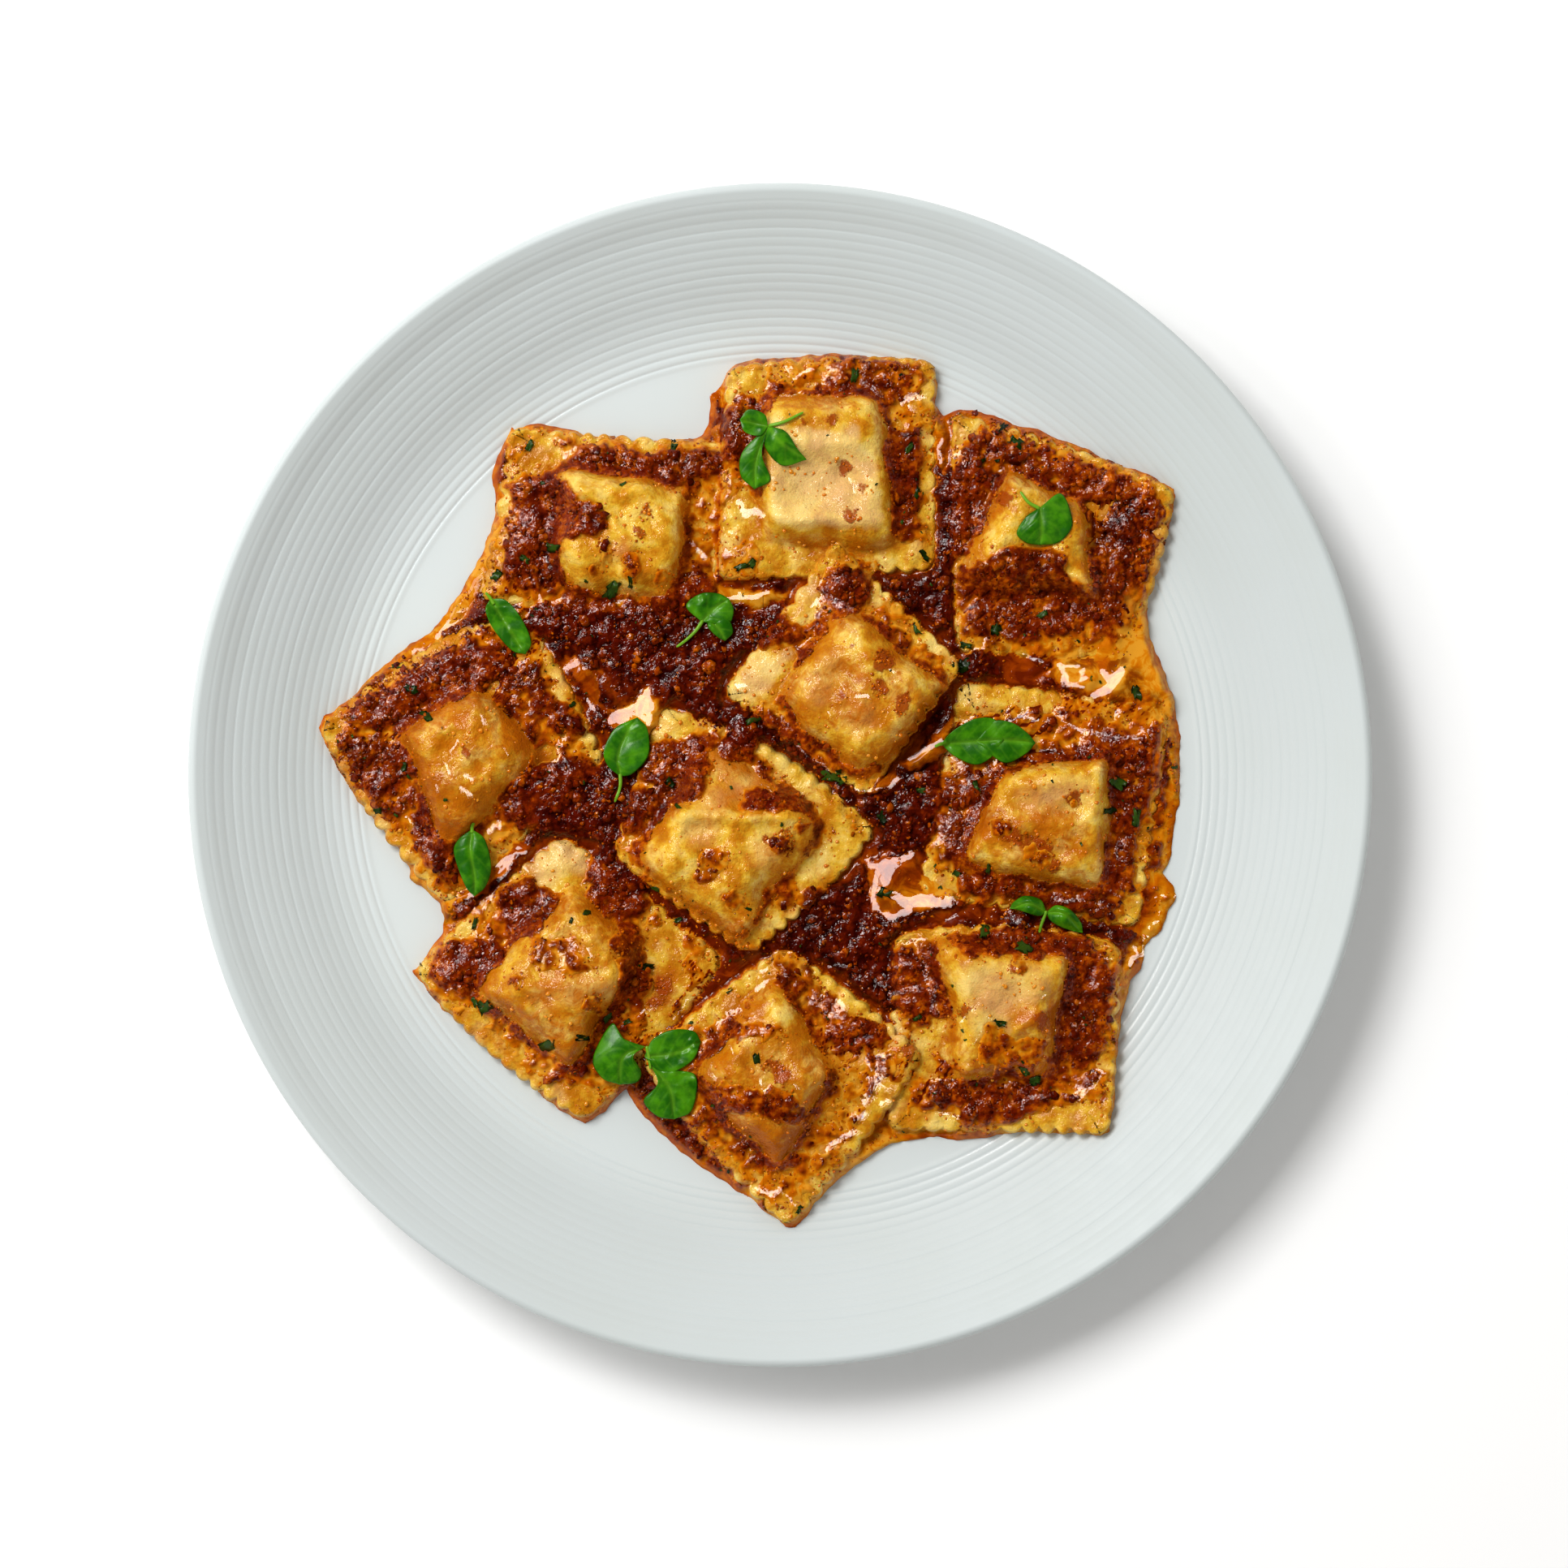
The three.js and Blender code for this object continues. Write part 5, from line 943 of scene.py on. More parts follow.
        (0.7, [(-65.5, -23.5), (-64.5, -25)]), (0.5, [(-61.5, -45.5), (-60.5, -47)]),
        (0.6, [(-58.5, -56), (-57, -57)]), (0.4, [(-59, -53), (-56, -53.5), (-53, -52.5)]),
        (0.6, [(-49, -44), (-48, -46)]), (0.45, [(-85.5, -55.5), (-83, -54.3), (-81.5, -54.3)]),
        (0.5, [(-85.5, -51), (-84.5, -52.5)]), (0.45, [(-91, -16.5), (-88.5, -17.5)]),
        (0.45, [(-97.5, -6), (-96, -9)]), (0.4, [(-96, -11), (-92.5, -13)]),
        (0.4, [(-47, -14.5), (-44, -14)]), (0.4, [(-106, 13), (-102, 15), (-98, 14.7)]),
        (1.2, [(-13, -61), (-10.5, -60.3)]), (0.6, [(-15, -63), (-12.5, -62)]),
        (0.5, [(-35.5, -60.5), (-33.5, -59.8), (-32, -58.5)]),
        (0.5, [(-27.5, -62), (-25, -59.5), (-23.5, -57)]),
        (1.3, [(25.5, -71.5), (26, -75), (25, -78.5), (23, -81.5), (21.5, -83)]),
        (0.4, [(19, -71.5), (21.5, -72), (23.5, -75.5)]), (0.8, [(22.5, -77.5), (24, -78.5)]),
        (0.9, [(11.5, -96), (14, -93.5), (17, -91.5), (19.5, -91)]), (1.0, [(19.5, -88), (22, -86)]),
        (1.0, [(25.5, -84), (27.5, -83)]), (0.9, [(27, -80), (29, -79)]),
        (0.7, [(-8, -105.3), (-5, -105.8), (-2.5, -107)]), (0.8, [(-2.5, -107.5), (0, -106)]),
        (0.4, [(0, -106.5), (2, -107.5), (3.8, -109.7)]), (0.5, [(-12.5, -69), (-12, -70.5)]),
        (0.6, [(-5, -77), (-4.5, -79)]), (0.5, [(3.5, -78), (5, -79.5)]), (0.5, [(-9, -93.5), (-8, -95.5)]),
        (0.5, [(-17.5, -76), (-16, -77)]), (1.2, [(75, -82.5), (77, -81), (79.5, -78.5), (81.5, -76)]),
        (0.5, [(76.5, -77.5), (75.8, -80)]), (0.7, [(62, -85), (62.3, -83), (64, -82.2), (67, -82)]),
        (0.5, [(68, -82), (69.3, -81)]), (0.7, [(40, -86.7), (43, -86.9), (45.5, -87.5)]),
        (0.5, [(43, -79.5), (44.3, -79.3)]), (0.7, [(89.3, -48.8), (90, -46.7), (93, -45.6)]),
        (0.6, [(94, -41.3), (92.4, -42), (92.6, -44.5)]), (0.5, [(81.5, -46), (82.5, -47), (84.5, -46.5)]),
        (0.5, [(79.5, -52), (79.8, -54), (80.6, -54)]), (0.4, [(49, -68), (50, -66), (51, -65)]),
        (0.5, [(52, -61), (53, -62)]), (0.5, [(66, -56.5), (67, -55.5)]), (0.5, [(46, -63), (47, -61.5)]),
        (0.6, [(70, -31.5), (73, -32.5), (76, -31)]), (0.5, [(90.5, -44), (91.2, -45.5)]),
        (0.5, [(96, -38), (96.8, -37.5)]), (0.35, [(95.8, -31.8), (96.3, -31.2)]),
        (0.4, [(97.5, -31), (98.5, -31.3)]), (0.35, [(97, -36), (97.2, -34.8)]),
        (0.35, [(94.5, -39.5), (94.7, -38.6)]), (0.5, [(101, -31), (102, -29.5)]),
        (0.5, [(89, -16.5), (90.5, -15.5), (92, -14.5)]),
        (0.35, [(87, -17), (85.5, -19), (86.5, -21.3), (89, -22), (90.3, -20.8)]),
        (0.45, [(92, -21.8), (93, -21)]), (0.35, [(84, -29.5), (85, -30.3), (87, -30.8)]),
        (0.4, [(91, -32.5), (91.2, -32.3)]), (0.35, [(83.5, -23), (85.5, -23)]),
        (0.9, [(-55, 27.5), (-52, 28.5), (-49, 31)]), (0.6, [(-62, 40), (-60, 40.2)]),
        (0.5, [(-58.5, 39.2), (-56.5, 38.8)]), (0.4, [(-61, 34), (-59, 32), (-57.5, 30.5)]),
        (0.6, [(-67, 24.5), (-65.5, 23.5)]), (0.4, [(-73, 29.5), (-71, 27.5)]),
        (0.5, [(-61.5, 46), (-61.2, 44.5)]), (0.35, [(-92, 29.5), (-91.5, 27)]),
        (0.35, [(-89.5, 24), (-86, 25.5), (-84, 27)]), (0.5, [(-55.5, 81), (-54.5, 81.5)]),
    ],
    # liquid thin enough to look golden
    "goldenShapes": [
        [(-92, 34), (-86, 37), (-80, 48), (-74, 60), (-72, 60), (-75, 50), (-80, 42), (-88, 34)],
        [(69, 29), (73, 30), (82, 27), (90, 28), (90, 20), (82, 21), (72, 22)],
        [(88, 50), (94, 47), (94.5, 40), (97, 31), (100, 22), (101, 17), (97, 17), (92, 24), (88, 31),
         (86, 40)],
        [(100, -18), (101, -24), (98, -26), (102, -28), (102, -31), (99, -36), (97, -41), (93, -46),
         (92, -51), (90, -57), (88, -63), (86, -60), (88, -50), (91, -42), (96, -36), (98, -31), (96, -26),
         (98, -20)],
        [(6, -112), (14, -105), (24, -97), (31, -95), (31, -92), (20, -95), (10, -104), (4, -110)],
        [(-50, 28), (-44, 20), (-40, 12), (-31, 10), (-29, 18), (-33, 24), (-40, 22), (-46, 30)],
        [(-18, 49), (-6, 48.5), (2, 47.5), (2, 44), (-6, 42), (-16, 43)],
    ],
    # liquid that stands level: height, then its outline
    "pools": [
        (9.6, [(-57, 31), (-52, 32), (-47, 26), (-44, 18), (-46, 15), (-51, 21)]),
        (9.9, [(-46, 18), (-44, 12), (-37, 8.5), (-31, 12), (-30, 19), (-33, 24), (-38, 20), (-42, 17)]),
        (9.7, [(70, 31), (80, 32), (88, 40), (91, 50), (94, 47), (93.5, 37), (97, 29), (100, 18), (101, 8),
               (97, 11), (90, 18), (80, 19), (72, 22), (66, 24)]),
        (10.0, [(-18, 49), (-6, 48.5), (2, 47.5), (2, 44), (-6, 42), (-16, 43)]),
        (9.9, [(21, -22), (26, -19), (33, -20), (38, -25), (46, -30), (44, -34), (36, -36), (28, -38),
               (22, -36)]), (9.9, [(28, -42), (38, -42), (41, -56), (41, -62), (36, -64), (28, -58)]),
        (12.1, [(28, 2), (38, 8), (43, 16), (45, 12), (42, 5), (36, 1)]),
        (11.1, [(16, 0), (22, -1), (30, 2), (32, -2), (26, -5), (18, -5)]),
        (9.7, [(-76, -14), (-68, -14), (-62, -18), (-66, -22), (-72, -28), (-78, -33), (-84, -33),
               (-84, -30), (-78, -28)]), (9.7, [(39, 92), (42, 90), (43, 84), (42, 76), (39, 80)]),
        (9.7, [(-17, 88), (-14, 92), (-14, 80), (-17, 82)]),
        (7.9, [(-108, 21), (-98, 31), (-88, 38), (-80, 50), (-76, 60), (-73, 67), (-71, 60), (-74, 48),
               (-80, 39), (-92, 29), (-102, 20)]),
        (7.9, [(6, -112), (14, -105), (24, -97), (31, -94.5), (28, -91), (20, -94), (10, -104)]),
        (7.9, [(-96, -26), (-88, -33), (-86, -38), (-82, -36), (-84, -30), (-92, -24)]),
        (8.1, [(96, 20), (100, 20), (101.5, 8), (102, -6), (99.5, -6), (98.5, 6)]),
        (9.5, [(87, -46), (92, -44), (90, -50), (88, -56), (86, -66), (84, -66), (85, -52)]),
    ],
}
# how strongly sauce has stained the dough: level, then shapes
stains = [
    (0.08, [[(-4, 62), (28, 62), (25, 94), (-4, 95)], [(-14, 19), (-4, 20), (2, 24), (2, 31), (-8, 30)],
            [(-66, -22), (-58, -16), (-48, -18), (-50, -32), (-60, -30)], [(2, 44), (8, 51), (10, 46)]]),
    (0.66, [[(50, -18), (60, -13), (66, -16), (76, -16), (80, -26), (66, -26), (52, -21)],
            [(-92, 10), (-82, 17), (-70, 10), (-74, -2), (-84, -14), (-90, -4)],
            [(12, 12), (24, 12), (36, 18), (30, 30), (18, 32), (8, 24)]]),
    (0.58, [[(-30, -14), (-14, -14), (4, -14), (-6, -30), (-14, -38), (-30, -24)],
            [(-70, -50), (-52, -36), (-42, -46), (-50, -62), (-60, -62)],
            [(-16, -80), (-2, -62), (8, -70), (8, -84), (-2, -96)]]),
    (0.18, [[(41, -46), (71, -46), (69, -62), (62, -68), (48, -68)],
            [(58, 2), (82, 2), (81, -28), (62, -26), (50, -20)],
            [(-14, -38), (8, -13), (-30, -12), (-33, -22)]]),
    (0.30, [[(-57, 78), (-22, 74), (-25, 42), (-60, 46)]]),
    (0.62, [[(-98, 12), (-90, 16), (-81, 21), (-68, 16), (-57, 3), (-70, 0), (-84, -19), (-92, -4)]]),
    (0.75, [[(-93, 4), (-84, 0), (-76, -8), (-84, -20), (-92, -8)],
            [(-70, 16), (-62, 12), (-62, 6), (-70, 8)]]),
    (0.55, [[(20, 8), (30, 14), (42, 20), (38, 10), (28, 4)], (12, 24, 3), (27, 28, 4),
            [(2, 24), (6, 20), (10, 14), (6, 12), (1, 19)]]),
    (0.35, [[(-31, -12), (-10, -12), (8, -13), (0, -30), (-12, -40), (-34, -24)]]),
    (0.75, [[(-8, -3), (-2, -2), (2, -6), (-8, -8)], (-27, -5, 4)]),
    (0.55, [[(-30, -32), (-12, -36), (-2, -32), (-12, -41)]]),
    (0.45, [[(50, -20), (60, -18), (80, -18), (81, -29), (68, -27)], (62, -4, 3)]),
    (0.6, [[(-58, -31), (-46, -33), (-38, -44), (-50, -44), (-60, -38)]]),
    (0.7, [[(-76, -54), (-60, -60), (-46, -60), (-42, -60), (-54, -74)]]),
    (0.65, [[(-20, -76), (-4, -64), (6, -68), (10, -80), (6, -92), (-2, -101), (-16, -90)]]),
    (0.8, [[(-14, -92), (-4, -88), (8, -90), (3, -98), (-2, -101), (-8, -97)],
           [(60, -60), (71, -58), (71, -66), (60, -66)], [(46, -76), (50, -70), (70, -68), (68, -77)]]),
    (0.5, [[(0, 57), (28, 58), (20, 54), (4, 52)], [(24, 92), (27, 80), (22, 84), (20, 92)],
           [(0, 93), (14, 96), (22, 92), (14, 88), (2, 89)]]),
    (0.45, [[(52, 64), (58, 78), (74, 76), (74, 68), (62, 66)],
            [(14, -70), (22, -74), (24, -86), (14, -96), (12, -84)]]),
    (0.9, [[(-33, -49), (-26, -49), (-25, -53), (-29, -60), (-34, -60), (-32, -54)]]),
    (0.72, [[(50, -8), (62, -9), (76, -8), (80, -20), (66, -24), (50, -18)]]),
    (0.6, [[(-68, -50), (-56, -42), (-44, -50), (-50, -60), (-60, -63)]]),
]
oilSpots = [
    (13, 90, 2.2), (6, 89, 1.4), (18, 66, 2.4), (16, 78, 2.6), (21, 73, 1.8), (-45, 57, 2.4),
    (-36, 61.5, 2.4), (-38, 54, 2.6), (1, -17, 3.2), (-3, -16, 2), (75, -6, 2.6), (57, -14, 3.4),
    (66, -19, 3.6), (61, -16, 2.6), (70, -23, 2.4), (-48, -58, 3), (-40, -43, 3.4), (-67, -52, 2.4),
    (26, 29, 3.6), (25, 22, 3), (16, 20, 1.6), (60, -49, 2.6), (47, -60, 2.2), (81, -82, 3), (7, -90, 2.4),
    (0, -76, 3), (-98, 7, 2.4), (18, 33, 1.4), (31, 18, 3), (57, 70, 3), (-80, 6, 2), (33, -71, 3),
    (-3, -74, 2), (66, -62, 3), (55, 80, 3), (-34, 67, 2), (-30, -54, 3), (-32, -58, 2),
]
# where the filling shows pink through the dough
blushSpots = [
    (8, 75, 4.6), (13, 74, 4.2), (10, 86, 2.6), (10, 22, 4.2), (20, 15, 4.4), (13, 28, 3), (-14, 3, 3.6),
    (-8, -3, 4.6), (-17, -7, 3.5), (-20, -14, 4), (-4, -20, 3.6), (64, -6.5, 3.8), (70, -7.5, 3.8),
    (-60, -56, 3.4), (-52, -55, 3.6), (-45, -55, 3.2), (56, -57, 5.2), (52, -53, 3.6), (61, -57, 3.2),
    (-41, 57, 2.2),
]

# Depth of the coat: negative where the dough is bare.
strips = np.zeros(foodTop.shape)
paint(strips, 1.0, [shape for height, shape in sauce["pools"] if height < sauce["stripBelow"]], 3)
edgeDepth = insideDistance(boardX, boardY, sauce["edge"]) - sauce["tucked"] * (1 - strips)
edgeDepth = edgeDepth + 0.35 * boardNoise(3, 60)
support = softened(np.maximum(foodTop, softened(foodTop, 1.0)), 0.45)
onPlate = smoothStep(1.5, 0.4, support - plateLayer)
depthLayer = sauce["cover"] + sauce["gap"] * onPlate + 0.3 * boardNoise(16, 59)
edgeShare = sauce["edgeThin"] * np.exp(-(edgeLayer / 1.8) ** 2)
depthLayer -= edgeShare * smoothStep(-0.8, 0.3, boardNoise(14, 61))
depthLayer += (sauce["bare"] - depthLayer) * smoothStep(0.6, 3.2, pillowLayer + 0.8 * boardNoise(5, 62))
paint(depthLayer, sauce["thin"], sauce["thinShapes"], 2.4)
paint(depthLayer, sauce["bare"], sauce["bareShapes"], 1.9)
for depth, shapes in sauce["heaps"]:
    paint(depthLayer, depth, shapes, 2.2)
paint(depthLayer, sauce["clear"], sauce["clearShapes"], 1.6)
paint(depthLayer, sauce["thin"], sauce["thinStrips"], 2.0)
filmed = depthLayer + 0.5 * boardNoise(3.6, 63) + 0.35 * boardNoise(1.7, 68)

# Between the ravioli the sauce stands as a body of its own height; in the pools it is sunk under the liquid.
poolLayer, poolShare = np.full(foodTop.shape, 5.0), np.zeros(foodTop.shape)
for height, shape in sauce["pools"]:
    paint(poolLayer, height, [shape], 1.8)
    paint(poolShare, 1.0, [shape], 1.8)
level = plateLayer + 0.1 + sauce["edgeHeight"] * (1 - np.exp(-np.clip(edgeDepth, 0, None) / 1.5))
level = level + sauce["bodyHeight"] * smoothStep(3, 9, edgeDepth)
body = smoothMax(support, level - sauce["bodyHeight"] * poolShare, 0.9)

# The share of mince in the coat. It reaches a little further at a pillow's foot, and less where it is golden.
footed = 0.5 * np.exp(-((pillowLayer - 1.2) / 2) ** 2)
grain = smoothStep(0.1 - footed, 0.8 - footed, filmed) * (1 - onPlate * smoothStep(2.0, 0.5, edgeDepth))
grain *= smoothStep(-0.6, 0.5, body + filmed - poolLayer)
golden = np.zeros(foodTop.shape)
paint(golden, 1.0, sauce["goldenShapes"], 2.2)
grain *= 1 - 0.5 * golden

# The sauce's top: the coat and the mince's lumps on the body, or the swelling liquid where that is higher.
bigCrumbs, crumbNumber = crumbs(boardX, boardY, sauce["coarseSize"], 64)
smallCrumbs = crumbs(boardX + 0.4 * boardNoise(2, 65), boardY, sauce["fineSize"], 66)[0]
lumps = sauce["lumps"] * boardNoise(sauce["lumpSize"], 67)
lumps = lumps + sauce["coarse"] * (bigCrumbs - 0.5) + sauce["fine"] * (smallCrumbs - 0.5)
coat = (filmed + 0.18 * np.tanh(filmed / 0.12)) * (1 - 0.6 * onPlate * (1 - grain))
for height, width, points in sauce["swells"]:
    area = window(points, 3 * width)
    x, y = boardX[area] + 0.5 * ragX[area], boardY[area] + 0.5 * ragY[area]
    poolLayer[area] += height * np.exp(-(lineDistance(x, y, points) / width) ** 2)
liquid = poolLayer + sauce["swell"] * boardNoise(sauce["swellSize"], 69)
sauceTop = smoothMax(body + coat + grain * lumps, liquid, 0.9)
sauceTop -= 2.2 * smoothStep(0.25, -0.9, edgeDepth)
surface = np.maximum(foodTop, sauceTop)

# How thick the sauce looks, which gives its colour, and how near a crumb's tip each place is: the colour
# paints the tips lighter as if lit and the crevices darker as painted shade.
thickness = np.clip(sauceTop - foodTop, 0, 4) * (0.45 + 0.55 * smoothStep(1, 9, edgeDepth))
thickness *= 1 - (0.66 + 0.28 * boardNoise(9, 71)) * poolShare * (1 - grain)
thickness = np.maximum(thickness, 1.4 * onPlate * (1 - strips) * smoothStep(3.2, 0.6, edgeDepth))
thickness *= 1 - 0.9 * golden * (1 - grain)
tip = 0.6 * bigCrumbs + 0.4 * smallCrumbs

# Slopes of the oil film that lies over the mince, smoother than the mince itself. At a glint they turn to
# the slope that mirrors the key light up to the eye, which changes slowly over the plate.
mirror = {"slopeX": 0.235, "slopeY": -0.253, "change": 0.0007}
filmY, filmX = np.gradient(softened(surface, sauce["film"]), board["step"])
glintLayer = np.zeros(foodTop.shape)
for width, points in sauce["glints"]:
    area = window(points, width + 3)
    x, y = boardX[area] + 0.45 * ragX[area], boardY[area] + 0.45 * ragY[area]
    share = smoothStep(width + 0.3, width - 0.3, lineDistance(x, y, points))
    glintLayer[area] = np.maximum(glintLayer[area], share)
for film, slope, along, seed in ((filmX, "slopeX", boardX, 72), (filmY, "slopeY", boardY, 73)):
    film += (mirror[slope] + mirror["change"] * along + 0.05 * boardNoise(2.4, seed) - film) * glintLayer

# What has run over the dough: stains, oil, the pink of the filling and wetness, and painted shade round each
# pillow's foot.
stainAndShadeLayer = 0.36 - 0.08 * smoothStep(1.5, -1, pillowLayer) + 0.25 * roughNoise(boardX, boardY, 9, 70)
for level, shapes in stains:
    paint(stainAndShadeLayer, level, shapes, 2.6)
# painted shade: a band of stain round each pillow's foot, darker amber where the pillow slopes down to its
# edge
stainAndShadeLayer += 0.35 * np.exp(-((pillowLayer - 1.0) / 2.6) ** 2)
oilLayer, blushLayer = np.zeros(foodTop.shape), np.zeros(foodTop.shape)
paint(oilLayer, 0.85, oilSpots, 2.2)
paint(blushLayer, 1.0, blushSpots, 2.4)
wetLayer = smoothStep(-1.5, 0.4, filmed)
print("sauce laid over", round(float((sauceTop > foodTop).mean() * 100)), "percent of the board")


# A mark on the dough grows as a cloud times its weight, plus a painted layer times its share, rises from
# one level to another; two more numbers give the mark's strength at each.
doughLook = {
    "yellows": [(0, shade(238, 208, 114)), (0.42, shade(224, 179, 54)), (0.8, shade(202, 139, 20)),
                (1, shade(186, 116, 8))],
    "blush": shade(206, 144, 84), "cream": shade(236, 206, 148), "speck": shade(168, 76, 10),
    "marks": {
        "streak": {"cloud": (3.0, 4, 0.62, 0.8), "weight": 1.5, "layer": "stain", "share": 1.0,
                   "between": (0.95, 1.75), "colour": shade(190, 108, 0)},
        "brown": {"cloud": (5.0, 4, 0.6, 1.0), "weight": 1.4, "layer": "stain", "share": 1.0,
                  "between": (1.20, 1.85, 0.0, 0.65), "colour": shade(150, 72, 0)},
        "wet": {"cloud": (2.4, 4, 0.6), "weight": 1.2, "layer": "wet", "share": 1.0,
                "between": (0.9, 1.9), "colour": shade(200, 122, 8)},
        "oil": {"cloud": (1.7, 4, 0.65), "weight": 0.9, "layer": "oil", "share": 1.0,
                "between": (0.98, 1.22, 0.0, 0.9), "colour": shade(160, 68, 0)},
        "crust": {"cloud": (1.3, 4, 0.65), "weight": 0.8, "layer": "wet", "share": 0.40,
                  "between": (0.80, 1.0), "colour": shade(168, 76, 2)},
    },
    "shine": 0.62, "glintShine": 0.38, "calm": 0.85,  # gloss, what a glint adds, and how it calms the waves
}


# The dough: pale yellow, pink where the filling shows, stained and oiled where sauce has run over it, and
# painted amber at each pillow's foot as shade.
def doughFinish():
    finish = Finish("freshPasta")
    layers = {label: finish.value(label) for label in ("stain", "oil", "blush", "wet", "glint")}
    mottled = finish.noise(7, 4, 0.6)
    colour = finish.ramp(finish.spread(mottled, 0.3, 0.7), doughLook["yellows"])
    blushShare = finish.times(layers["blush"], finish.spread(mottled, 0.2, 0.6, 0.3, 0.7))
    colour = finish.mix(blushShare, colour, doughLook["blush"])
    colour = finish.mix(finish.spread(layers["stain"], 0.30, 0.05, 0.0, 0.55), colour, doughLook["cream"])
    shares = {}
    for label, mark in doughLook["marks"].items():
        cloud = finish.times(finish.noise(*mark["cloud"]), mark["weight"])
        painted = finish.times(layers[mark["layer"]], mark["share"])
        shares[label] = finish.spread(finish.plus(cloud, painted), *mark["between"])
        colour = finish.mix(shares[label], colour, mark["colour"])
    speck = finish.spread(finish.noise(0.75, 2), 0.66, 0.74)
    speck = finish.times(speck, finish.spread(finish.noise(6, 2), 0.4, 0.6, 0.15, 0.8))
    colour = finish.mix(speck, colour, doughLook["speck"])
    bump = finish.bump([(finish.noise(3.2, 3), 0.42), (finish.noise(1.1, 4), 0.28),
                        (finish.noise(0.55, 2), 0.11), (shares["crust"], 0.18), (shares["oil"], 0.22)])
    rough = finish.spread(finish.noise(2.2, 2), 0.3, 0.7, 0.30, 0.46)

    # the wet gloss has waves of its own, and at a glint it leans to mirror the light
    own = addNode(finish.tree, "ShaderNodeNewGeometry").outputs["Normal"]
    spot = addNode(finish.tree, "ShaderNodeSeparateXYZ", {0: finish.place}).outputs
    slopes = [finish.plus(finish.times(spot[axis], 1000 * mirror["change"]), mirror["slope" + axis])
              for axis in ("X", "Y")]
    leaning = finish.mix(layers["glint"], own, finish.direction(*slopes))
    leaning = finish.vector("NORMALIZE", leaning)[0]
    calm = finish.minus(1.0, finish.times(layers["glint"], doughLook["calm"]))
    waves = [(finish.noise(3.2, 3), 0.24), (finish.noise(1.1, 2), 0.32), (finish.noise(0.6, 1), 0.10)]
    wetBump = finish.bump([(finish.times(height, calm), depth) for height, depth in waves], leaning)
    shine = finish.plus(finish.times(layers["glint"], doughLook["glintShine"]), doughLook["shine"])
    return finish.done(Base_Color=colour, Roughness=rough, Normal=bump, Specular_IOR_Level=0.1,
                       Coat_Weight=shine, Coat_Roughness=0.05, Coat_IOR=1.45, Coat_Normal=wetBump,
                       Subsurface_Weight=0.10, Subsurface_Radius=(1.0, 0.45, 0.12), Subsurface_Scale=0.0015)


# A raviolo's two faces as one closed skin: they share the points of the rim.
def addRaviolo(name, made, material):
    columns = dough["steps"] + 1
    count = columns * columns
    top, bottom = (np.stack([made["x"], made["y"], made[face]], -1).reshape(-1, 3)
                   for face in ("top", "bottom"))
    index = np.arange(count).reshape(columns, columns)
    rim = np.zeros((columns, columns), bool)
    rim[[0, -1], :] = rim[:, [0, -1]] = True
    lower = np.where(rim, index, index + count)
    under = np.stack([lower[:-1, :-1], lower[1:, :-1], lower[1:, 1:], lower[:-1, 1:]], -1).reshape(-1, 4)
    used, faces = np.unique(np.concatenate([gridFaces(columns, columns), under]), return_inverse=True)
    places = np.concatenate([top, bottom])[used]
    layers = {"stain": stainAndShadeLayer, "oil": oilLayer, "blush": blushLayer, "wet": wetLayer, "glint": glintLayer}
    values = {label: read(layer, places[:, 0], places[:, 1]) for label, layer in layers.items()}
    values["glint"] = values["glint"] * (used < count)  # the underside has no glints
    piece = addPiece("filled_" + name.split("_")[1], places, [faces.reshape(-1, 4)], material, values)
    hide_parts(name)


doughMaterial = doughFinish()
for name, made in madeRavioli.items():
    addRaviolo(name, made, doughMaterial)
print("ravioli made")


sauceLook = {
    # liquid from thin to deep, and mince from its crevices, darkened as painted shade, to its tips, lightened
    # as painted light
    "liquid": [(0, shade(216, 152, 44)), (0.10, shade(208, 132, 14)), (0.25, shade(198, 112, 2)),
               (0.45, shade(184, 92, 0)), (0.65, shade(158, 66, 0)), (1, shade(110, 32, 0))],
    "mince": [(0.14, shade(50, 2, 0)), (0.36, shade(92, 18, 0)), (0.57, shade(138, 48, 0)),
              (0.82, shade(212, 114, 4))],
    "under": shade(116, 40, 0),  # mince seen through a pool
    "thinMince": shade(174, 88, 6), "redMince": shade(104, 18, 0), "darkened": shade(96, 26, 2),
    "shine": 0.70, "poolShine": -0.14,
}
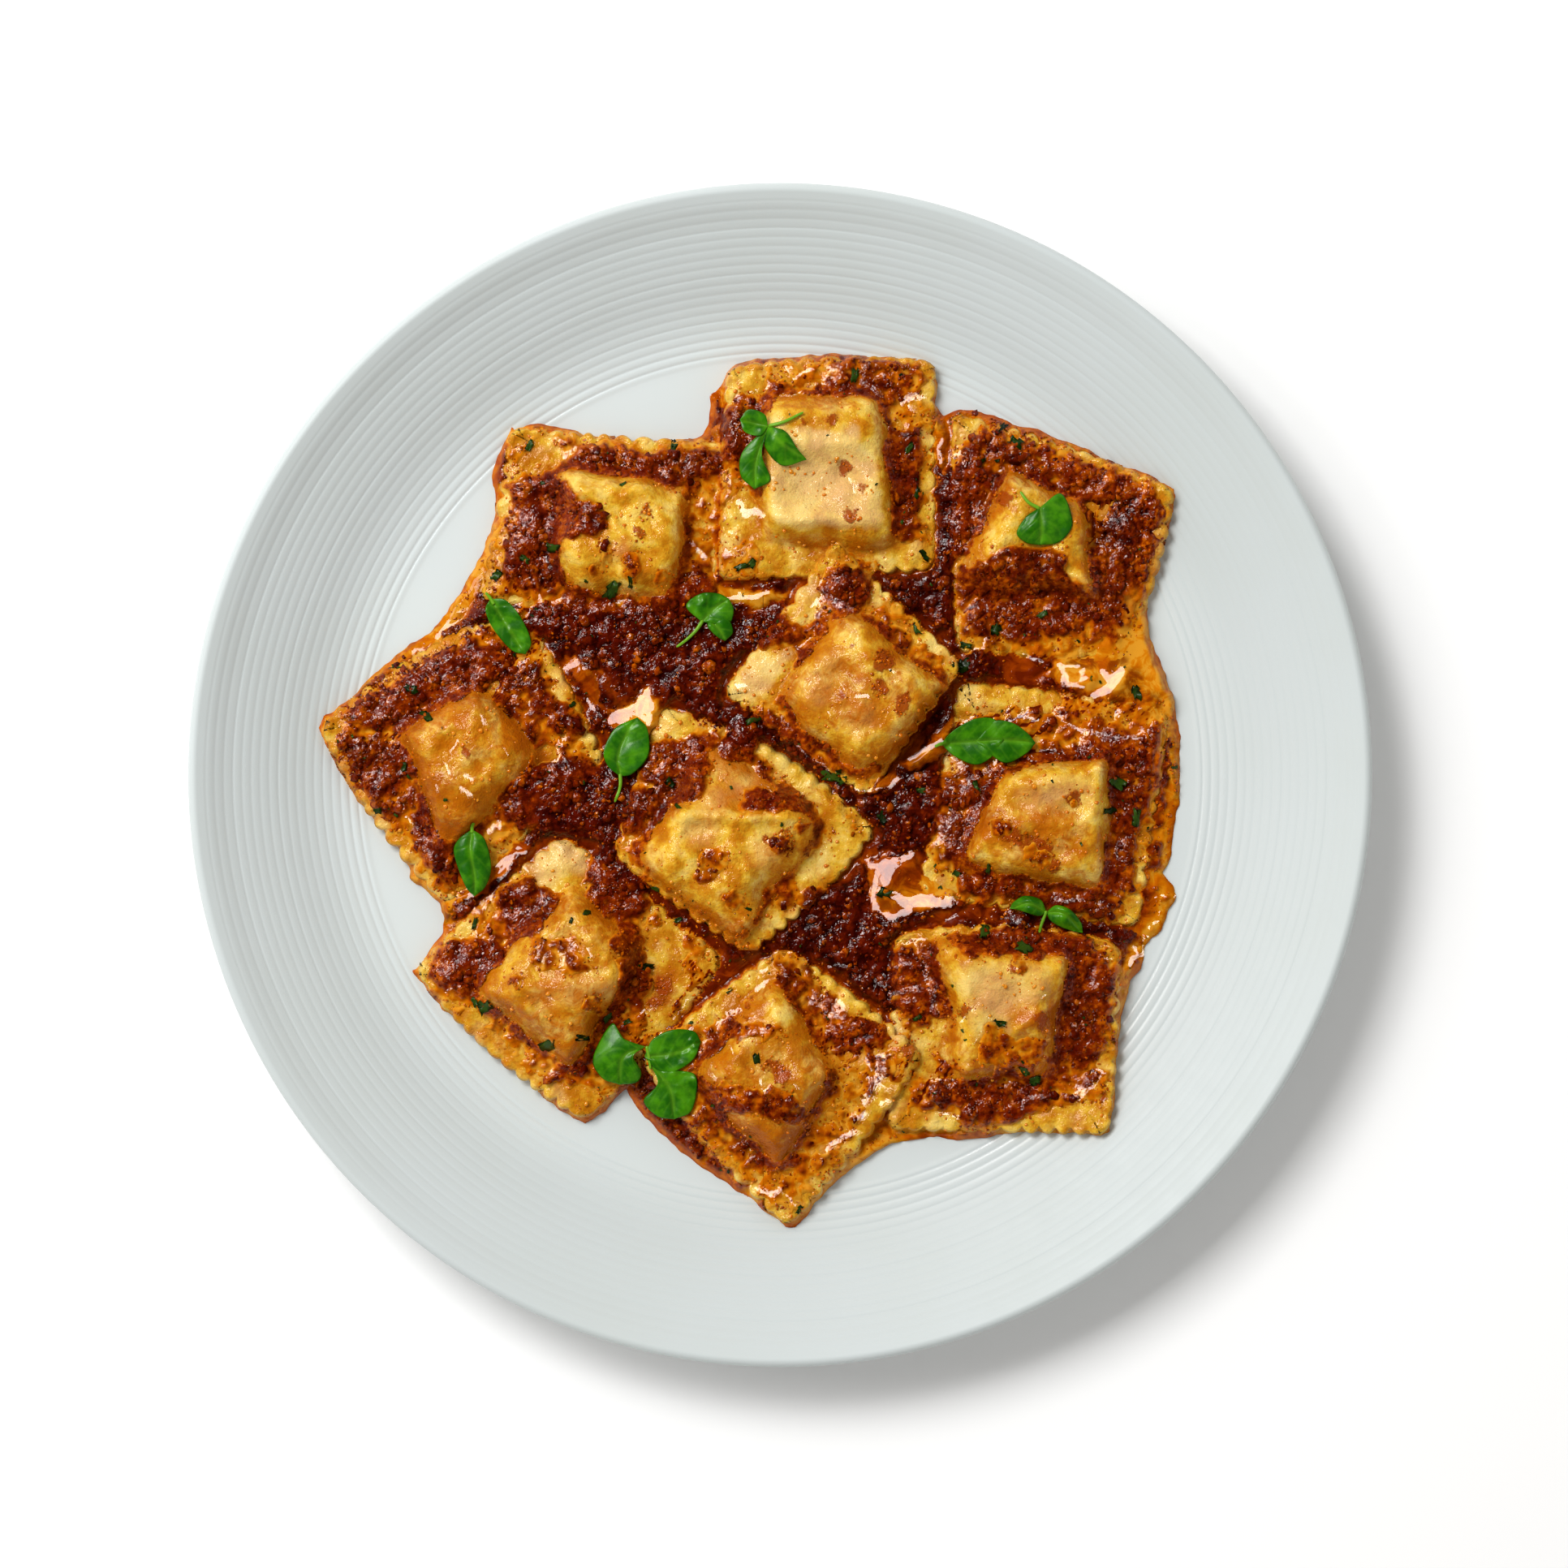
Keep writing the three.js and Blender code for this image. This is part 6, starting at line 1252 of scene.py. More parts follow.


# The sauce: deep red-brown mince with paler crumbs, its crevices painted dark as shade and its tips painted
# light as if lit, orange where it is thin or only liquid.
def sauceFinish():
    finish = Finish("minceSauce")
    thick, grainShare, pool = finish.value("thick"), finish.value("grain"), finish.value("pool")
    cloud = finish.spread(finish.noise(4.5, 4, 0.6, 1.2), 0.3, 0.7, 0.0, 0.44)
    liquid = finish.ramp(finish.plus(thick, finish.minus(cloud, 0.22)), sauceLook["liquid"])
    under = finish.spread(finish.noise(4.2, 3, 0.6, 1.0), 0.40, 0.62, 0.0, 0.7)
    under = finish.times(under, finish.spread(thick, 0.05, 0.2))
    liquid = finish.mix(finish.times(pool, under), liquid, sauceLook["under"])

    fine = finish.noise(1.25, 4, 0.62)
    # near a crumb's tip the mince is painted lighter as if lit, and in its crevices darker as painted shade
    tipHeight = finish.plus(finish.times(finish.value("tip"), 0.50), finish.times(fine, 0.70))
    mince = finish.ramp(finish.plus(tipHeight, finish.times(thick, -0.30)), sauceLook["mince"])
    mince = finish.mix(finish.spread(thick, 0.02, 0.14, 0.7, 0.0), mince, sauceLook["thinMince"])
    redder = finish.spread(finish.value("number"), 0.55, 0.95, 0.0, 0.6)
    varied = finish.mix(redder, mince, sauceLook["redMince"])
    darker = finish.spread(finish.noise(14, 2), 0.45, 0.7, 0.0, 0.5)
    varied = finish.mix(darker, varied, sauceLook["darkened"], "MULTIPLY")
    colour = finish.mix(grainShare, liquid, mince)
    colour = finish.mix(finish.times(grainShare, 0.75), colour, varied)
    # less gloss in the crevices, standing in for the shade that hides their reflections
    crevice = finish.spread(tipHeight, 0.30, 0.65, 0.5, 0.0)
    shine = finish.minus(sauceLook["shine"], finish.times(grainShare, crevice))
    shine = finish.plus(shine, finish.times(pool, sauceLook["poolShine"]))

    cells = finish.times(finish.minus(1.0, finish.cells(0.95)), finish.plus(grainShare, 0.05))
    grit = finish.times(finish.noise(0.5, 3, 0.6, 0.6), finish.plus(grainShare, 0.08))
    still = finish.minus(0.40, finish.times(pool, 0.36))
    ripple = finish.times(finish.noise(1.5, 2, 0.5, 0.6), finish.join("MAXIMUM", grainShare, still))
    filmBump = finish.bump([(ripple, 0.55)], finish.direction(finish.value("filmX"), finish.value("filmY")))
    return finish.done(Base_Color=colour, Roughness=0.5, Normal=finish.bump([(cells, 0.36), (grit, 0.14)]),
                       Specular_IOR_Level=0.02, Coat_Weight=shine, Coat_Roughness=0.03, Coat_IOR=1.6,
                       Coat_Normal=filmBump)


# One quarter of the sauce's sheet, closed by a wall down from its boundary and a fan of faces under it,
# inside the plate. The boundary is made of the sides that only one face has.
def addSauceQuarter(label, faces, layers, material):
    used, part = np.unique(faces, return_inverse=True)
    part = part.reshape(-1, 4)
    x, y = boardX.ravel()[used], boardY.ravel()[used]
    edges = np.concatenate([part[:, [k, (k + 1) % 4]] for k in range(4)])
    keys = edges.min(1) * len(used) + edges.max(1)
    first, count = np.unique(keys, return_index=True, return_counts=True)[1:]
    rimEdges = edges[first[count == 1]]
    rimPoints = np.unique(rimEdges)
    lookup = np.zeros(len(used), int)
    lookup[rimPoints] = len(used) + np.arange(len(rimPoints))
    underneath = plateTop(np.hypot(x[rimPoints], y[rimPoints])) - plate["wall"] / 2
    floorPlaces = np.stack([x[rimPoints], y[rimPoints], underneath], 1)
    middle = [(x.mean(), y.mean(), plate["wellTop"] - plate["wall"] / 2)]
    places = np.concatenate([np.stack([x, y, sauceTop.ravel()[used]], 1), floorPlaces, middle])
    start, end = rimEdges[:, 0], rimEdges[:, 1]
    walls = np.stack([end, start, lookup[start], lookup[end]], 1)
    fan = np.stack([lookup[end], lookup[start], np.full(len(start), len(places) - 1)], 1)
    hidden = np.zeros(len(places) - len(used))
    values = {key: np.concatenate([layer.ravel()[used], hidden]) for key, layer in layers.items()}
    piece = addPiece(label, places, [part, walls, fan], material, values)
    if label == "sauceNearLeft":
        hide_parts("sauce")
    print(label + ":", len(part), "faces")


# The sauce is one sheet over everything inside its edge, cut into quarters.
def makeSauce(material):
    layers = {"thick": thickness / 3, "grain": grain, "tip": tip, "number": crumbNumber,
              "filmX": filmX, "filmY": filmY, "pool": poolShare * (1 - grain)}
    kept = edgeDepth > -1.3
    faces = gridFaces(*kept.shape)
    faces = faces[kept.ravel()[faces].all(1)]
    right = boardX.ravel()[faces].mean(1) > -4
    far = boardY.ravel()[faces].mean(1) > -1
    addSauceQuarter("sauceNearLeft", faces[~right & ~far], layers, material)
    addSauceQuarter("sauceNearRight", faces[right & ~far], layers, material)
    addSauceQuarter("sauceFarLeft", faces[~right & far], layers, material)
    addSauceQuarter("sauceFarRight", faces[right & far], layers, material)


sauceMaterial = sauceFinish()
makeSauce(sauceMaterial)


basil = {
    "thick": 0.35, "puff": 0.45, "vein": 0.07, "veinPitch": 3.1, "rib": 0.18, "uneven": 0.25,
    "stem": 0.5, "lift": 0.35, "along": 56, "across": 40, "stemSteps": 25, "stemSides": 12,
    "light": shade(76, 142, 2), "dark": shade(34, 100, 0), "veinColour": shade(116, 168, 32),
}
# Each leaf runs from base to tip, with points of its middle rib and of its left and right edge on the
# way; the third number is the height above the sprig's lowest point.
sprigs = {
    "basil_1": {"leaves": [
        {"base": (-3, 88.5, 1), "tip": (-10.2, 90.2, 0.8), "rib": [(-6.5, 89.2, 0.3)],
         "left": [(-5, 86, 1.6), (-9, 87, 1.4)], "right": [(-4, 91.5, 1.4), (-8, 92.7, 1.2)]},
        {"base": (-3, 88.5, 1), "tip": (-6.5, 72.5, 0), "rib": [(-6, 80, 1)],
         "left": [(-5, 82, 1.2), (-2.5, 75, 0.6)], "right": [(-9.5, 82, 1), (-10, 76, 0.4)]},
        {"base": (-3, 88.5, 1), "tip": (6.8, 80, 0.6), "rib": [(0.5, 84, 1.6)],
         "left": [(1.5, 87, 1.2), (4.5, 82.5, 2.4)], "right": [(-4, 83.5, 0.8), (0.5, 78.5, 0.6)]}],
        "stem": [(-3, 88.5, 1.2), (1, 89.5, 2), (6, 92, 1.4)]},
    "basil_2": {"leaves": [
        {"base": (66, 68, 1.4), "tip": (66, 58.4, 0.2), "rib": [(66.5, 63, 1.8)],
         "left": [(71.5, 71.5, 0.6), (74.3, 64, 0.6), (71, 59.2, 0.2)],
         "right": [(62.5, 65.6, 1), (60.1, 61.5, 0.4), (62.5, 59, 0.2)]}],
        "stem": [(66, 67.6, 1.5), (63, 69.3, 1.6), (61, 72, 0.8)]},
    "basil_3": {"leaves": [
        {"base": (-74, 45, 0.6), "tip": (-65, 30.8, 0.4), "rib": [(-71.5, 41, 0.4), (-68, 35.5, 0.6)],
         "left": [(-70, 44.6, 1.6), (-66, 40, 2), (-63.5, 34, 1)],
         "right": [(-75.2, 42, 1.2), (-73, 37, 1.4), (-68.5, 31.8, 0.8)]}],
        "stem": [(-73, 43.5, 0.8), (-74, 45.2, 0.8), (-75.2, 46.6, 0.8)]},
    "basil_4": {"leaves": [
        {"base": (-20, 39, 0.8), "tip": (-13, 45, 0.6), "rib": [(-17, 42.2, 1)],
         "left": [(-24, 43, 1.2), (-20.5, 46.2, 1), (-16, 46.4, 0.6)],
         "right": [(-17, 38.6, 1.2), (-13, 38.6, 1), (-11.8, 42, 0.6)]},
        {"base": (-18, 40, 0.8), "tip": (-14, 34.2, 0.4), "rib": [(-15.5, 37, 1)],
         "left": [(-13.5, 40, 1.2), (-12, 36.5, 0.8)], "right": [(-18.5, 37.8, 1), (-16, 35.2, 0.6)]}],
        "stem": [(-19.6, 39.6, 1), (-21.5, 36.8, 1.4), (-24, 34.4, 1), (-26.5, 32.6, 0.6)]},
    "basil_5": {"leaves": [
        {"base": (-40.8, -0.4, 0.6), "tip": (-36.4, 14.7, 0.6), "rib": [(-41.2, 5, 0.8), (-39, 10.6, 0.8)],
         "left": [(-44, 2.4, 1.6), (-44.9, 6.4, 1.8), (-42, 12, 1.2)],
         "right": [(-37.5, 0.4, 1.2), (-33.6, 5, 1.8), (-33.8, 11.6, 1)]}],
        "stem": [(-40.8, 0.4, 0.9), (-40.8, -3, 1), (-42.2, -7, 0.6)]},
    "basil_6": {"leaves": [
        {"base": (-78.5, -13.8, 0.6), "tip": (-78, -31, 0.4), "rib": [(-79, -19, 1.6), (-77.8, -26, 1.2)],
         "left": [(-75.2, -16.5, 1.2), (-73.6, -23.5, 0.6), (-75.2, -28.6, 0.6)],
         "right": [(-82, -16.4, 1), (-83.2, -20, 0.6), (-80.4, -28, 0.8)]}],
        "stem": [(-78.5, -14.8, 0.8), (-78.5, -13.4, 0.8), (-78, -12.2, 0.8)]},
    "basil_7": {"leaves": [
        {"base": (41, 8, 0.4), "tip": (57, 9, 1.4), "rib": [(49, 8.4, 0.6)],
         "right": [(44.5, 4.8, 1.2), (50, 2.6, 1), (54.5, 5, 1)],
         "left": [(44.5, 11.6, 1.6), (50, 14.4, 2), (55, 14, 1.8)]},
        {"base": (50, 8.6, 1), "tip": (65.2, 8.2, 0.6), "rib": [(58, 8.8, 1)],
         "right": [(54, 5, 1.2), (58, 3, 1), (63, 5.6, 0.6)],
         "left": [(54, 13.6, 1.8), (59, 13.4, 1.8), (63, 10.8, 1)]}],
        "stem": [(42, 8, 0.6), (40.6, 7.8, 0.6), (39.4, 7.2, 0.6)]},
    "basil_8": {"leaves": [
        {"base": (68, -35, 1), "tip": (58.6, -34.2, 0), "rib": [(63.5, -32.8, 3)],
         "right": [(66.5, -31.8, 1.6), (62.5, -30.8, 1.6), (59.6, -32.4, 0.6)],
         "left": [(66, -36, 2.2), (63, -35.2, 2.6), (60.4, -34.4, 1)]},
        {"base": (68, -35, 1), "tip": (77.3, -40.3, 0), "rib": [(72.6, -35.6, 3)],
         "right": [(69, -37.2, 1.6), (72, -39, 1.6), (75.4, -40, 0.6)],
         "left": [(70.4, -33.2, 2), (74, -34.3, 2.6), (76.8, -37.6, 1)]}],
        "stem": [(68, -34.6, 1.2), (67, -37.4, 1), (66, -40.2, 0.4)]},
    "basil_9": {"leaves": [
        {"base": (-34.4, -69.2, 1.3), "tip": (-41, -79, 0), "rib": [(-40, -72, 2)],
         "right": [(-40, -67, 1.6), (-43, -63.4, 0.6), (-47.7, -72, 0.6), (-45.5, -77.2, 0.2)],
         "left": [(-37.6, -71, 1.6), (-35.4, -75.6, 0.8), (-36.6, -78.4, 0.4)]},
        {"base": (-34.6, -71.8, 1.2), "tip": (-20.2, -68, 0.8), "rib": [(-27, -71, 1)],
         "right": [(-31.5, -75, 1.4), (-27, -75.6, 1.6), (-22, -72.4, 1.4)],
         "left": [(-32.5, -67.4, 1.6), (-27.5, -64.9, 2.2), (-22, -65.3, 1.6)]},
        {"base": (-33, -74, 1), "tip": (-27, -87.8, 0.4), "rib": [(-28, -80, 1)],
         "left": [(-26, -75.2, 0.6), (-21.3, -77, 1), (-22.4, -85.4, 0.4)],
         "right": [(-31, -78.6, 1), (-34.8, -83, 0.4), (-31.4, -87, 0.4)]}],
        "stem": [(-34, -69, 1.2), (-33.4, -72, 1.2), (-33, -75, 1.2)]},
}


# A ball of 32 triangles: an octahedron with each face split in four and pushed out to the sphere.
def makeBall():
    tips = np.array([(1, 0, 0), (0, 1, 0), (-1, 0, 0), (0, -1, 0), (0, 0, 1), (0, 0, -1)], float)
    sides = [(0, 1, 4), (1, 2, 4), (2, 3, 4), (3, 0, 4), (1, 0, 5), (2, 1, 5), (3, 2, 5), (0, 3, 5)]
    corners = []
    for side in sides:
        a, b, c = tips[list(side)]
        ab, bc, ca = (a + b) / 2, (b + c) / 2, (c + a) / 2
        corners += [a, ab, ca, ab, b, bc, ca, bc, c, ab, bc, ca]
    corners = np.array(corners)
    corners = np.round(corners / np.linalg.norm(corners, axis=1)[:, None], 6)
    places, faces = np.unique(corners, axis=0, return_inverse=True)
    return places, faces.reshape(-1, 3)


# Random turns as matrices, from random quaternions.
def randomTurns(count):
    w, x, y, z = random.normal(size=(4, count))
    length = np.sqrt(w * w + x * x + y * y + z * z)
    w, x, y, z = w / length, x / length, y / length, z / length
    return np.stack([
        np.stack([1 - 2 * (y * y + z * z), 2 * (x * y - z * w), 2 * (x * z + y * w)], -1),
        np.stack([2 * (x * y + z * w), 1 - 2 * (x * x + z * z), 2 * (y * z - x * w)], -1),
        np.stack([2 * (x * z - y * w), 2 * (y * z + x * w), 1 - 2 * (x * x + y * y)], -1)], 1)


# Places drawn at random over the board where a chance layer allows them.
def strew(chance, count):
    rows, columns = chance.shape
    tries = random.random((count * 60, 3))
    row, column = (tries[:, 0] * (rows - 1)).astype(int), (tries[:, 1] * (columns - 1)).astype(int)
    hit = np.flatnonzero(tries[:, 2] < chance[row, column])[:count]
    x = board["left"] + tries[hit, 1] * (columns - 1) * board["step"]
    return x, board["bottom"] + tries[hit, 0] * (rows - 1) * board["step"]


# Loose lumps: how many at most, the least radius, what chance adds to it and the power that keeps most of
# them small, how deep they sink, what is left of their height, how dented they are and how pale.
loose = {
    "minceCoarse": {"count": 1500, "radius": (0.4, 0.9, 1.8), "sink": 0.72, "flat": 0.62, "dents": 0.42,
                    "tips": (0.15, 0.85)},
    "minceFine": {"count": 3600, "radius": (0.22, 0.34, 1.5), "sink": 0.6, "flat": 0.75, "dents": 0.4,
                  "tips": (0.15, 0.85)},
    "strayCrumbs": {"count": 3400, "radius": (0.15, 0.30, 2), "sink": 0.3, "flat": 0.75, "dents": 0.3,
                    "tips": (0.8, 1.7)},
    "oilBeads": {"count": 900, "radius": (0.22, 0.42, 2.2), "sink": 0.25, "flat": 0.45, "dents": 0.12,
                 "tips": (0.3, 0.9)},
}


# One ball per place, dented by waves that differ for each, squashed unevenly and turned at random.
def makeLumps(label, chance, material):
    kind = loose[label]
    x, y = strew(chance, kind["count"])
    count = len(x)
    least, added, power = kind["radius"]
    radius = least + added * random.random(count) ** power
    ball, faces = makeBall()
    phase = random.random((count, 3, 1)) * 6.3
    waves = sum(np.sin(ball[None, :, k] * (2.6 + k) + phase[:, k]) for k in range(3))
    shape = ball[None] * (1 + kind["dents"] * waves[..., None] / 1.5)
    shape = shape * (0.7 + 0.6 * random.random((count, 1, 3)))
    shape = np.einsum("nij,nvj->nvi", randomTurns(count), shape) * radius[:, None, None]
    shape[..., 2] *= kind["flat"]
    z = read(surface, x, y) + radius * (kind["flat"] - kind["sink"]) * 0.6
    places = shape + np.stack([x, y, z], 1)[:, None]
    domed = 0.6 * (shape / radius[:, None, None])  # the gloss slopes away round each lump
    allFaces = faces[None] + (np.arange(count) * len(ball))[:, None, None]
    values = {"number": np.repeat(random.random(count), len(ball)), "grain": np.ones(count * len(ball)),
              "tip": np.repeat(random.uniform(*kind["tips"], count), len(ball)),
              "thick": np.full(count * len(ball), 0.3),
              "filmX": read(filmX, places[..., 0], places[..., 1]) - domed[..., 0],
              "filmY": read(filmY, places[..., 0], places[..., 1]) - domed[..., 1]}
    piece = addPiece(label, places.reshape(-1, 3), [allFaces.reshape(-1, 3)], material, values)
    print(label + ":", count)


# Nothing is strewn under the basil.
leafShade = np.zeros(foodTop.shape)
for sprig in sprigs.values():
    for leaf in sprig["leaves"]:
        outline = [leaf["base"], *leaf["right"], leaf["tip"], *leaf["left"][::-1]]
        paint(leafShade, 1.0, [[point[:2] for point in outline]], 1.2)
uncovered = 1 - leafShade
minceChance = grain * smoothStep(0.0, 1.0, filmed) * (edgeDepth > 1.0) * uncovered
clumps = smoothStep(-0.25, 0.35, boardNoise(5.5, 80))
makeLumps("minceCoarse", minceChance * (0.06 + 0.94 * clumps), sauceMaterial)
makeLumps("minceFine", minceChance * (0.25 + 0.75 * clumps), sauceMaterial)
fringe = smoothStep(-0.95, -0.2, filmed) * smoothStep(0.5, -0.1, filmed) * (edgeDepth > 1.2) * uncovered
onDough = 0.5 * fringe + 0.9 * smoothStep(0.2, 0.9, oilLayer) + 0.3 * strips * (edgeDepth > 0.8)
clumps = smoothStep(-0.2, 0.4, boardNoise(4, 81))
makeLumps("strayCrumbs", np.clip(onDough, 0, 1) * (0.15 + 0.85 * clumps), sauceMaterial)


# Amber oil, for the beads.
def oilFinish():
    finish = Finish("amberOil")
    clouds = finish.spread(finish.noise(2, 2), 0.35, 0.65)
    colour = finish.mix(clouds, shade(224, 150, 40), shade(206, 112, 10))
    return finish.done(Base_Color=colour, Roughness=0.2, Specular_IOR_Level=0.2, Coat_Weight=1.0,
                       Coat_Roughness=0.03, Normal=finish.bump([(finish.noise(0.8, 2), 0.02)]))


beadChance = smoothStep(0.4, -0.4, filmed) * (ownerLayer > 0) * (edgeDepth > 1.5) * uncovered
beadChance = beadChance * smoothStep(-0.3, 0.5, boardNoise(7, 82) + 0.5 * (pillowLayer < 1))
makeLumps("oilBeads", np.clip(beadChance, 0, 1), oilFinish())


# A leaf's green: mottled from dark to light, paler along its veins and on its underside.
def leafFinish(name, light, dark, vein):
    finish = Finish(name)
    colour = finish.mix(finish.spread(finish.noise(4, 3), 0.35, 0.7), dark, light)
    colour = finish.mix(finish.value("rib"), colour, vein)
    colour = finish.mix(finish.value("side"), colour, shade(104, 146, 40))
    rough = finish.spread(finish.noise(3, 2), 0.3, 0.7, 0.30, 0.44)
    bump = finish.bump([(finish.noise(0.7, 3), 0.05), (finish.noise(0.25, 2), 0.015)])
    return finish.done(Base_Color=colour, Roughness=rough, Normal=bump, Specular_IOR_Level=0.25,
                       Coat_Weight=0.25, Coat_Roughness=0.15, Coat_IOR=1.4)


# A smooth line through points, as Catmull-Rom pieces of even length in the parameter.
def smoothLine(points, share):
    points = np.array(points, float)
    padded = np.concatenate([[2 * points[0] - points[1]], points, [2 * points[-1] - points[-2]]])
    place = np.clip(share, 0, 1) * (len(points) - 1)
    piece = np.minimum(place.astype(int), len(points) - 2)
    s = (place - piece)[:, None]
    a, b, c, d = (padded[piece + k] for k in range(4))
    square, cube = 2 * a - 5 * b + 4 * c - d, 3 * b - a - 3 * c + d
    return 0.5 * (2 * b + (c - a) * s + square * s ** 2 + cube * s ** 3)


# A leaf: across it a parabola through left edge, rib and right edge. Each half puffs up between the
# rib and the edge and sinks along side veins that lean towards the tip.
def makeLeaf(leaf):
    share = np.linspace(0, 1, basil["along"] + 1)
    left, rib, right = (smoothLine([leaf["base"], *leaf[line], leaf["tip"]], share)
                        for line in ("left", "rib", "right"))
    across = np.linspace(-1, 1, basil["across"] + 1)[None, :, None]
    s = np.sign(across) * np.abs(across) ** 0.9
    places = rib[:, None] * (1 - s ** 2) + left[:, None] * s * (s - 1) / 2 + right[:, None] * s * (s + 1) / 2
    side = np.abs(across[..., 0])
    length = np.linalg.norm(np.diff(rib, axis=0), axis=1).sum()
    width = np.linalg.norm(right - left, axis=1)[:, None] / 2
    along = share[:, None] * length
    phase = (along - 0.75 * side * width) / basil["veinPitch"] + 0.5 * (across[..., 0] > 0)
    vein = np.exp(-((phase - np.round(phase)) / 0.09) ** 2)
    vein = vein * smoothStep(0.0, 0.2, side) * smoothStep(1.0, 0.75, side)
    ribLine = np.exp(-(side * width / 0.45) ** 2) * smoothStep(1.0, 0.8, share)[:, None]
    narrow = np.minimum(1, width / 2.5)
    puff = basil["puff"] * np.sin(math.pi * side ** 0.8) * narrow
    relief = puff - basil["vein"] * vein * narrow - basil["rib"] * ribLine
    relief = relief + basil["uneven"] * noise(places[..., 0], places[..., 1], 4, 90) * narrow
    closeness = np.sqrt(np.clip(1 - side ** 6, 0, 1)) * np.minimum(1, width / 0.8)
    upper, lower = places.copy(), places.copy()
    upper[..., 2] += relief + basil["thick"] / 2 * closeness
    lower[..., 2] += relief - basil["thick"] / 2 * closeness
    rows, columns = basil["along"] + 1, basil["across"] + 1
    faces = gridFaces(rows, columns)
    across, along = (right - left)[rows // 2], rib[-1] - rib[0]
    if across[0] * along[1] < across[1] * along[0]:  # the leaf's left edge lies to its right: turn the faces
        faces = faces[:, ::-1]
    allPlaces = np.concatenate([upper.reshape(-1, 3), lower.reshape(-1, 3)])
    allFaces = np.concatenate([faces, faces[:, ::-1] + rows * columns])
    shown = (np.clip(0.45 * ribLine + 0.16 * vein, 0, 1) + 0 * side).ravel()
    values = {"rib": np.tile(shown, 2), "side": np.repeat([0, 0.7], rows * columns),
              "lowest": np.tile(lower[..., 2].ravel(), 2)}
    return allPlaces, allFaces, values


# A round stem: circles carried along a smooth line, thinner towards its end, closed by a point at each end.
def makeStem(points):
    rings, sides = basil["stemSteps"], basil["stemSides"]
    share = np.linspace(0, 1, rings)
    path = smoothLine(points, share)
    along = np.gradient(path, axis=0)
    along /= np.linalg.norm(along, axis=1)[:, None]
    sideways = np.cross(along, (0, 0, 1.0))
    sideways /= np.linalg.norm(sideways, axis=1)[:, None] + 1e-9
    upwards = np.cross(sideways, along)
    turn = np.linspace(0, 2 * math.pi, sides, endpoint=False)[None, :, None]
    wide = basil["stem"] * (1 - 0.35 * share) * np.sqrt(np.clip(1 - (2 * share - 1) ** 24, 0.02, 1))
    circles = np.cos(turn) * sideways[:, None] + np.sin(turn) * upwards[:, None]
    body = (path[:, None] + wide[:, None, None] * circles).reshape(-1, 3)
    places = np.concatenate([body, path[:1], path[-1:]])
    ends = endFaces(rings, sides)
    ends = np.concatenate([ends, ends[:, -1:]], 1)  # as four-cornered faces with the last corner twice
    values = {"rib": np.full(len(places), 1.0), "side": np.full(len(places), 0.2), "lowest": places[:, 2]}
    return places, np.concatenate([gridFaces(rings, sides, closed=True), ends]), values


# A sprig: its leaves and stem in one piece, let down onto the food until only its lowest parts touch, and
# raised where the food is higher. Both faces of a leaf rise together, so that it keeps its thickness.
def makeSprig(name, sprig, material):
    parts = [makeLeaf(leaf) for leaf in sprig["leaves"]] + [makeStem(sprig["stem"])]
    starts = np.cumsum([0] + [len(part[0]) for part in parts])
    places = np.concatenate([part[0] for part in parts])
    faces = np.concatenate([part[1] + start for part, start in zip(parts, starts)])
    values = {label: np.concatenate([part[2][label] for part in parts]) for label in parts[0][2]}
    lowest = values.pop("lowest")
    ground = read(softened(surface, 1.2), places[:, 0], places[:, 1])
    drop = np.percentile(ground - places[:, 2], 92) + basil["lift"]
    resting = read(surface, places[:, 0], places[:, 1]) + basil["lift"]
    places[:, 2] += smoothMax(lowest + drop, resting, 0.5) - lowest
    places, blocks, values = welded(places, faces, values)
    piece = addPiece("sprig_" + name.split("_")[1], places, blocks, material, values)
    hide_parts(name)


basilMaterial = leafFinish("basilLeaf", basil["light"], basil["dark"], basil["veinColour"])
for name, sprig in sprigs.items():
    makeSprig(name, sprig, basilMaterial)
print("basil made")


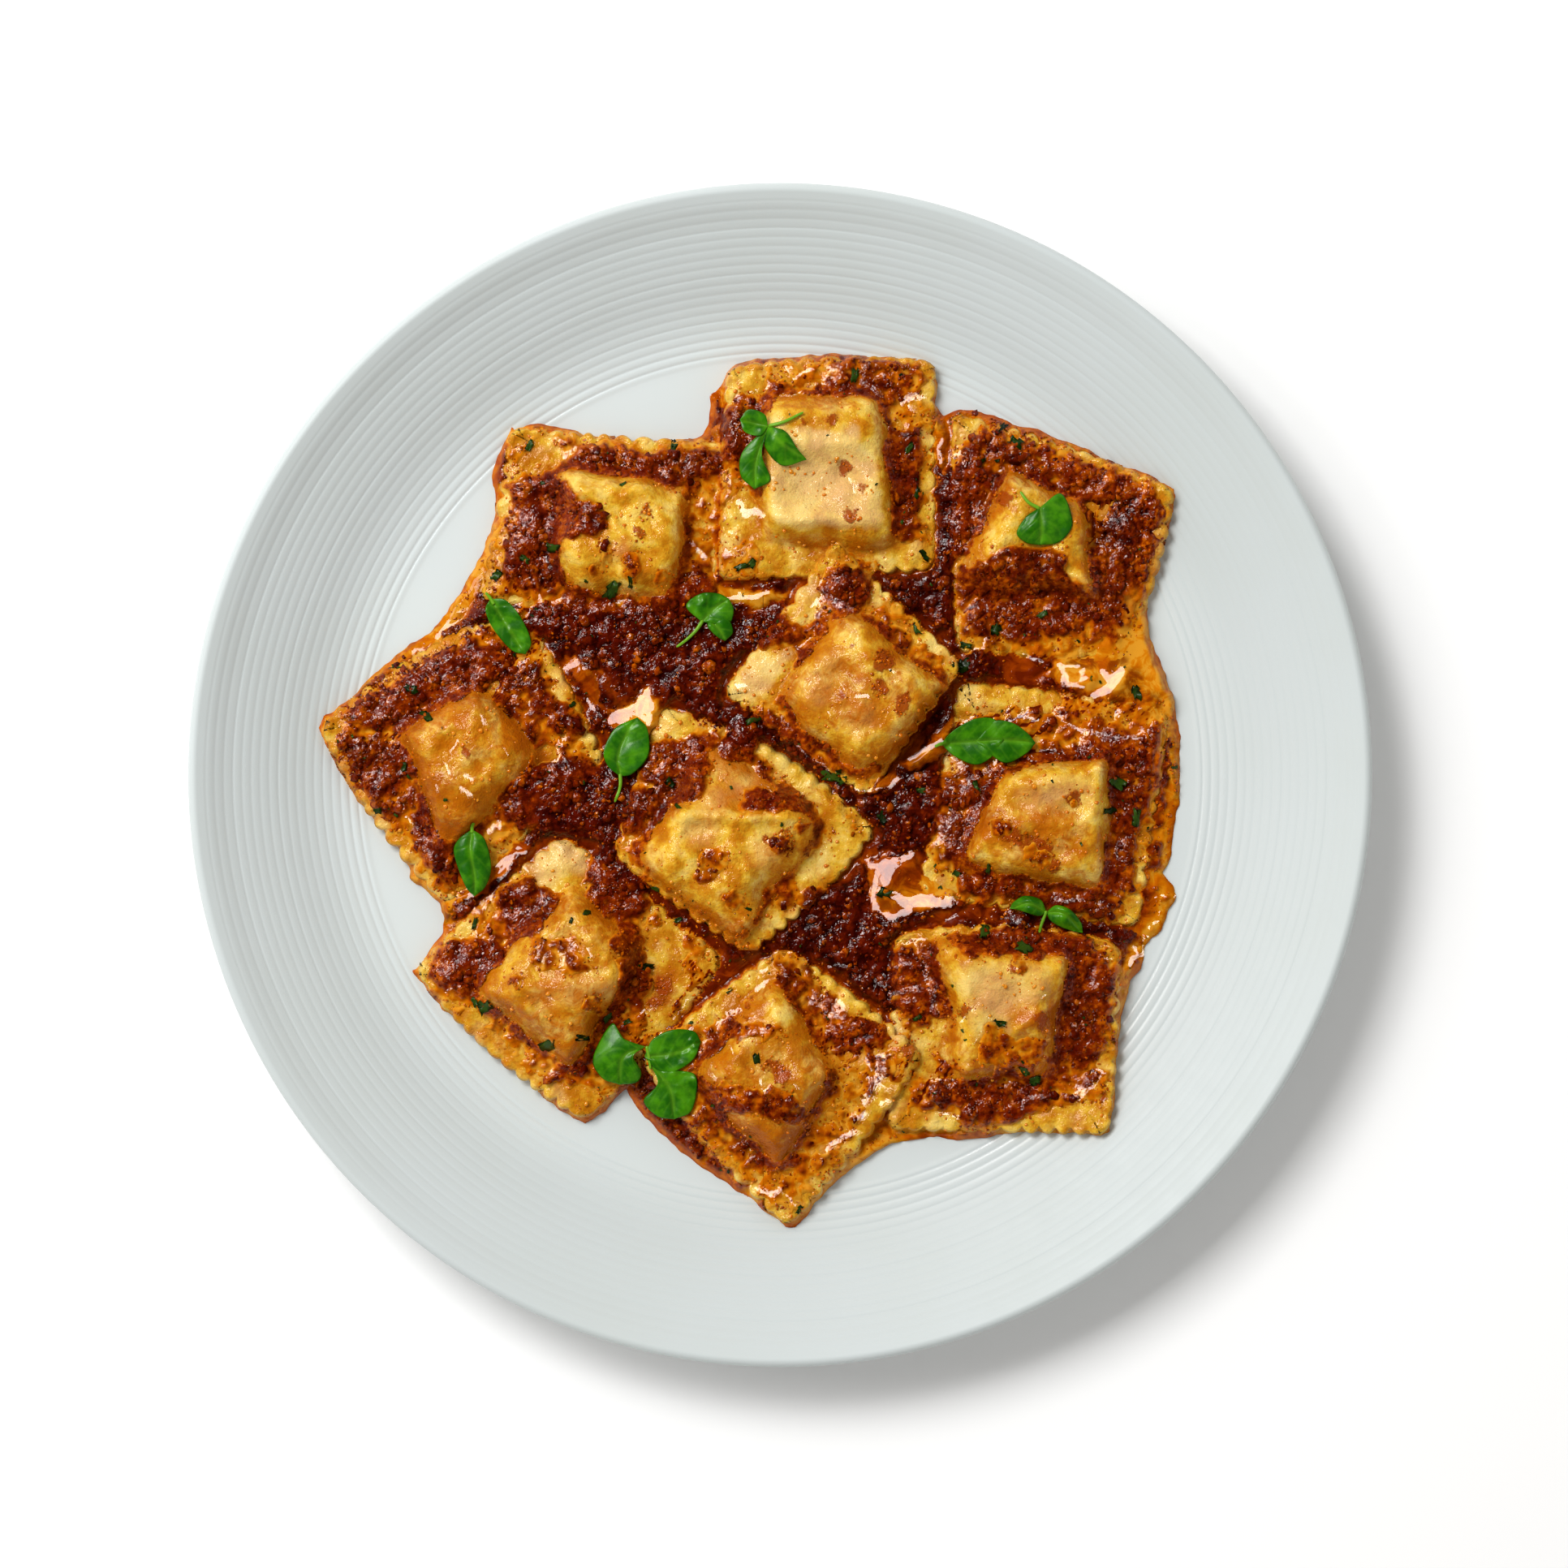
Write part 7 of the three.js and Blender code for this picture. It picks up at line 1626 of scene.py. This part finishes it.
# Chopped parsley and specks of dried herb.
parsley = {
    "grid": 5, "thick": 0.16, "above": 0.25, "jag": 0.24, "crumple": 0.16, "curl": 0.35, "specks": 150,
    "light": shade(34, 62, 0), "dark": shade(12, 24, 0), "veinColour": shade(60, 90, 20),
    # where the larger flakes lie: x, y and half length
    "bits": [
        (-7, 14, 2.2), (13, -0.5, 2.2), (16, -1.5, 1.4), (-28, -2, 1.3), (-26, -8, 0.8), (86, -2, 2),
        (84, -9, 1.7), (91, -11, 2), (101, 2, 1.2), (52, -40, 1.8), (62, -44, 2), (79, -42, 1.2),
        (62, -75, 1.6), (65, -78, 1.4), (53, -24, 1.3), (56, -63, 1.6), (35, -62, 1.3), (-32, -29, 1.1),
        (-26, -37, 1.1), (-34, -49, 1.8), (-44, -62, 1.4), (-39, -63, 1.0), (-49, -35, 1.0),
        (-53, -37, 0.8), (47, 28, 1.8), (91, 21, 1.8), (-8, -34, 0.9), (27, -30, 2.0), (35, 37.5, 1.5),
        (45, 28, 1.4), (55, 37, 1.6), (67, 41, 1.4), (47.5, 33, 1.5), (60, 85, 1.8), (56.5, 88.5, 1.6),
        (51, 80, 1.4), (19, 102, 1.6), (33, 83.5, 1.6), (35, 72, 1.5), (37, 56, 1.6), (-10, 53, 1.8),
        (-7, 54, 1.2), (-27, 84, 2.2), (-64, 84, 1.5), (-40, 74, 0.9), (-72.5, 51, 1.5), (-65, 55, 1.2),
        (-38, 49, 1.4), (-58, 58, 1.5), (-43, 47, 2.2), (-94, 22, 1.6), (-98, 28, 1.4), (-90, 15, 1.6),
        (-96, 2, 1.2), (-103, -9, 1.2), (-53, 18, 0.9), (-75, -59, 2), (-78, -58, 1.3), (-59, -69, 2),
        (-50, -67, 1.6), (-78, -38, 1.4), (-6, -72, 1.3), (5, -111, 1.3), (-13, -55, 0.8), (-23, -63, 0.8),
        (12, -62, 0.6), (45, -25, 1.2), (36, -4, 1.2), (26, -11, 1.5), (50, -3, 1.4),
    ],
}


# Flakes: each a small grid with its points strayed at random, curled as a square and a product of its two
# directions, with a second face a little under the first and joined to it at the rim.
def makeFlakes(label, bits, material):
    size = parsley["grid"]
    u, v = np.meshgrid(np.linspace(-1, 1, size), np.linspace(-1, 1, size))
    bits = np.array(bits, float)
    count = len(bits)
    middleX, middleY, reach = (bits[:, k, None, None] for k in range(3))
    turn = (random.random(count) * 6.3)[:, None, None]
    narrow = (0.35 + 0.35 * random.random(count))[:, None, None]
    curl = random.normal(size=(count, 2)) * parsley["curl"]
    jag = random.normal(size=(count, size, size, 2)) * parsley["jag"]
    crumple = random.normal(size=(count, size, size)) * parsley["crumple"]
    px = (u + jag[..., 0]) * reach * 0.95
    py = (v + jag[..., 1]) * (reach * narrow)
    x = middleX + px * np.cos(turn) - py * np.sin(turn)
    y = middleY + px * np.sin(turn) + py * np.cos(turn)
    bend = np.abs(curl[:, 0, None, None] * (u ** 2) + curl[:, 1, None, None] * u * v)
    z = read(softened(surface, 0.8), x, y) + parsley["above"] + (bend + crumple) * reach * 0.6
    top = np.stack([x, y, z], -1).reshape(count, -1, 3)
    inside = np.zeros((size, size), bool)
    inside[1:-1, 1:-1] = True
    lower = top - np.array([0, 0, parsley["thick"]]) * inside.ravel()[None, :, None]
    places = np.concatenate([top, lower], 1).reshape(-1, 3)
    upper = gridFaces(size, size)
    both = np.concatenate([upper, upper[:, ::-1] + size * size])
    faces = both[None] + (np.arange(count) * 2 * size * size)[:, None, None]
    values = {"rib": np.zeros(len(places)), "side": np.repeat(random.random(count) * 0.25, 2 * size * size)}
    places, blocks, values = welded(places, faces.reshape(-1, 4), values)
    piece = addPiece(label, places, blocks, material, values)
    print(label + ":", count)


parsleyMaterial = leafFinish("choppedParsley", parsley["light"], parsley["dark"], parsley["veinColour"])
makeFlakes("parsleyFlakes", parsley["bits"], parsleyMaterial)
speckChance = 0.6 * (edgeDepth > 1.5) * uncovered * (1 - 0.7 * smoothStep(0, 3, pillowLayer))
x, y = strew(np.clip(speckChance, 0, 1), parsley["specks"])
makeFlakes("herbSpecks", np.stack([x, y, 0.25 + 0.35 * random.random(len(x)) ** 2], 1), parsleyMaterial)


# The floor, the light and the camera. A softbox has its place in metres, its size and its power.
stage = {
    "floor": 3.0, "softboxes": [((-0.72, 0.78, 1.36), 0.66, 21.5), ((-1.10, 0.30, 1.10), 0.50, 4.5)],
    "fillLow": 0.90, "fillHigh": 0.25, "fillColour": (1, 0.985, 0.96, 1),  # from the sides and from above
    "gamma": 0.88,  # darkens the middle tones a little
    "camera": (0.0010, -0.0023, 1.400), "field": 16.4,  # its place, and its field of view in degrees
}


# Puts a floor, a light or a camera in the scene.
def link(made):
    bpy.context.scene.collection.objects.link(made)
    return made


floorMesh = bpy.data.meshes.new("floor")
floorMesh.from_pydata([(*corner, 0) for corner in squareCorners * stage["floor"]], [], [(0, 1, 2, 3)])
floorMaterial = Finish("paleFloor").done(Base_Color=(0.95, 0.95, 0.95, 1), Roughness=0.8,
                                         Specular_IOR_Level=0.1)
floorMesh.materials.append(floorMaterial)
floor = link(bpy.data.objects.new("floor", floorMesh))

for place, size, power in stage["softboxes"]:
    lightData = bpy.data.lights.new("softbox", "AREA")
    lightData.shape = "SQUARE"
    lightData.size = size
    lightData.energy = power
    light = link(bpy.data.objects.new("softbox", lightData))
    light.location = place
    light.rotation_euler = (-light.location).to_track_quat("-Z", "Y").to_euler()

world = bpy.data.worlds.new("paleRoom")
world.use_nodes = True
background = world.node_tree.nodes["Background"]
upward = addNode(world.node_tree, "ShaderNodeTexCoord").outputs["Generated"]
upward = addNode(world.node_tree, "ShaderNodeSeparateXYZ", {0: upward}).outputs["Z"]
inputs = {"Value": upward, "From Min": 0.45, "From Max": 0.9,
          "To Min": stage["fillLow"], "To Max": stage["fillHigh"]}
strength = addNode(world.node_tree, "ShaderNodeMapRange", inputs, interpolation_type="SMOOTHSTEP")
feed(world.node_tree, background.inputs["Strength"], strength.outputs["Result"])
feed(world.node_tree, background.inputs["Color"], stage["fillColour"])
world.cycles_visibility.glossy = False
bpy.context.scene.world = world
bpy.context.scene.view_settings.view_transform = "Standard"
bpy.context.scene.view_settings.gamma = stage["gamma"]

cameraData = bpy.data.cameras.new("camera")
cameraData.sensor_width = 36
cameraData.lens = 18 / math.tan(math.radians(stage["field"] / 2))
cameraData.clip_end = 20
camera = link(bpy.data.objects.new("camera", cameraData))
camera.location = stage["camera"]
bpy.context.scene.camera = camera

bpy.context.view_layer.update()
